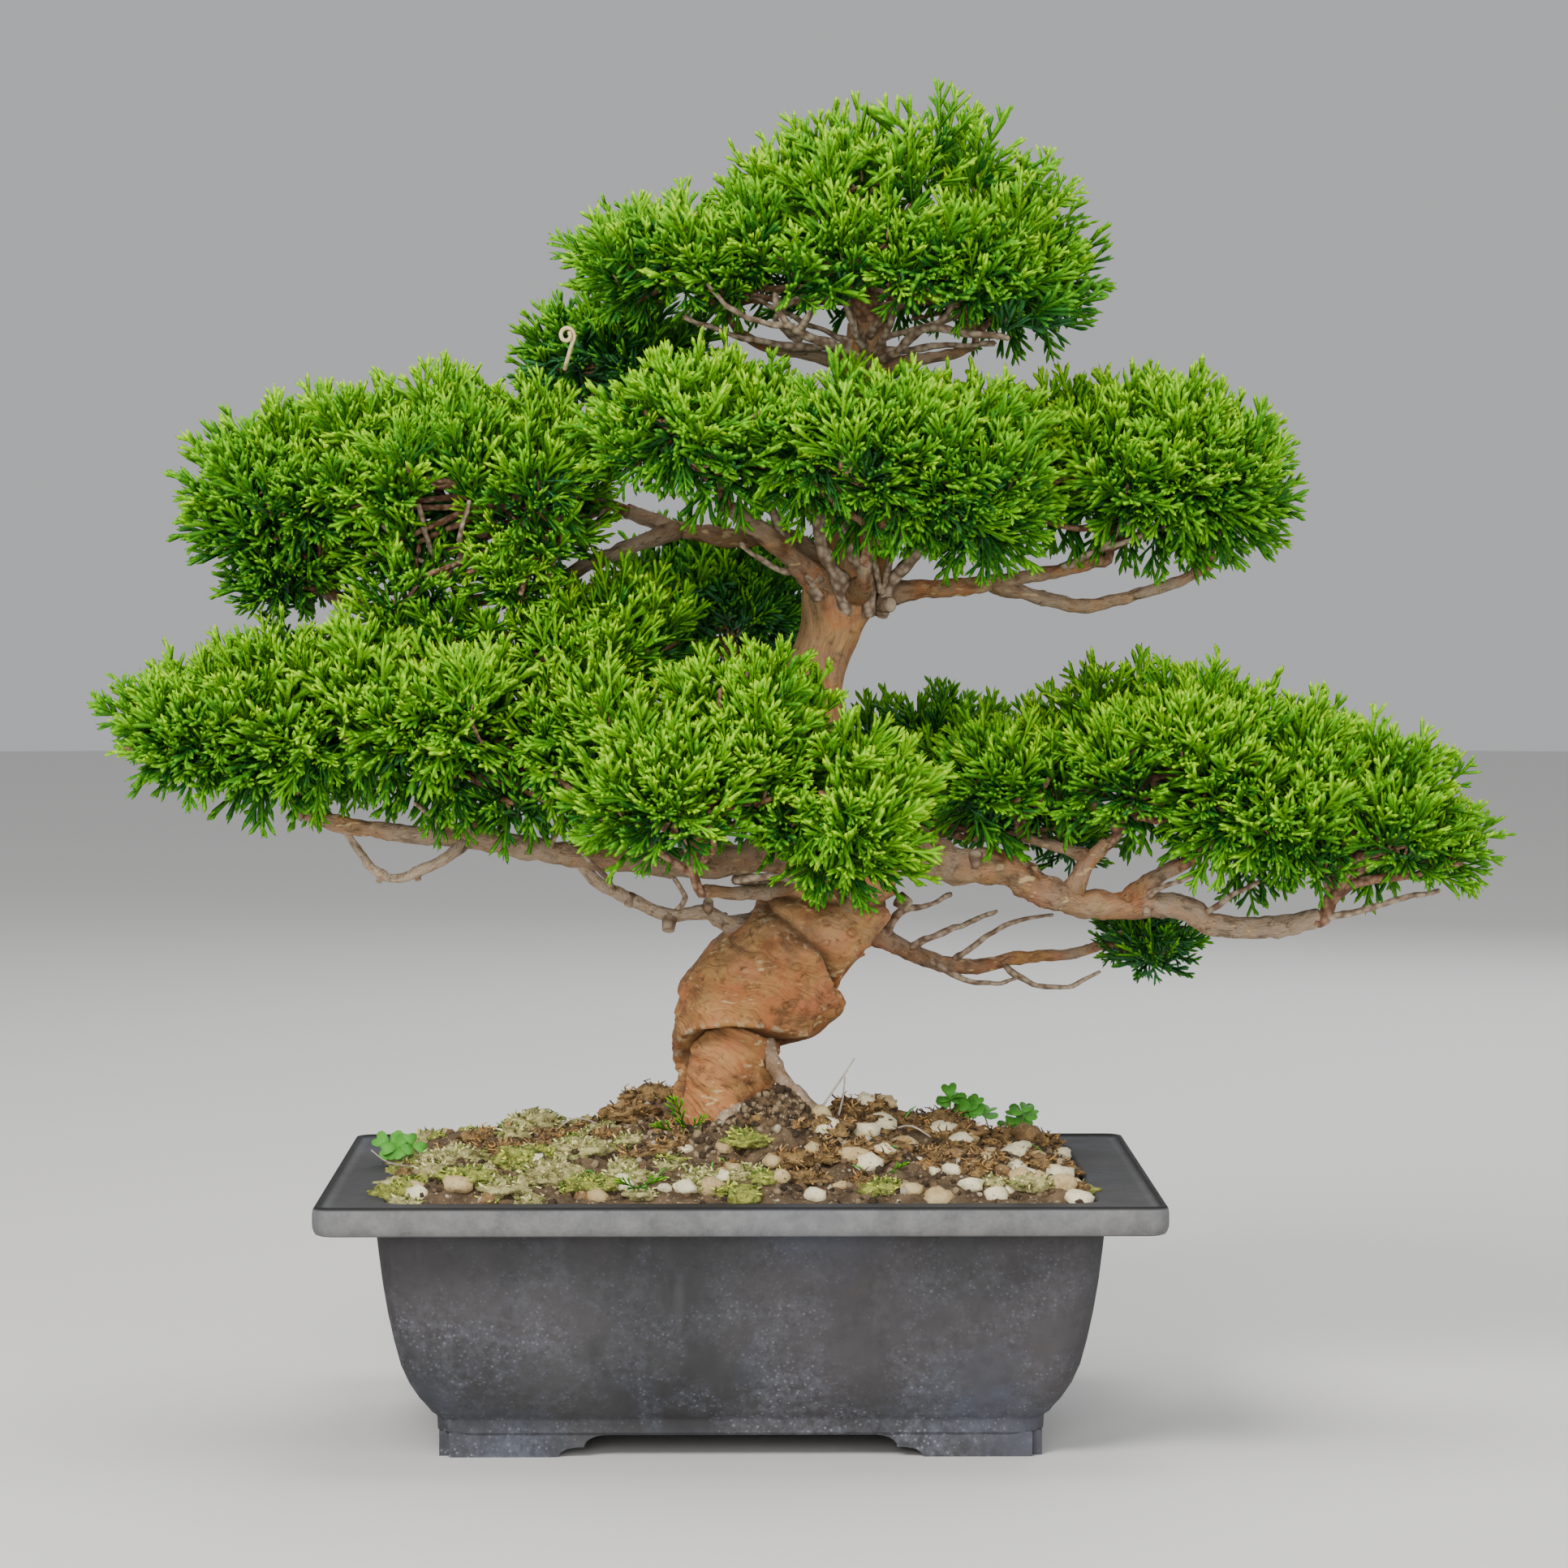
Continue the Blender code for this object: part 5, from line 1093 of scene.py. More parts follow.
def make_ground(look):
    """The soil: a lumpy surface from wall to wall, closed below inside the pot."""
    half_x, half_y = body_half(RIM_FOOT, WALL + SOIL_GAP)
    bm = bmesh.new()
    bmesh.ops.create_grid(bm, x_segments=GROUND_GRID[0], y_segments=GROUND_GRID[1], size=1.0)
    corner = BODY_CORNER - WALL
    for vert in bm.verts:
        x, y = vert.co.x * half_x, vert.co.y * half_y
        over_x = abs(x) - (half_x - corner)
        over_y = abs(y) - (half_y - corner)
        if over_x > 0 and over_y > 0:
            pull = max(over_x, over_y) / math.hypot(over_x, over_y)
            x = math.copysign(half_x - corner + over_x * pull, x)
            y = math.copysign(half_y - corner + over_y * pull, y)
        vert.co = (x, y, ground(x, y))
    edge = [each for each in bm.edges if each.is_boundary]
    low_x, low_y = body_half(SOIL_LOW, WALL + SOIL_GAP)
    for height, share in SOIL_SKIRT:
        edge, verts = stretched(bm, edge)
        for vert in verts:
            vert.co = (vert.co.x / half_x * low_x * share, vert.co.y / half_y * low_y * share, height)
    bmesh.ops.holes_fill(bm, edges=edge)
    bmesh.ops.recalc_face_normals(bm, faces=bm.faces)
    material = grain_material(
        "damp_grit", look.earth, (0.17, 0.115, 0.065), 130.0, 0.95, 0.0016, (0.36, 0.30, 0.20))
    finish_bmesh("soil_ground", bm, [material], ["soil"])


def any_place(chance, margin):
    """A place on the soil, that far from the pot's wall."""
    half_x, half_y = body_half(RIM_FOOT, WALL + margin)
    return chance.uniform(-half_x, half_x), chance.uniform(-half_y, half_y)


def open_place(chance, margin):
    """The same, clear of the trunk."""
    while True:
        x, y = any_place(chance, margin)
        if math.hypot(x + 4, y) > 24:
            return x, y


def lump_shape(chance, subdivisions, rough, size):
    """A lumpy pebble or clod, one unit in radius."""
    bm = bmesh.new()
    bmesh.ops.create_icosphere(bm, subdivisions=subdivisions, radius=1.0)
    shift = drawn(chance, 50, 50, 50)
    for vert in bm.verts:
        way = vert.co.normalized()
        vert.co = way * (1.0 + rough * noise.noise(way * size + shift))
    return arrays_of(bm)


def turn_matrices(generator, count, sizes):
    """Random turns, each with its own size along the three axes."""
    quats = generator.normal(size=(count, 4))
    quats /= np.linalg.norm(quats, axis=1, keepdims=True)
    w, x, y, z = quats.T
    turns = np.array((
        (1 - 2 * (y * y + z * z), 2 * (x * y - z * w), 2 * (x * z + y * w)),
        (2 * (x * y + z * w), 1 - 2 * (x * x + z * z), 2 * (y * z - x * w)),
        (2 * (x * z - y * w), 2 * (y * z + x * w), 1 - 2 * (x * x + y * y))))
    return turns.transpose(2, 0, 1) * sizes[:, None, :]


def lay_pebbles(look, chance):
    """Pebbles, mostly along the front and to the right."""
    shapes = [lump_shape(chance, 2, 0.48, 1.5) for _ in range(PEBBLE_SHAPES)]
    laid = []
    tries = 0
    while len(laid) < look.pebbles and tries < MOST_TRIES:
        tries += 1
        radius = chance.choice(PEBBLE_RADII)
        x, y = open_place(chance, radius * 0.9)
        front = ease(-25.0, -body_half(RIM_FOOT, WALL)[1], y) * (0.35 + 0.65 * ease(-110.0, 20.0, x))
        if chance.random() > 0.04 + 0.75 * front + 0.6 * ease(20.0, 90.0, x):
            continue
        if all(math.hypot(x - a, y - b) >= 0.82 * (radius + c) for a, b, c in laid):
            laid.append((x, y, radius))
    parts = []
    for kind, shape in enumerate(shapes):
        chosen = laid[kind::len(shapes)]
        if not chosen:
            continue
        sizes = np.array([drawn(chance, (0.9, 1.25), (0.85, 1.05), (0.65, 0.85)) * r for _, _, r in chosen])
        spins, tilts = (np.array([Matrix.Rotation(chance.uniform(low, high), 3, axis) for _ in chosen])
                        for low, high, axis in ((0, math.tau, "Z"), (-0.4, 0.4, "X")))
        turns = np.einsum("kij,kjl->kil", spins, tilts) * sizes[:, None, :]
        places = np.array([(x, y, ground(x, y) + r * 0.12) for x, y, r in chosen])
        steps = np.array([chance.choice((0, 0, 0, 0, 1, 1, 1, 2)) for _ in chosen])
        parts.append(strew(shape, turns, places, steps, most=2))
    finish_arrays("soil_pebbles", parts, [grain_material(*row) for row in (
        ("pebble_white", look.pebble, shaded(look.pebble, 0.82), 210.0, 0.75, 0.0006, (0.36, 0.29, 0.18)),
        ("pebble_buff", (0.66, 0.52, 0.27), (0.52, 0.36, 0.17), 180.0, 0.8, 0.0009, (0.24, 0.17, 0.09)),
        ("pebble_brown", (0.36, 0.22, 0.095), (0.16, 0.09, 0.04), 200.0, 0.85, 0.0012, (0.55, 0.42, 0.22)))])


def lay_grit(chance, generator):
    """Crumbs of grit, thickest round the trunk's foot."""
    parts = []
    for _ in range(GRIT_SHAPES):
        shape = lump_shape(chance, 1, 0.55, 1.6)
        spots = [open_place(chance, 1.5) for _ in range(GRIT_SPOTS)]
        for many, x, spread_x, y, spread_y in GRIT_DRIFTS:
            spots += [(chance.gauss(x, spread_x), chance.gauss(y, spread_y)) for _ in range(many)]
        count = len(spots)
        sizes = generator.uniform(0.55, 1.9, size=(count, 1)) * generator.uniform(0.7, 1.2, size=(count, 3))
        places = np.array([(x, y, ground(x, y) + 0.3) for x, y in spots])
        steps = generator.choice(4, size=count, p=(0.36, 0.32, 0.22, 0.10))
        parts.append(strew(shape, turn_matrices(generator, count, sizes), places, steps, most=3))
    finish_arrays("soil_grit", parts, [grain_material(*row, 300.0) for row in (
        ("grit_dark", (0.04, 0.028, 0.018), (0.08, 0.052, 0.03)),
        ("grit_brown", (0.20, 0.13, 0.07), (0.13, 0.08, 0.045)),
        ("grit_tan", (0.36, 0.27, 0.16), (0.26, 0.19, 0.11)),
        ("grit_pale", (0.55, 0.49, 0.36), (0.42, 0.36, 0.25)))])


def scattered_cushions(chance):
    """The listed cushions and many small lumps: pale moss to the left and front, brown to the right."""
    rows = list(CUSHIONS)
    tries = 0
    while len(rows) < LUMP_COUNT and tries < MOST_TRIES:
        tries += 1
        radius = chance.uniform(*LUMP_RADII)
        x, y = any_place(chance, MOUTH_GAP + 0.8 * radius)
        if math.hypot(x + 2, (y + 4) * 1.2) < 30 or (y < -52 and x > 10 and chance.random() < 0.6):
            continue
        if any(math.hypot(x - row[0], y - row[1]) < 0.62 * (radius + row[2]) for row in rows):
            continue
        pale = 0.75 * ease(20.0, -70.0, x) + 0.35 * ease(-20.0, -80.0, y) + 0.1 * ease(40.0, 80.0, y)
        kind = BROWN if chance.random() > pale else chance.choice((0, 1, 1))
        rows.append((x, y, radius, radius * chance.uniform(0.6, 0.9), kind))
    return rows


def lay_moss(look, chance):
    """Lumpy cushions and clods sunk in the soil, with the short leaves and fibres that clothe them."""
    parts = []
    rows = scattered_cushions(chance)
    for x, y, radius, height, kind in rows:
        bm = bmesh.new()
        bmesh.ops.create_icosphere(bm, subdivisions=4 if radius > LUMP_RADII[1] else 3, radius=1.0)
        shift = Vector((x, y, 7.0))
        rough = 0.5 if kind == BROWN else 0.42
        for vert in bm.verts:
            way = vert.co.normalized()
            lump = 1.0 + sum(share * rough * noise.noise(way * size + shift)
                             for share, size in ((1.0, 1.8), (0.6, 5.0), (0.4, 12.0)))
            vert.co = Vector((way.x * radius, way.y * radius, way.z * height * CUSHION_HIGH)) * lump
        for face in bm.faces:
            face.material_index = kind
        bmesh.ops.translate(bm, vec=(x, y, ground(x, y) - CUSHION_SUNK * height), verts=bm.verts)
        parts.append(arrays_of(bm))
    finish_arrays("soil_cushions", parts, [grain_material(*row) for row in (
        ("moss_green", look.moss, (0.11, 0.13, 0.025), 300.0, 0.95, 0.0016, (0.86, 0.82, 0.34)),
        ("moss_grey", (0.70, 0.64, 0.27), (0.17, 0.15, 0.05), 300.0, 0.95, 0.0016, (0.92, 0.87, 0.52)),
        ("moss_brown", look.straw, (0.06, 0.034, 0.014), 260.0, 0.95, 0.0024, (0.74, 0.54, 0.27)))])

    # Short leaves on the living moss, longer curled fibres on the brown clods
    half_x, half_y = body_half(RIM_FOOT, WALL + MOUTH_GAP)
    routes = ([], [], [])
    for x, y, radius, height, kind in rows:
        brown = kind == BROWN
        middle = Vector((x, y, ground(x, y) - CUSHION_SUNK * height))
        for _ in range(int(radius * radius * (0.6 if brown else 0.8))):
            way = strayed(chance, 1, 1, 1)
            way = Vector((way.x, way.y, abs(way.z) + 0.05)).normalized()
            skin = Vector((way.x * radius, way.y * radius, way.z * height * CUSHION_HIGH))
            foot = middle + skin * chance.uniform(0.85, 1.05)
            length = chance.uniform(1.6, 3.6) if brown else chance.uniform(1.2, 2.4)
            out = (way + strayed(chance, 1, 1, 0.6) * (0.8 if brown else 0.45)).normalized()
            bend = strayed(chance, 1, 1, 0.5) * length * 0.28
            end = foot + out * length
            if abs(end.x) < half_x and abs(end.y) < half_y:
                routes[kind].append([tuple(each) for each in (foot, foot + out * length * 0.5 + bend, end)])
    parts = []
    for kind, thick in enumerate((0.55, 0.55, 0.40)):
        for shade in range(2):
            chosen = np.array(routes[kind][shade::2])
            radii = np.tile(np.array((thick, thick * 0.9, thick * 0.4)), (len(chosen), 1))
            parts.append(rods(chosen, radii, 3, kind * 2 + shade))
    finish_arrays("soil_moss_leaves", parts, [
        grain_material(name, first, second, 200.0, rough, 0.0004) for name, first, second, rough in (
            ("moss_leaf_lime", (0.80, 0.82, 0.15), (0.50, 0.55, 0.08), 0.8),
            ("moss_leaf_green", (0.16, 0.24, 0.03), (0.08, 0.14, 0.02), 0.8),
            ("moss_leaf_pale", (0.93, 0.87, 0.42), (0.72, 0.66, 0.26), 0.8),
            ("moss_leaf_sage", (0.32, 0.36, 0.09), (0.12, 0.15, 0.03), 0.8),
            ("fibre_rust", (0.74, 0.45, 0.16), (0.36, 0.18, 0.05), 0.85),
            ("fibre_umber", (0.15, 0.085, 0.04), (0.07, 0.04, 0.02), 0.85))])


def set_seedlings(chance):
    """Dead twigs, clover and grass blades."""
    parts = [limb_rod(limb_stations(first, last, route, 3.0, 0.3), 6) for first, last, route in DEAD_TWIGS]
    finish_arrays("soil_dead_twigs", parts, [
        grain_material("dead_wood", (0.58, 0.52, 0.43), (0.40, 0.33, 0.26), 260.0, 0.8, 0.0005)])
    leaflet = clover_leaflet()
    parts = []
    for x, y in (place for *place, count in CLOVER for _ in range(count)):
        x, y = x + chance.uniform(-5, 5), y + chance.uniform(-4, 4)
        foot = Vector((x, y, ground(x, y) - 1.0))
        head = foot + drawn(chance, 3, (-4, 2), (7.0, 11.5))
        middle = foot.lerp(head, 0.5) + drawn(chance, 1, 1).to_3d()
        parts.append(rods(np.array([(foot, middle, head)]), np.array([(0.35, 0.3, 0.3)]), 5, 1))
        tilt = Matrix.Rotation(chance.uniform(0.3, 1.0), 3, "X")
        tilt = tilt @ Matrix.Rotation(chance.uniform(-0.4, 0.4), 3, "Y")
        spin = chance.uniform(0, math.tau)
        size = chance.uniform(0.9, 1.2)
        turns = np.array([size * (tilt @ Matrix.Rotation(spin + math.tau * third / 3, 3, "Z"))
                          for third in range(3)])
        parts.append(strew(leaflet, turns, np.array([head] * 3)))
    blades = []
    for _ in range(GRASS_BLADES):
        x, y = chance.uniform(-112, 118), chance.uniform(-78, 60)
        foot = Vector((x, y, ground(x, y) - 0.5))
        out = drawn(chance, 1, (-1, 0.4), (0.3, 1.0)).normalized() * chance.uniform(5, 10)
        blades.append((foot, foot + out * 0.6, foot + out + Vector((0, 0, -1.5))))
    parts.append(rods(np.array(blades), np.tile(np.array((0.5, 0.45, 0.15)), (len(blades), 1)), 3))
    finish_arrays("soil_seedlings", parts, [
        grain_material("clover_leaf", (0.08, 0.34, 0.035), (0.12, 0.44, 0.05), 160.0, 0.6, 0.0004),
        grain_material("clover_stalk", (0.20, 0.30, 0.08), (0.30, 0.36, 0.12), 160.0, 0.6, 0.0004)])


def clover_leaflet():
    """One heart-shaped leaflet, notched at its end and folded a little along its middle."""
    bm = bmesh.new()
    bm.faces.new([bm.verts.new((x, y, 0.35 * x)) for x, y in LEAFLET])
    bmesh.ops.mirror(bm, geom=bm.verts[:] + bm.edges[:] + bm.faces[:], axis="X", merge_dist=1e-4)
    thickened(bm, bm.faces[:], (0, 0, 0.25))
    bmesh.ops.recalc_face_normals(bm, faces=bm.faces)
    return arrays_of(bm)


def strew_on_soil(look):
    """Pebbles, crumbs, moss cushions and clods, dead twigs and seedlings on the soil."""
    chance = random.Random(FIRST_SEED + 70)
    lay_pebbles(look, chance)
    lay_grit(chance, np.random.default_rng(FIRST_SEED + 71))
    lay_moss(look, chance)
    set_seedlings(chance)


# Trunk
def fibre_turn(height):
    """How far the wood's fibres have turned round the trunk at a height."""
    return 0.108 * min(height, FIBRE_BEND) + 0.03 * max(0.0, height - FIBRE_BEND)


def crease_depth(table, degrees, height):
    """Height above a crease's line, and how fully the crease is there: it fades at its ends."""
    best = (99.0, 0.0)
    first, last = table[0][0], table[-1][0]
    for turn in (-360, 0, 360):
        place = degrees + turn
        if first <= place <= last:
            above = height - read_table(table, place)
            if abs(above) < abs(best[0]):
                best = (above, ease(first, first + 30, place) * (1.0 - ease(last - 40, last, place)))
    return best


def trunk_skin(table, angle, height):
    """A point of the trunk's plain skin, with its two turning ribs and the flare of its roots."""
    middle_x, half_x, middle_y, half_y = trunk_section(table, height)
    shape = 1.0 + RIB * math.cos(2 * (angle - TWIST * height))
    root = sum(reach * bell((math.degrees(angle) - direction + 180) % 360 - 180, 0, width)
               for direction, width, reach in ROOTS)
    root *= math.exp(-max(0.0, height - FLARE_FOOT) / FLARE_HEIGHT)
    return Vector((middle_x + (half_x * shape + root) * math.cos(angle),
                   middle_y + (half_y * shape + root) * math.sin(angle), height))


def trunk_folds(degrees, height):
    """Outward push, lift, depth and lip of the fold, the creases and the tucked flank."""
    # The fold swells above its edge, hangs a little, and tucks in under it
    edge = read_table(FOLD, degrees)
    above = height - edge
    firm = ease(128.0, 147.0, edge)
    push = firm * 2.4 * (bell(above, 6.5, 6.5) - bell(above, -0.5, 1.4))
    lift = -firm * 2.6 * bell(above, 1.5, 2.2)
    deep = firm * bell(above, -0.8, 1.5)
    lip = firm * bell(above, 1.6, 0.9)
    # The open crease: a narrow valley, with a round swelling below it and a lower one above
    line, full = crease_depth(CREASE, degrees, height)
    near = bell(degrees, -20.0 if degrees < 180 else 340.0, 50.0)
    push += full * (0.8 * bell(line, 6.0, 4.0) + 2.0 * bell(line, -8.0, 7.0))
    push -= full * (3.0 + 2.2 * near) * bell(line, 0, 1.7)
    lift -= full * 0.8 * bell(line, 1.5, 1.8)
    deep = max(deep, full * (0.75 + 0.25 * near) * bell(line, 0, 1.25))
    lip = max(lip, full * bell(line, -2.2, 0.9))
    # The shoulder's crease, softer
    line, full = crease_depth(SHOULDER, degrees, height)
    push += full * (1.6 * bell(line, -5.0, 4.0) - 2.6 * bell(line, 0.5, 2.2))
    deep = max(deep, full * 0.75 * bell(line, 0, 1.4))
    # A flank that folds in along the left of the trunk's foot
    flank = bell(degrees, 203.0, 9.0) * ease(116, 124, height) * (1.0 - ease(138, 148, height))
    return push - 2.0 * flank, lift, max(deep, 0.6 * flank * flank), lip


def trunk_point(turn, run, relief):
    """A point of the trunk's skin, how deep in a crease it lies, its place in the grain, how near a lip."""
    height = read_table(TRUNK_RUN, run)
    angle = math.tau * turn
    degrees = math.degrees(angle)
    above = height - read_table(FOLD, degrees)
    upper = trunk_skin(TRUNK, angle, max(height, TRUNK[0][0]))
    point = trunk_skin(TRUNK_FOOT, angle, height).lerp(upper, ease(-0.8, 1.4, above))
    point.z = height
    push, lift, deep, lip = trunk_folds(degrees, height)

    # Sinews and wrinkles along the turning grain, knots, and fine flaking
    warp = noise.noise_vector(point / 16.0) * 3.5 + noise.noise_vector(point / 6.0) * 1.2
    spin = angle + fibre_turn(height + warp.z * 1.5)
    grain = Vector((math.cos(spin) * 24.0 + warp.x, math.sin(spin) * 24.0 + warp.y, height * 0.5 + warp.z))
    sinew = noise.noise(Vector((grain.x / 9.0, grain.y / 9.0, grain.z / 16.0)) + Vector((3.1, 0.7, 5.0)))
    wrinkle = noise.noise(Vector((grain.x / 3.2, grain.y / 3.2, grain.z / 9.0)))
    crack = max(0.0, 1.0 - abs(noise.noise(Vector((grain.x / 5.0, grain.y / 5.0, grain.z / 13.0)))) / 0.045)
    crack *= ease(0.0, 0.35, noise.noise(point / 9.0 + Vector((7.0, 1.0, 2.0))))
    lump = noise.noise(point / 13.0)
    flake = noise.noise(point / 2.4)
    push += relief * (1.5 * sinew + 0.55 * wrinkle + 0.30 * flake + 1.3 * lump - 0.6 * crack)
    for knot_x, knot_z, size in KNOTS:
        off = math.hypot(point.x - knot_x, height - knot_z) / size
        if off < 2.2 and math.sin(angle) < 0:
            push += 0.9 * bell(off, 1.0, 0.35) - 0.8 * bell(off, 0, 0.6)
            deep = max(deep, 0.5 * bell(off, 0.55, 0.2))
    thin = 1.0 - 0.55 * ease(220.0, 330.0, height)
    deep = max(deep, 0.45 * ease(0.34, 0.66, -sinew) * thin, 0.6 * crack)
    point += Vector((math.cos(angle), math.sin(angle), 0.0)) * (push * thin)
    point.z += lift
    return point, deep, Vector((grain.x / 7.0, grain.y / 7.0, grain.z / 20.0)), lip


def make_trunk(look):
    """The trunk: folds and creases that turn round it, sinewy relief, healed knots and pale roots."""
    noise.seed_set(FIRST_SEED)
    bm = sleeve(TRUNK_AROUND, TRUNK_ALONG, lambda turn, run: trunk_point(turn, run, look.relief))
    bark = bark_material("bark_red", look, 0.05, 0.55, 1.1, 150.0)
    finish_bmesh("trunk_bark", bm, [bark], ["trunk"])
    roots = [limb_rod(limb_stations(first, last, route, 2.0, 0.35), 14, rough=0.30, grain=3.0)
             for first, last, route in PALE_ROOTS]
    finish_arrays("trunk_roots", roots, [grain_material(
        "root_pale", (0.46, 0.36, 0.25), (0.24, 0.145, 0.08), 120.0, 0.85, 0.0014, (0.62, 0.56, 0.44))])


# Boughs
def outside_parent(point, parent):
    """Whether a point lies outside the limb that a bough leaves."""
    if parent == "trunk":
        middle_x, half_x, middle_y, half_y = trunk_section(TRUNK, point.z)
        return math.hypot((point.x - middle_x) / half_x, (point.y - middle_y) / half_y) > 1.0
    return all((point - at).length > radius for at, radius in fine_limb(parent))


def fine_limb(name):
    """A bough's stations, closely spaced."""
    _, first, last, route = BOUGHS[name]
    return limb_stations(first, last, route, STATION)


def make_bough(name, material):
    """One bough: a flared foot on its parent, knots, and bark relief along its grain."""
    parent, thick = BOUGHS[name][:2]
    stations = fine_limb(name)
    count = len(stations) - 1
    runs = [0.0]
    for (start, _), (end, _) in zip(stations, stations[1:]):
        runs.append(runs[-1] + (end - start).length)
    leaves_at = next((run for run, (point, _) in zip(runs, stations) if outside_parent(point, parent)), 0.0)
    frames = []
    side = None
    for index in range(count + 1):
        along = (stations[min(index + 1, count)][0] - stations[max(index - 1, 0)][0]).normalized()
        side = (along.orthogonal() if side is None else side - along * side.dot(along)).normalized()
        frames.append((side, along.cross(side)))
    shift = Vector([sum(ord(letter) for letter in name) * 0.37] * 3)
    flare = 0.5 if parent == "trunk" else 0.35
    roughness = 0.32 if name in GREY_BOUGHS else 0.24

    def place(turn, run):
        index = min(round(run * count), count)
        point, radius = stations[index]
        first_side, other_side = frames[index]
        angle = math.tau * turn
        way = math.cos(angle) * first_side + math.sin(angle) * other_side
        past = max(0.0, runs[index] - leaves_at)
        collar = 1.0 + flare * math.exp(-past / (1.1 * thick))
        spin = angle + runs[index] * 0.045
        grain = Vector((math.cos(spin) * radius, math.sin(spin) * radius, runs[index] * 0.35)) + shift
        ridge = noise.noise(Vector((grain.x / 2.4, grain.y / 2.4, grain.z / 2.0)))
        knob = noise.noise((point + way * radius) / 4.2 + shift)
        flake = noise.noise((point + way * radius) / 1.5)
        reach = radius * (collar + roughness * (0.8 * ridge + knob)) + 0.34 * flake * min(1.0, radius / 3.0)
        if runs[index] < radius:
            reach *= 0.25 + 0.75 * math.sqrt(1.0 - (1.0 - runs[index] / radius) ** 2)
        deep = 0.6 * ease(0.28, 0.6, -ridge) + 0.3 * math.exp(-past / 2.0)
        return point + way * reach, deep, Vector((grain.x / 1.6, grain.y / 1.6, grain.z / 3.0)), 0.0

    bm = sleeve(BOUGH_AROUND if thick < 5 else THICK_AROUND, count, place)
    finish_bmesh(f"{name}_bark", bm, [material], [name])


def cut_stub(foot, way, length, radius):
    """A sawn-off stub with a rolled rim and a sunken pale face."""
    bm = bmesh.new()
    way = Vector(way).normalized()
    turn = way.to_track_quat("Z", "Y").to_matrix().to_4x4()
    bmesh.ops.create_cone(
        bm, cap_ends=True, segments=12, radius1=radius * 1.25, radius2=radius, depth=length + 2.0,
        matrix=Matrix.Translation((0, 0, length / 2 - 1.0)))
    top = max(bm.faces, key=lambda face: face.calc_center_median().z)
    rim = list(top.edges)
    bmesh.ops.bevel(bm, geom=rim, offset=radius * 0.16, affect="EDGES", segments=2, profile=0.5, material=-1)
    top = max(bm.faces, key=lambda face: (round(face.calc_center_median().z, 4), face.calc_area()))
    made = bmesh.ops.inset_region(bm, faces=[top], thickness=radius * 0.18, depth=-radius * 0.22)
    for face in [top] + made["faces"]:
        face.material_index = 1
    for vert in bm.verts:
        vert.co.x *= 1.0 + 0.14 * noise.noise(vert.co / 1.7 + Vector(foot))
        vert.co.y *= 1.0 + 0.14 * noise.noise(vert.co / 1.7 - Vector(foot))
    bmesh.ops.transform(bm, matrix=Matrix.Translation(foot) @ turn, verts=bm.verts)
    bmesh.ops.recalc_face_normals(bm, faces=bm.faces)
    return arrays_of(bm)


def make_boughs(look):
    """Every bough and the old cuts."""
    tan = bark_material("bark_tan", look, 0.7, 0.9, 1.4, 260.0)
    grey = bark_material("bark_grey", look, 1.2, 1.0, 1.8, 320.0)
    for name in BOUGHS:
        make_bough(name, grey if name in GREY_BOUGHS else tan)
    stub_bark = twig_material("stub_bark", (0.27, 0.185, 0.12), (0.13, 0.08, 0.05), 300.0)
    cut_wood = grain_material("cut_wood", (0.46, 0.37, 0.26), (0.30, 0.22, 0.14), 300.0, 0.85, 0.0006)
    finish_arrays("bough_stubs", [cut_stub(*row) for row in STUBS], [stub_bark, cut_wood])


# Foliage
LOBES = np.array([lobe for _, lobes in PADS.values() for lobe in lobes], dtype=float)
LOBE_PAD = np.array([number for number, (_, lobes) in enumerate(PADS.values()) for _ in lobes])
PAD_NAMES = list(PADS)


def lobe_shares(points):
    """How far out in every lobe each point lies: 0 at its middle, 1 at its edge."""
    off_x, off_y, off_z = np.moveaxis(points[:, None, :] - LOBES[None, :, :3], 2, 0)
    reach_z = np.where(off_z > 0, LOBES[:, 5], LOBES[:, 6] + HANG)
    return np.sqrt((off_x / LOBES[:, 3]) ** 2 + (off_y / LOBES[:, 4]) ** 2 + (off_z / reach_z) ** 2)


def facing(point):
    """The way the joined crown faces at a point, from every lobe near it."""
    off = np.array(point) - LOBES[:, :3]
    reach = np.column_stack((LOBES[:, 3:5], np.where(off[:, 2] > 0, LOBES[:, 5], LOBES[:, 6] + HANG)))
    share = np.sqrt(((off / reach) ** 2).sum(axis=1))
    slope = off / reach ** 2 / (share[:, None] + 1e-6)
    return Vector((slope * np.exp(-FACING * (share - share.min()))[:, None]).sum(axis=0)).normalized()


def in_own_space(points, pad, reach, overlap):
    """Whether points lie in a pad's lobes and nearer to its own middle than to any other pad's."""
    shares = lobe_shares(points)
    mine = LOBE_PAD == PAD_NAMES.index(pad)
    own = shares[:, mine].min(axis=1)
    others = shares[:, ~mine].min(axis=1)
    return (own <= reach) & (others > np.minimum(own - overlap, OUTSIDE))


def limb_segments():
    """Starts, runs and radii of every stretch of limb, the trunk's among them."""
    starts, ends, radii = [], [], []
    for stations in LIMBS.values():
        for (start, radius), (end, _) in zip(stations, stations[1:]):
            starts.append(tuple(start))
            ends.append(tuple(end))
            radii.append(radius)
    heights = np.arange(TRUNK[0][0], TRUNK[-1][0] + 6.0, 6.0)
    for height, above in zip(heights, heights[1:]):
        first, last = trunk_section(TRUNK, height), trunk_section(TRUNK, above)
        starts.append((first[0], first[2], height))
        ends.append((last[0], last[2], above))
        radii.append(max(first[1], first[3]))
    return np.array(starts), np.array(ends) - np.array(starts), np.array(radii)


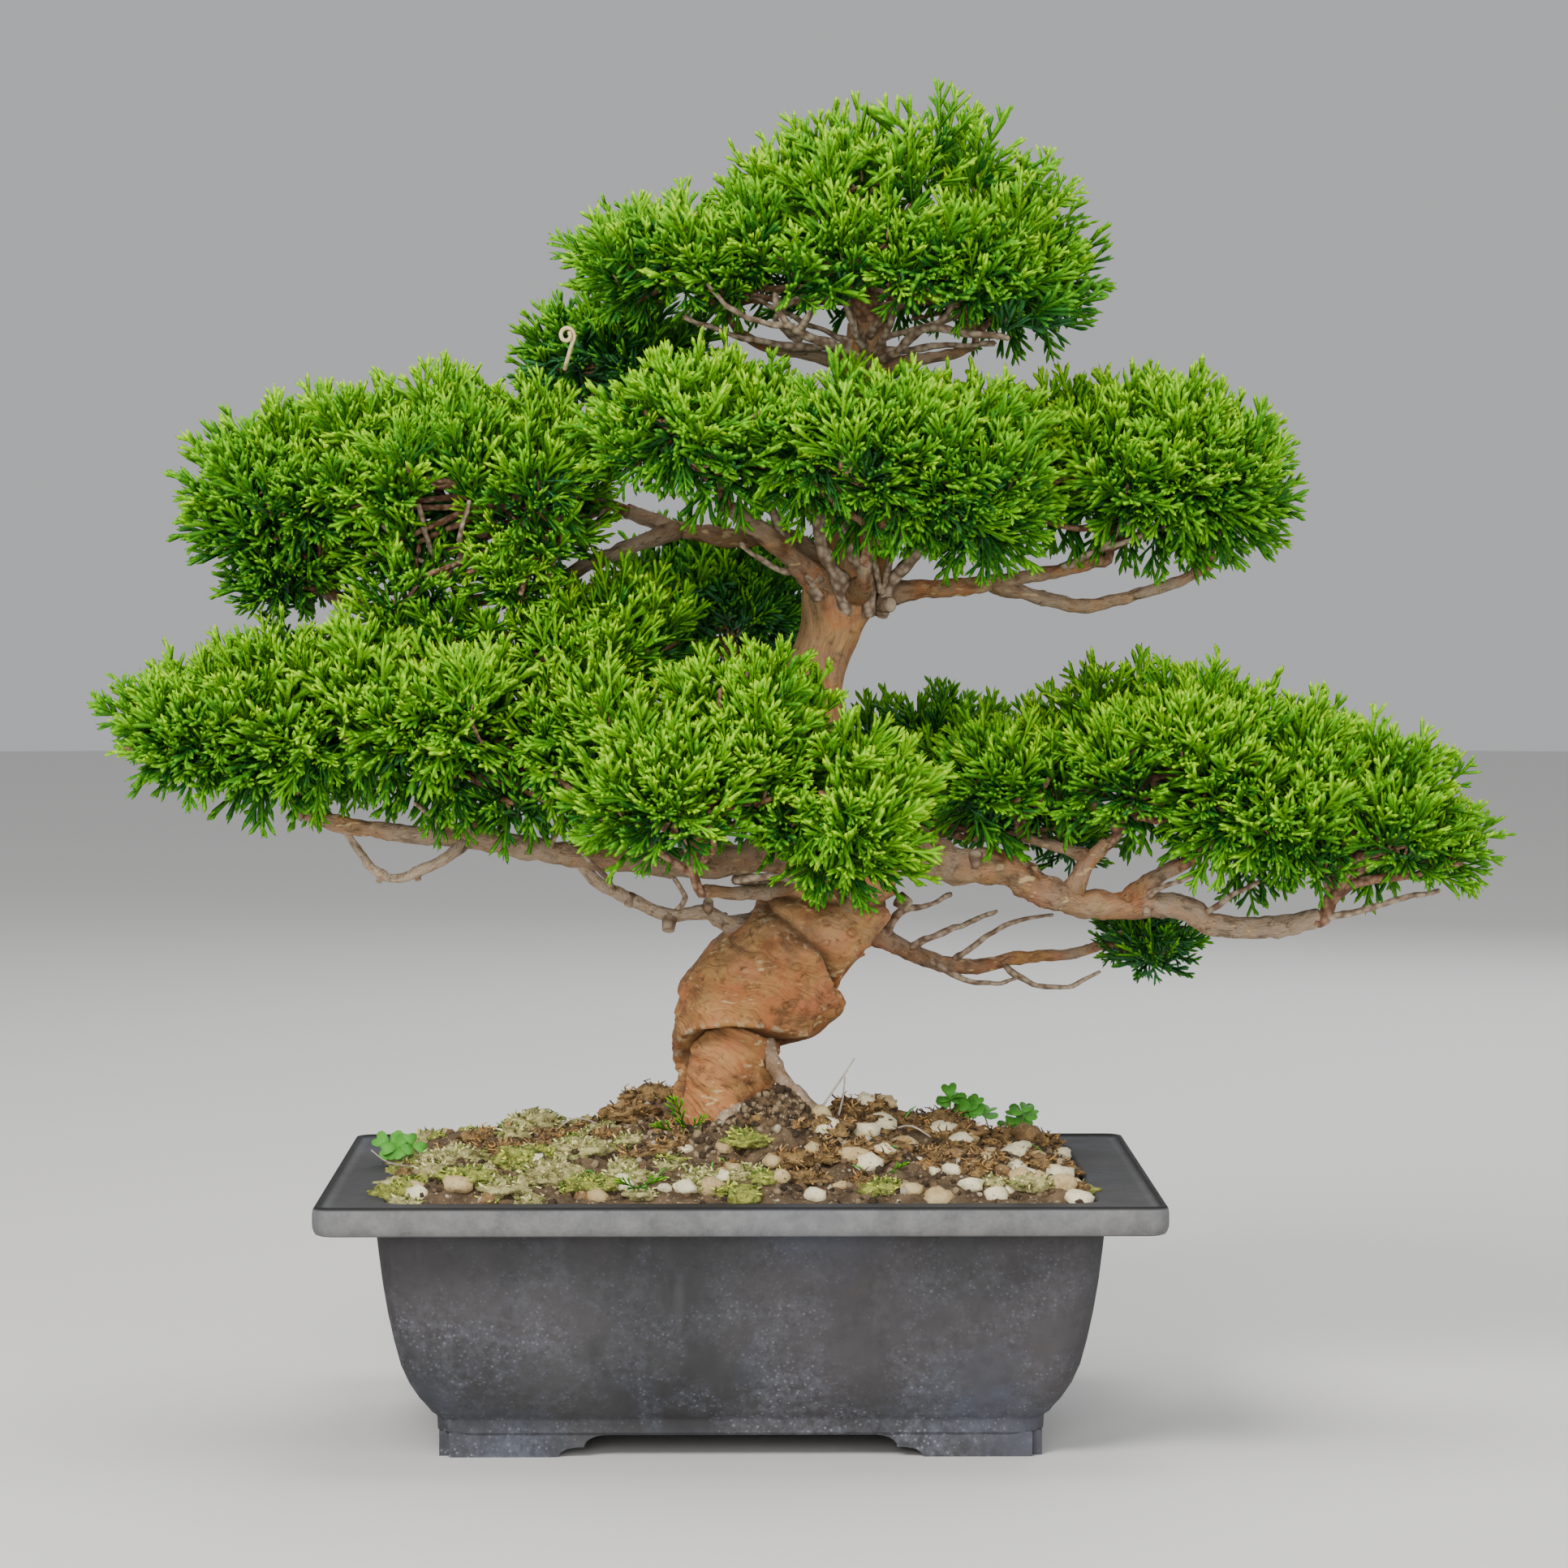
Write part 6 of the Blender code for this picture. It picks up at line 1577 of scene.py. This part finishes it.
SEGMENT_STARTS, SEGMENT_RUNS, SEGMENT_RADII = limb_segments()


def clear_of_limbs(points, margin):
    """Whether points are clear of the trunk and every bough."""
    square = (SEGMENT_RUNS ** 2).sum(axis=1)
    clear = np.ones(len(points), dtype=bool)
    for first in range(0, len(points), CHUNK):
        off = points[first:first + CHUNK, None, :] - SEGMENT_STARTS
        part = np.clip((off * SEGMENT_RUNS).sum(axis=2) / square, 0.0, 1.0)
        gap = np.linalg.norm(off - part[:, :, None] * SEGMENT_RUNS, axis=2)
        clear[first:first + CHUNK] = (gap > SEGMENT_RADII + margin).all(axis=1)
    return clear


def shoot(bm, start, way, length, radius, shade):
    """One leafy shoot: a three-sided rod with a swelling before its blunt tip, which is a shade lighter."""
    straight = length * SHOOT_STRAIGHT
    turn = way.to_track_quat("Z", "Y").to_matrix().to_4x4()
    made = bmesh.ops.create_cone(
        bm, cap_ends=True, segments=3, radius1=radius * 0.85, radius2=radius * 1.08, depth=straight,
        matrix=Matrix.Translation(start) @ turn @ Matrix.Translation((0, 0, straight / 2)))
    faces = {face for vert in made["verts"] for face in vert.link_faces}
    for face in faces:
        face.material_index = shade
    end = start + way * straight
    caps = [face for face in faces if len(face.verts) == 3]
    tip = bmesh.ops.poke(bm, faces=[min(caps, key=lambda face: (face.calc_center_median() - end).length)])
    for face in tip["faces"]:
        face.material_index = shade + 1
    tip["verts"][0].co = start + way * length


def spray_shape(chance, radius):
    """A flat plume of leafy shoots: a bent axis with alternate side shoots, most of them forked."""
    bm = bmesh.new()
    bend = chance.uniform(-0.22, 0.22)
    knee = Vector((bend * 4.0, chance.uniform(-1.2, 1.2), KNEE))
    end_way = Vector((-bend, chance.uniform(-0.15, 0.15), 1.0)).normalized()
    first_way = knee.normalized()
    # The axis's foot takes a deeper shade than its end: partly older growth, partly painted shade inside the tuft
    shoot(bm, Vector(), first_way, knee.length * 1.12, radius * 0.9, 1)
    shoot(bm, knee, end_way, SPRAY_NOMINAL - KNEE, radius, 3)
    side = chance.choice((-1, 1))
    for number, (run, length, shade) in enumerate(SIDE_SHOOTS):
        side = -side
        run += chance.uniform(-0.9, 0.9)
        start = first_way * run if run < KNEE else knee + end_way * (run - KNEE)
        lean = math.radians(chance.uniform(21, 37))
        way = Vector((side * math.sin(lean), chance.uniform(-0.3, 0.3), math.cos(lean))).normalized()
        reach = length * chance.uniform(0.82, 1.15)
        shoot(bm, start, way, reach, radius * 0.95, shade)
        if number < FORKED and chance.random() < 0.8:
            turn = math.radians(chance.choice((-29, -24, 24, 29)))
            fork = Matrix.Rotation(turn, 3, "Y") @ way
            fork = (fork + Vector((0, chance.uniform(-0.3, 0.3), 0.1))).normalized()
            start += way * (reach * chance.uniform(0.34, 0.5))
            shoot(bm, start, fork, reach * 0.52, radius * 0.9, shade)
    return arrays_of(bm)


def pad_stem(pad):
    """Foot, neck and goal of a pad's stem, and its radius at the foot."""
    carrier, lobes = PADS[pad]
    if carrier == "trunk":
        tip, radius, along = Vector(TRUNK_TIP), TRUNK_TIP_RADIUS, Vector((0, 0, 1))
    else:
        stations = LIMBS[carrier]
        tip, radius = stations[-1]
        along = (tip - stations[-2][0]).normalized()
    neck = tip + along * STEM_NECK
    lobe = min(lobes, key=lambda each: (Vector(each[:3]) - tip).length)
    goal = neck.lerp(Vector(lobe[:3]), STEM_IN)
    goal.z = max(goal.z, lobe[2] - STEM_LOWEST * lobe[6])
    return tip - along * 1.5, neck, goal, radius


def tufts_of(pad, look):
    """Where a pad's tufts start, how they point, how the crown faces there, and how deep they start."""
    chance = random.Random(FIRST_SEED + PAD_NAMES.index(pad))
    tufts = []
    first_lobe = int(np.flatnonzero(LOBE_PAD == PAD_NAMES.index(pad))[0])
    for place, lobe in enumerate(PADS[pad][1], first_lobe):
        middle = Vector(lobe[:3])
        mean = (lobe[3] * lobe[4] * (lobe[5] + lobe[6]) / 2) ** (1 / 3)
        count = max(FEWEST_TUFTS, round(4 * math.pi * mean ** 2 / look.tuft_space ** 2))
        for number in range(count):
            height = 1 - 2 * (number + 0.5) / count
            flat = math.sqrt(1 - height * height)
            turn = GOLDEN_ANGLE * number + chance.uniform(-0.3, 0.3)
            height += chance.uniform(-0.04, 0.04)
            direction = Vector((flat * math.cos(turn), flat * math.sin(turn), height)).normalized()
            if direction.z < -0.6 and chance.random() < OPEN_BELOW:
                continue
            reach = (lobe[3], lobe[4], lobe[5] if direction.z > 0 else lobe[6] + HANG)
            outward = Vector([part / most for part, most in zip(direction, reach)]).normalized()
            lump = 0.97 + 0.26 * noise.noise(direction * 2.3 + middle / 10.0) + chance.uniform(-0.08, 0.08)
            surface = middle + Vector([part * most for part, most in zip(direction, reach)]) * min(1.1, lump)
            if np.delete(lobe_shares(np.array([surface]))[0], place).min() < HIDDEN:
                continue
            if any(surface.y < back and math.hypot((surface.x - x) / wide, (surface.z - z) / high) < 1
                   for x, z, wide, high, back in OPENINGS):
                continue
            outward = outward.lerp(facing(surface), 0.75).normalized()
            surface += outward * chance.choice((-6.0, -2.0, 0.0, 0.0, 1.0, 3.0))
            depth = min(TUFT_DEPTH * chance.uniform(0.85, 1.15), 0.85 * (surface - middle).length)
            rise = UPRIGHT * max(0.0, min(1.0, 0.56 + 0.72 * direction.z))
            way = (0.6 * outward + Vector((0, 0, rise)) + drawn(chance, 0.3, 0.3, 0.3)).normalized()
            foot = surface - outward.lerp(way, 0.65).normalized() * depth
            tufts.append((*foot, *way, *outward, depth))
    tufts = np.array(tufts)
    tufts = tufts[in_own_space(tufts[:, :3], pad, 0.98, 0.12) & clear_of_limbs(tufts[:, :3], LIMB_GAP)]
    return tufts[:, :3], tufts[:, 3:6], tufts[:, 6:9], tufts[:, 9]


def grow_sprays(pad, look, shapes):
    """A pad's sprays: each tuft fans out from its foot, within the pad's own space and clear of limbs."""
    generator = np.random.default_rng(FIRST_SEED + 200 + PAD_NAMES.index(pad))
    count = look.sprays
    feet, axis, outs, reach = (np.repeat(each, count, axis=0) for each in tufts_of(pad, look))
    total = len(feet)
    number = np.tile(np.arange(count), total // count)
    leader = number == 0
    side = np.cross(axis, generator.normal(size=(total, 3)))
    side /= np.linalg.norm(side, axis=1, keepdims=True)
    side = side[leader].repeat(count, axis=0)
    turn = generator.uniform(0, math.tau, total // count).repeat(count)
    turn += number * math.tau / max(1, count - 1)
    tilt = np.radians(np.where(leader, generator.uniform(0, 10, total), generator.uniform(20, 62, total)))
    fan = np.cos(turn)[:, None] * side + np.sin(turn)[:, None] * np.cross(axis, side)
    way = np.cos(tilt)[:, None] * axis + np.sin(tilt)[:, None] * fan
    share = np.where(leader, generator.uniform(1.0, 1.15, total), generator.uniform(0.82, 1.08, total))
    length = np.clip(reach * share + 1.5, *SPRAY_LENGTHS)
    start = feet + fan * generator.uniform(0.0, 1.5, total)[:, None]
    start += way * generator.uniform(-1.0, 1.5, total)[:, None]

    # A spray that doesn't fit its pad's space is shortened, and left out if that isn't enough
    alive = np.zeros(total, dtype=bool)
    size = length.copy()
    for shrink in (1.0, 0.84, 0.7):
        trial = length * shrink
        fits = np.ones(total, dtype=bool)
        for share in (0.35, 0.7, 1.0):
            probe = start + way * (trial * share)[:, None]
            fits &= in_own_space(probe, pad, 1.16, 0.26) & clear_of_limbs(probe, LIMB_GAP)
        fresh = fits & ~alive
        size[fresh] = trial[fresh]
        alive |= fits
    start, way, size, outs = start[alive], way[alive], size[alive], outs[alive]

    total = len(start)
    helper = generator.normal(size=(total, 3)) * 0.6 + np.cross(way, np.array((0.0, 0.0, 1.0)))
    across = helper - way * (helper * way).sum(axis=1, keepdims=True)
    across /= np.linalg.norm(across, axis=1, keepdims=True) + 1e-9
    scale = size / SPRAY_NOMINAL
    wide = (scale * generator.uniform(0.85, 1.15, total))[:, None]
    turns = np.stack((across * wide, np.cross(way, across) * wide, way * scale[:, None]), axis=2)

    # Painted light and shade: brightest on the tops and fronts, deep and bluish below and behind, and the low sprays
    # at the front lit more
    mood = generator.normal(0, 0.34, len(alive) // count)[np.flatnonzero(alive) // count]
    lit = 0.8 * outs[:, 2] - 0.2 * outs[:, 1] + 0.3 * (way[:, 2] - 0.4) + mood
    lit += generator.normal(0, 0.22, total)
    lit += 0.4 * (start[:, 1] < -36) * (start[:, 2] < 300)
    steps = np.where(lit > 0.62, 1, np.where(lit > -0.3, 0, -1))
    # Painted shade: the back pads step one or two shades deeper
    if pad in BACK_PADS:
        steps = steps - 1 - (generator.random(total) < 0.3)
    kinds = generator.integers(0, len(shapes), total)
    return [strew(shape, turns[kinds == kind], start[kinds == kind], steps[kinds == kind])
            for kind, shape in enumerate(shapes) if (kinds == kind).any()]


def grow_twigs(pad, look):
    """A pad's stem, its main twigs and the fine twig to every tuft, as arrays by thickness."""
    chance = random.Random(FIRST_SEED + 400 + PAD_NAMES.index(pad))
    foot, neck, goal, radius = pad_stem(pad)
    stem = [foot, neck, neck.lerp(goal, 0.5) + drawn(chance, 1.5, 1.5, 1.5), goal]
    parts = [limb_rod(limb_stations(radius * 0.98, radius * 0.6, stem, 3.0, 0.25), 9)]
    limbs = []
    for lobe in PADS[pad][1]:
        middle = Vector(lobe[:3])
        count = 7 if lobe[3] > 36 else 5
        for number in range(count):
            angle = math.tau * (number + chance.uniform(-0.25, 0.25)) / count
            rise = chance.uniform(-0.42, 0.30)
            end = middle + Vector((0.62 * lobe[3] * math.cos(angle), 0.62 * lobe[4] * math.sin(angle),
                                   rise * (lobe[5] if rise > 0 else lobe[6])))
            base = neck.lerp(goal, chance.uniform(0.1, 1.0))
            bow = base.lerp(end, 0.5) + drawn(chance, 4, 4, (-3, 2))
            limbs.append((base, base.lerp(bow, 0.55) + Vector((0, 0, 1.0)), bow, end))
        top = middle + Vector((*drawn(chance, 5, 5), 0.45 * lobe[5]))
        limbs.append((goal, goal.lerp(top, 0.35), goal.lerp(top, 0.7), top))
    shares = np.linspace(0.0, 1.0, TWIG_POINTS)
    fine = np.array([[between(route, 3.0 * share) for share in shares] for route in limbs])
    sway = np.array([[noise.noise_vector(Vector(point) / 9.0) for point in route] for route in fine]) * 1.6
    fine += sway * shares[None, :, None]
    radii = np.linspace(min(2.5, radius * 0.75), 1.0, TWIG_POINTS)
    parts.append(rods(fine, np.tile(radii, (len(fine), 1)), 6))

    joints = fine[:, 2:].reshape(-1, 3)
    feet, ways, _, _ = tufts_of(pad, look)
    gaps = np.linalg.norm(feet[:, None, :] - joints[None], axis=2)
    nearest = joints[gaps.argmin(axis=1)]
    middle = (nearest + feet) / 2 - ways * 2.0
    routes = np.stack((nearest, middle, feet - ways * 0.5, feet + ways * 5.0), axis=1)
    parts.append(rods(routes, np.tile(np.array((0.95, 0.8, 0.72, 0.5)), (len(feet), 1)), 4))
    return parts


def make_foliage(look):
    """The sprays of every pad, one piece for each."""
    chance = random.Random(FIRST_SEED)
    shapes = [spray_shape(chance, look.shoot / 2) for _ in range(SPRAY_KINDS)]
    materials = leaf_materials(look)
    for pad in PADS:
        finish_arrays(f"{pad}_leaves", grow_sprays(pad, look, shapes), materials, [pad])


def curled_twig():
    """The dry twig that curls under the top pad, drawn as it shows from the front."""
    turns = np.linspace(0.0, 1.0, 22)
    swing = math.tau * (1.25 * turns - 0.12)
    curl = np.stack((-62.5 + (2.9 - 1.7 * turns) * np.cos(swing), 401.0 + (3.3 - 2.0 * turns) * np.sin(swing),
                     34.0 + 1.6 * turns), axis=1)
    curl = np.concatenate((np.array([(-63.4, 389.0, 30.0), (-61.6, 394.6, 33.4)]), curl))
    points, corners, shades = rods(curl[None], np.full((1, len(curl)), 0.8), 6, 1)
    return points[:, (0, 2, 1)] * (1, -1, 1), corners, shades


def make_twigs(look):
    """The twigs inside the pads, in one piece for each tier, and the bare twigs between them."""
    noise.seed_set(FIRST_SEED)
    young = twig_material("twig_bark", (0.30, 0.155, 0.075), (0.12, 0.055, 0.028))
    tiers = {name: [] for name, _ in reversed(TIERS)}
    for pad, (_, lobes) in PADS.items():
        tier = next(name for name, lowest in TIERS if lobes[0][2] > lowest)
        tiers[tier] += grow_twigs(pad, look)
    for tier, parts in tiers.items():
        finish_arrays(f"twigs_{tier}", parts, [young])
    parts = [limb_rod(limb_stations(first, last, route, 2.2, 0.3), 9, sway=0.8, rough=0.25, grain=2.4)
             for first, last, route in BARE_TWIGS]
    finish_arrays("twigs_bare", parts + [curled_twig()], [
        twig_material("twig_bare", (0.40, 0.31, 0.215), (0.16, 0.10, 0.065), 360.0),
        twig_material("twig_dry", (0.80, 0.66, 0.36), (0.62, 0.46, 0.22), 300.0)])


def make_fallen_sprigs(look):
    """A sprig of juniper at the trunk's foot and one lying at the front."""
    chance = random.Random(FIRST_SEED + 9)
    shapes = [spray_shape(chance, look.shoot / 2) for _ in range(2)]
    parts = []
    for place, way, size, roll in SPRIGS:
        turn = Vector(way).to_track_quat("Z", "Y").to_matrix() @ Matrix.Rotation(roll, 3, "Z")
        parts.append(strew(chance.choice(shapes), np.array([size * turn]), np.array([place])))
    finish_arrays("soil_sprigs", parts, leaf_materials(look))


# Stage
def set_stage():
    """Pale floor, soft lights and the camera at the photograph's viewing angle."""
    scene = bpy.context.scene
    bm = bmesh.new()
    bmesh.ops.create_circle(bm, cap_ends=True, segments=96, radius=FLOOR_RADIUS)
    mesh = bpy.data.meshes.new("floor")
    bm.to_mesh(mesh)
    bm.free()
    floor = bpy.data.objects.new("floor", mesh)
    scene.collection.objects.link(floor)
    mesh.materials.append(Finish("floor_pale", 0.5).made((0.70, 0.69, 0.67), 0.8))

    world = bpy.data.worlds.new("studio")
    scene.world = world
    world.use_nodes = True
    sky = world.node_tree.nodes["Background"].inputs
    sky["Color"].default_value = (0.86, 0.87, 0.89, 1.0)
    sky["Strength"].default_value = 0.55

    for name, place, size, power, colour in LIGHTS:
        light = bpy.data.lights.new(name, "AREA")
        light.shape = "DISK"
        light.size = size
        light.energy = power
        light.color = colour
        lamp = bpy.data.objects.new(name, light)
        scene.collection.objects.link(lamp)
        lamp.location = place
        lamp.rotation_euler = (Vector(LIGHTS_AIM) - Vector(place)).to_track_quat("-Z", "Y").to_euler()

    lens = bpy.data.cameras.new("photo_view")
    lens.sensor_width = SENSOR
    lens.lens = SENSOR * PHOTO_FOCAL / PHOTO_WIDTH
    lens.clip_start = 0.1
    lens.clip_end = 50.0
    camera = bpy.data.objects.new("photo_view", lens)
    scene.collection.objects.link(camera)
    camera.location = CAMERA_PLACE
    camera.rotation_euler = (math.radians(90.0 - CAMERA_DOWN), 0.0, math.radians(-CAMERA_RIGHT))
    scene.camera = camera


# Operators
class BonsaiOperator:
    bl_options = {"REGISTER", "UNDO"}


class BONSAI_OT_pot(BonsaiOperator, bpy.types.Operator):
    """Make the pot with its rim, bracket feet and drain holes"""
    bl_idname = "bonsai.make_pot"
    bl_label = "Make pot"

    def execute(self, context):
        make_pot(context.scene.bonsai_pot)
        return {"FINISHED"}


class BONSAI_OT_soil(BonsaiOperator, bpy.types.Operator):
    """Fill the pot with lumpy soil"""
    bl_idname = "bonsai.fill_soil"
    bl_label = "Fill with soil"

    def execute(self, context):
        make_ground(context.scene.bonsai_ground)
        return {"FINISHED"}


class BONSAI_OT_strew(BonsaiOperator, bpy.types.Operator):
    """Strew pebbles, grit, moss, dead twigs and seedlings on the soil"""
    bl_idname = "bonsai.strew_soil"
    bl_label = "Dress the soil"

    def execute(self, context):
        strew_on_soil(context.scene.bonsai_ground)
        make_fallen_sprigs(context.scene.bonsai_leaf)
        return {"FINISHED"}


class BONSAI_OT_trunk(BonsaiOperator, bpy.types.Operator):
    """Grow the twisted trunk with its folds, and the pale roots"""
    bl_idname = "bonsai.grow_trunk"
    bl_label = "Grow trunk"

    def execute(self, context):
        make_trunk(context.scene.bonsai_bark)
        return {"FINISHED"}


class BONSAI_OT_boughs(BonsaiOperator, bpy.types.Operator):
    """Grow every bough, with its stubs and old cuts"""
    bl_idname = "bonsai.grow_boughs"
    bl_label = "Grow boughs"

    def execute(self, context):
        make_boughs(context.scene.bonsai_bark)
        return {"FINISHED"}


class BONSAI_OT_twigs(BonsaiOperator, bpy.types.Operator):
    """Grow the twigs that carry the sprays"""
    bl_idname = "bonsai.grow_twigs"
    bl_label = "Grow twigs"

    def execute(self, context):
        make_twigs(context.scene.bonsai_leaf)
        return {"FINISHED"}


class BONSAI_OT_foliage(BonsaiOperator, bpy.types.Operator):
    """Clothe every pad in sprays of scale leaves"""
    bl_idname = "bonsai.grow_foliage"
    bl_label = "Grow foliage"

    def execute(self, context):
        make_foliage(context.scene.bonsai_leaf)
        return {"FINISHED"}


class BONSAI_OT_stage(BonsaiOperator, bpy.types.Operator):
    """Set the pale floor, the soft lights and the camera"""
    bl_idname = "bonsai.set_stage"
    bl_label = "Set stage"

    def execute(self, context):
        set_stage()
        return {"FINISHED"}


class BONSAI_PT_panel(bpy.types.Panel):
    """Lists the steps that build the plant and the looks that they use"""
    bl_idname = "BONSAI_PT_panel"
    bl_label = "Bonsai juniper"
    bl_space_type = "VIEW_3D"
    bl_region_type = "UI"
    bl_category = "Bonsai"

    def draw(self, context):
        for look, steps in (
                ("bonsai_pot", ("make_pot",)), ("bonsai_ground", ("fill_soil", "strew_soil")),
                ("bonsai_bark", ("grow_trunk", "grow_boughs")), ("bonsai_leaf", ("grow_twigs", "grow_foliage"))):
            box = self.layout.box()
            settings = getattr(context.scene, look)
            for name in settings.__annotations__:
                box.prop(settings, name)
            for step in steps:
                box.operator(f"bonsai.{step}")
        self.layout.operator("bonsai.set_stage")


CLASSES = (
    BonsaiPotLook, BonsaiBarkLook, BonsaiLeafLook, BonsaiGroundLook, BONSAI_OT_pot, BONSAI_OT_soil,
    BONSAI_OT_strew, BONSAI_OT_trunk, BONSAI_OT_boughs, BONSAI_OT_twigs, BONSAI_OT_foliage, BONSAI_OT_stage,
    BONSAI_PT_panel)
LOOKS = {
    "bonsai_pot": BonsaiPotLook, "bonsai_bark": BonsaiBarkLook, "bonsai_leaf": BonsaiLeafLook,
    "bonsai_ground": BonsaiGroundLook}


def register():
    for each in CLASSES:
        bpy.utils.register_class(each)
    for name, kind in LOOKS.items():
        setattr(bpy.types.Scene, name, PointerProperty(type=kind))


def unregister():
    for name in LOOKS:
        delattr(bpy.types.Scene, name)
    for each in reversed(CLASSES):
        bpy.utils.unregister_class(each)


def main():
    register()
    bpy.ops.bonsai.make_pot()
    bpy.ops.bonsai.fill_soil()
    bpy.ops.bonsai.strew_soil()
    bpy.ops.bonsai.grow_trunk()
    bpy.ops.bonsai.grow_boughs()
    bpy.ops.bonsai.grow_twigs()
    bpy.ops.bonsai.grow_foliage()
    bpy.ops.bonsai.set_stage()


if __name__ == "__main__":
    main()
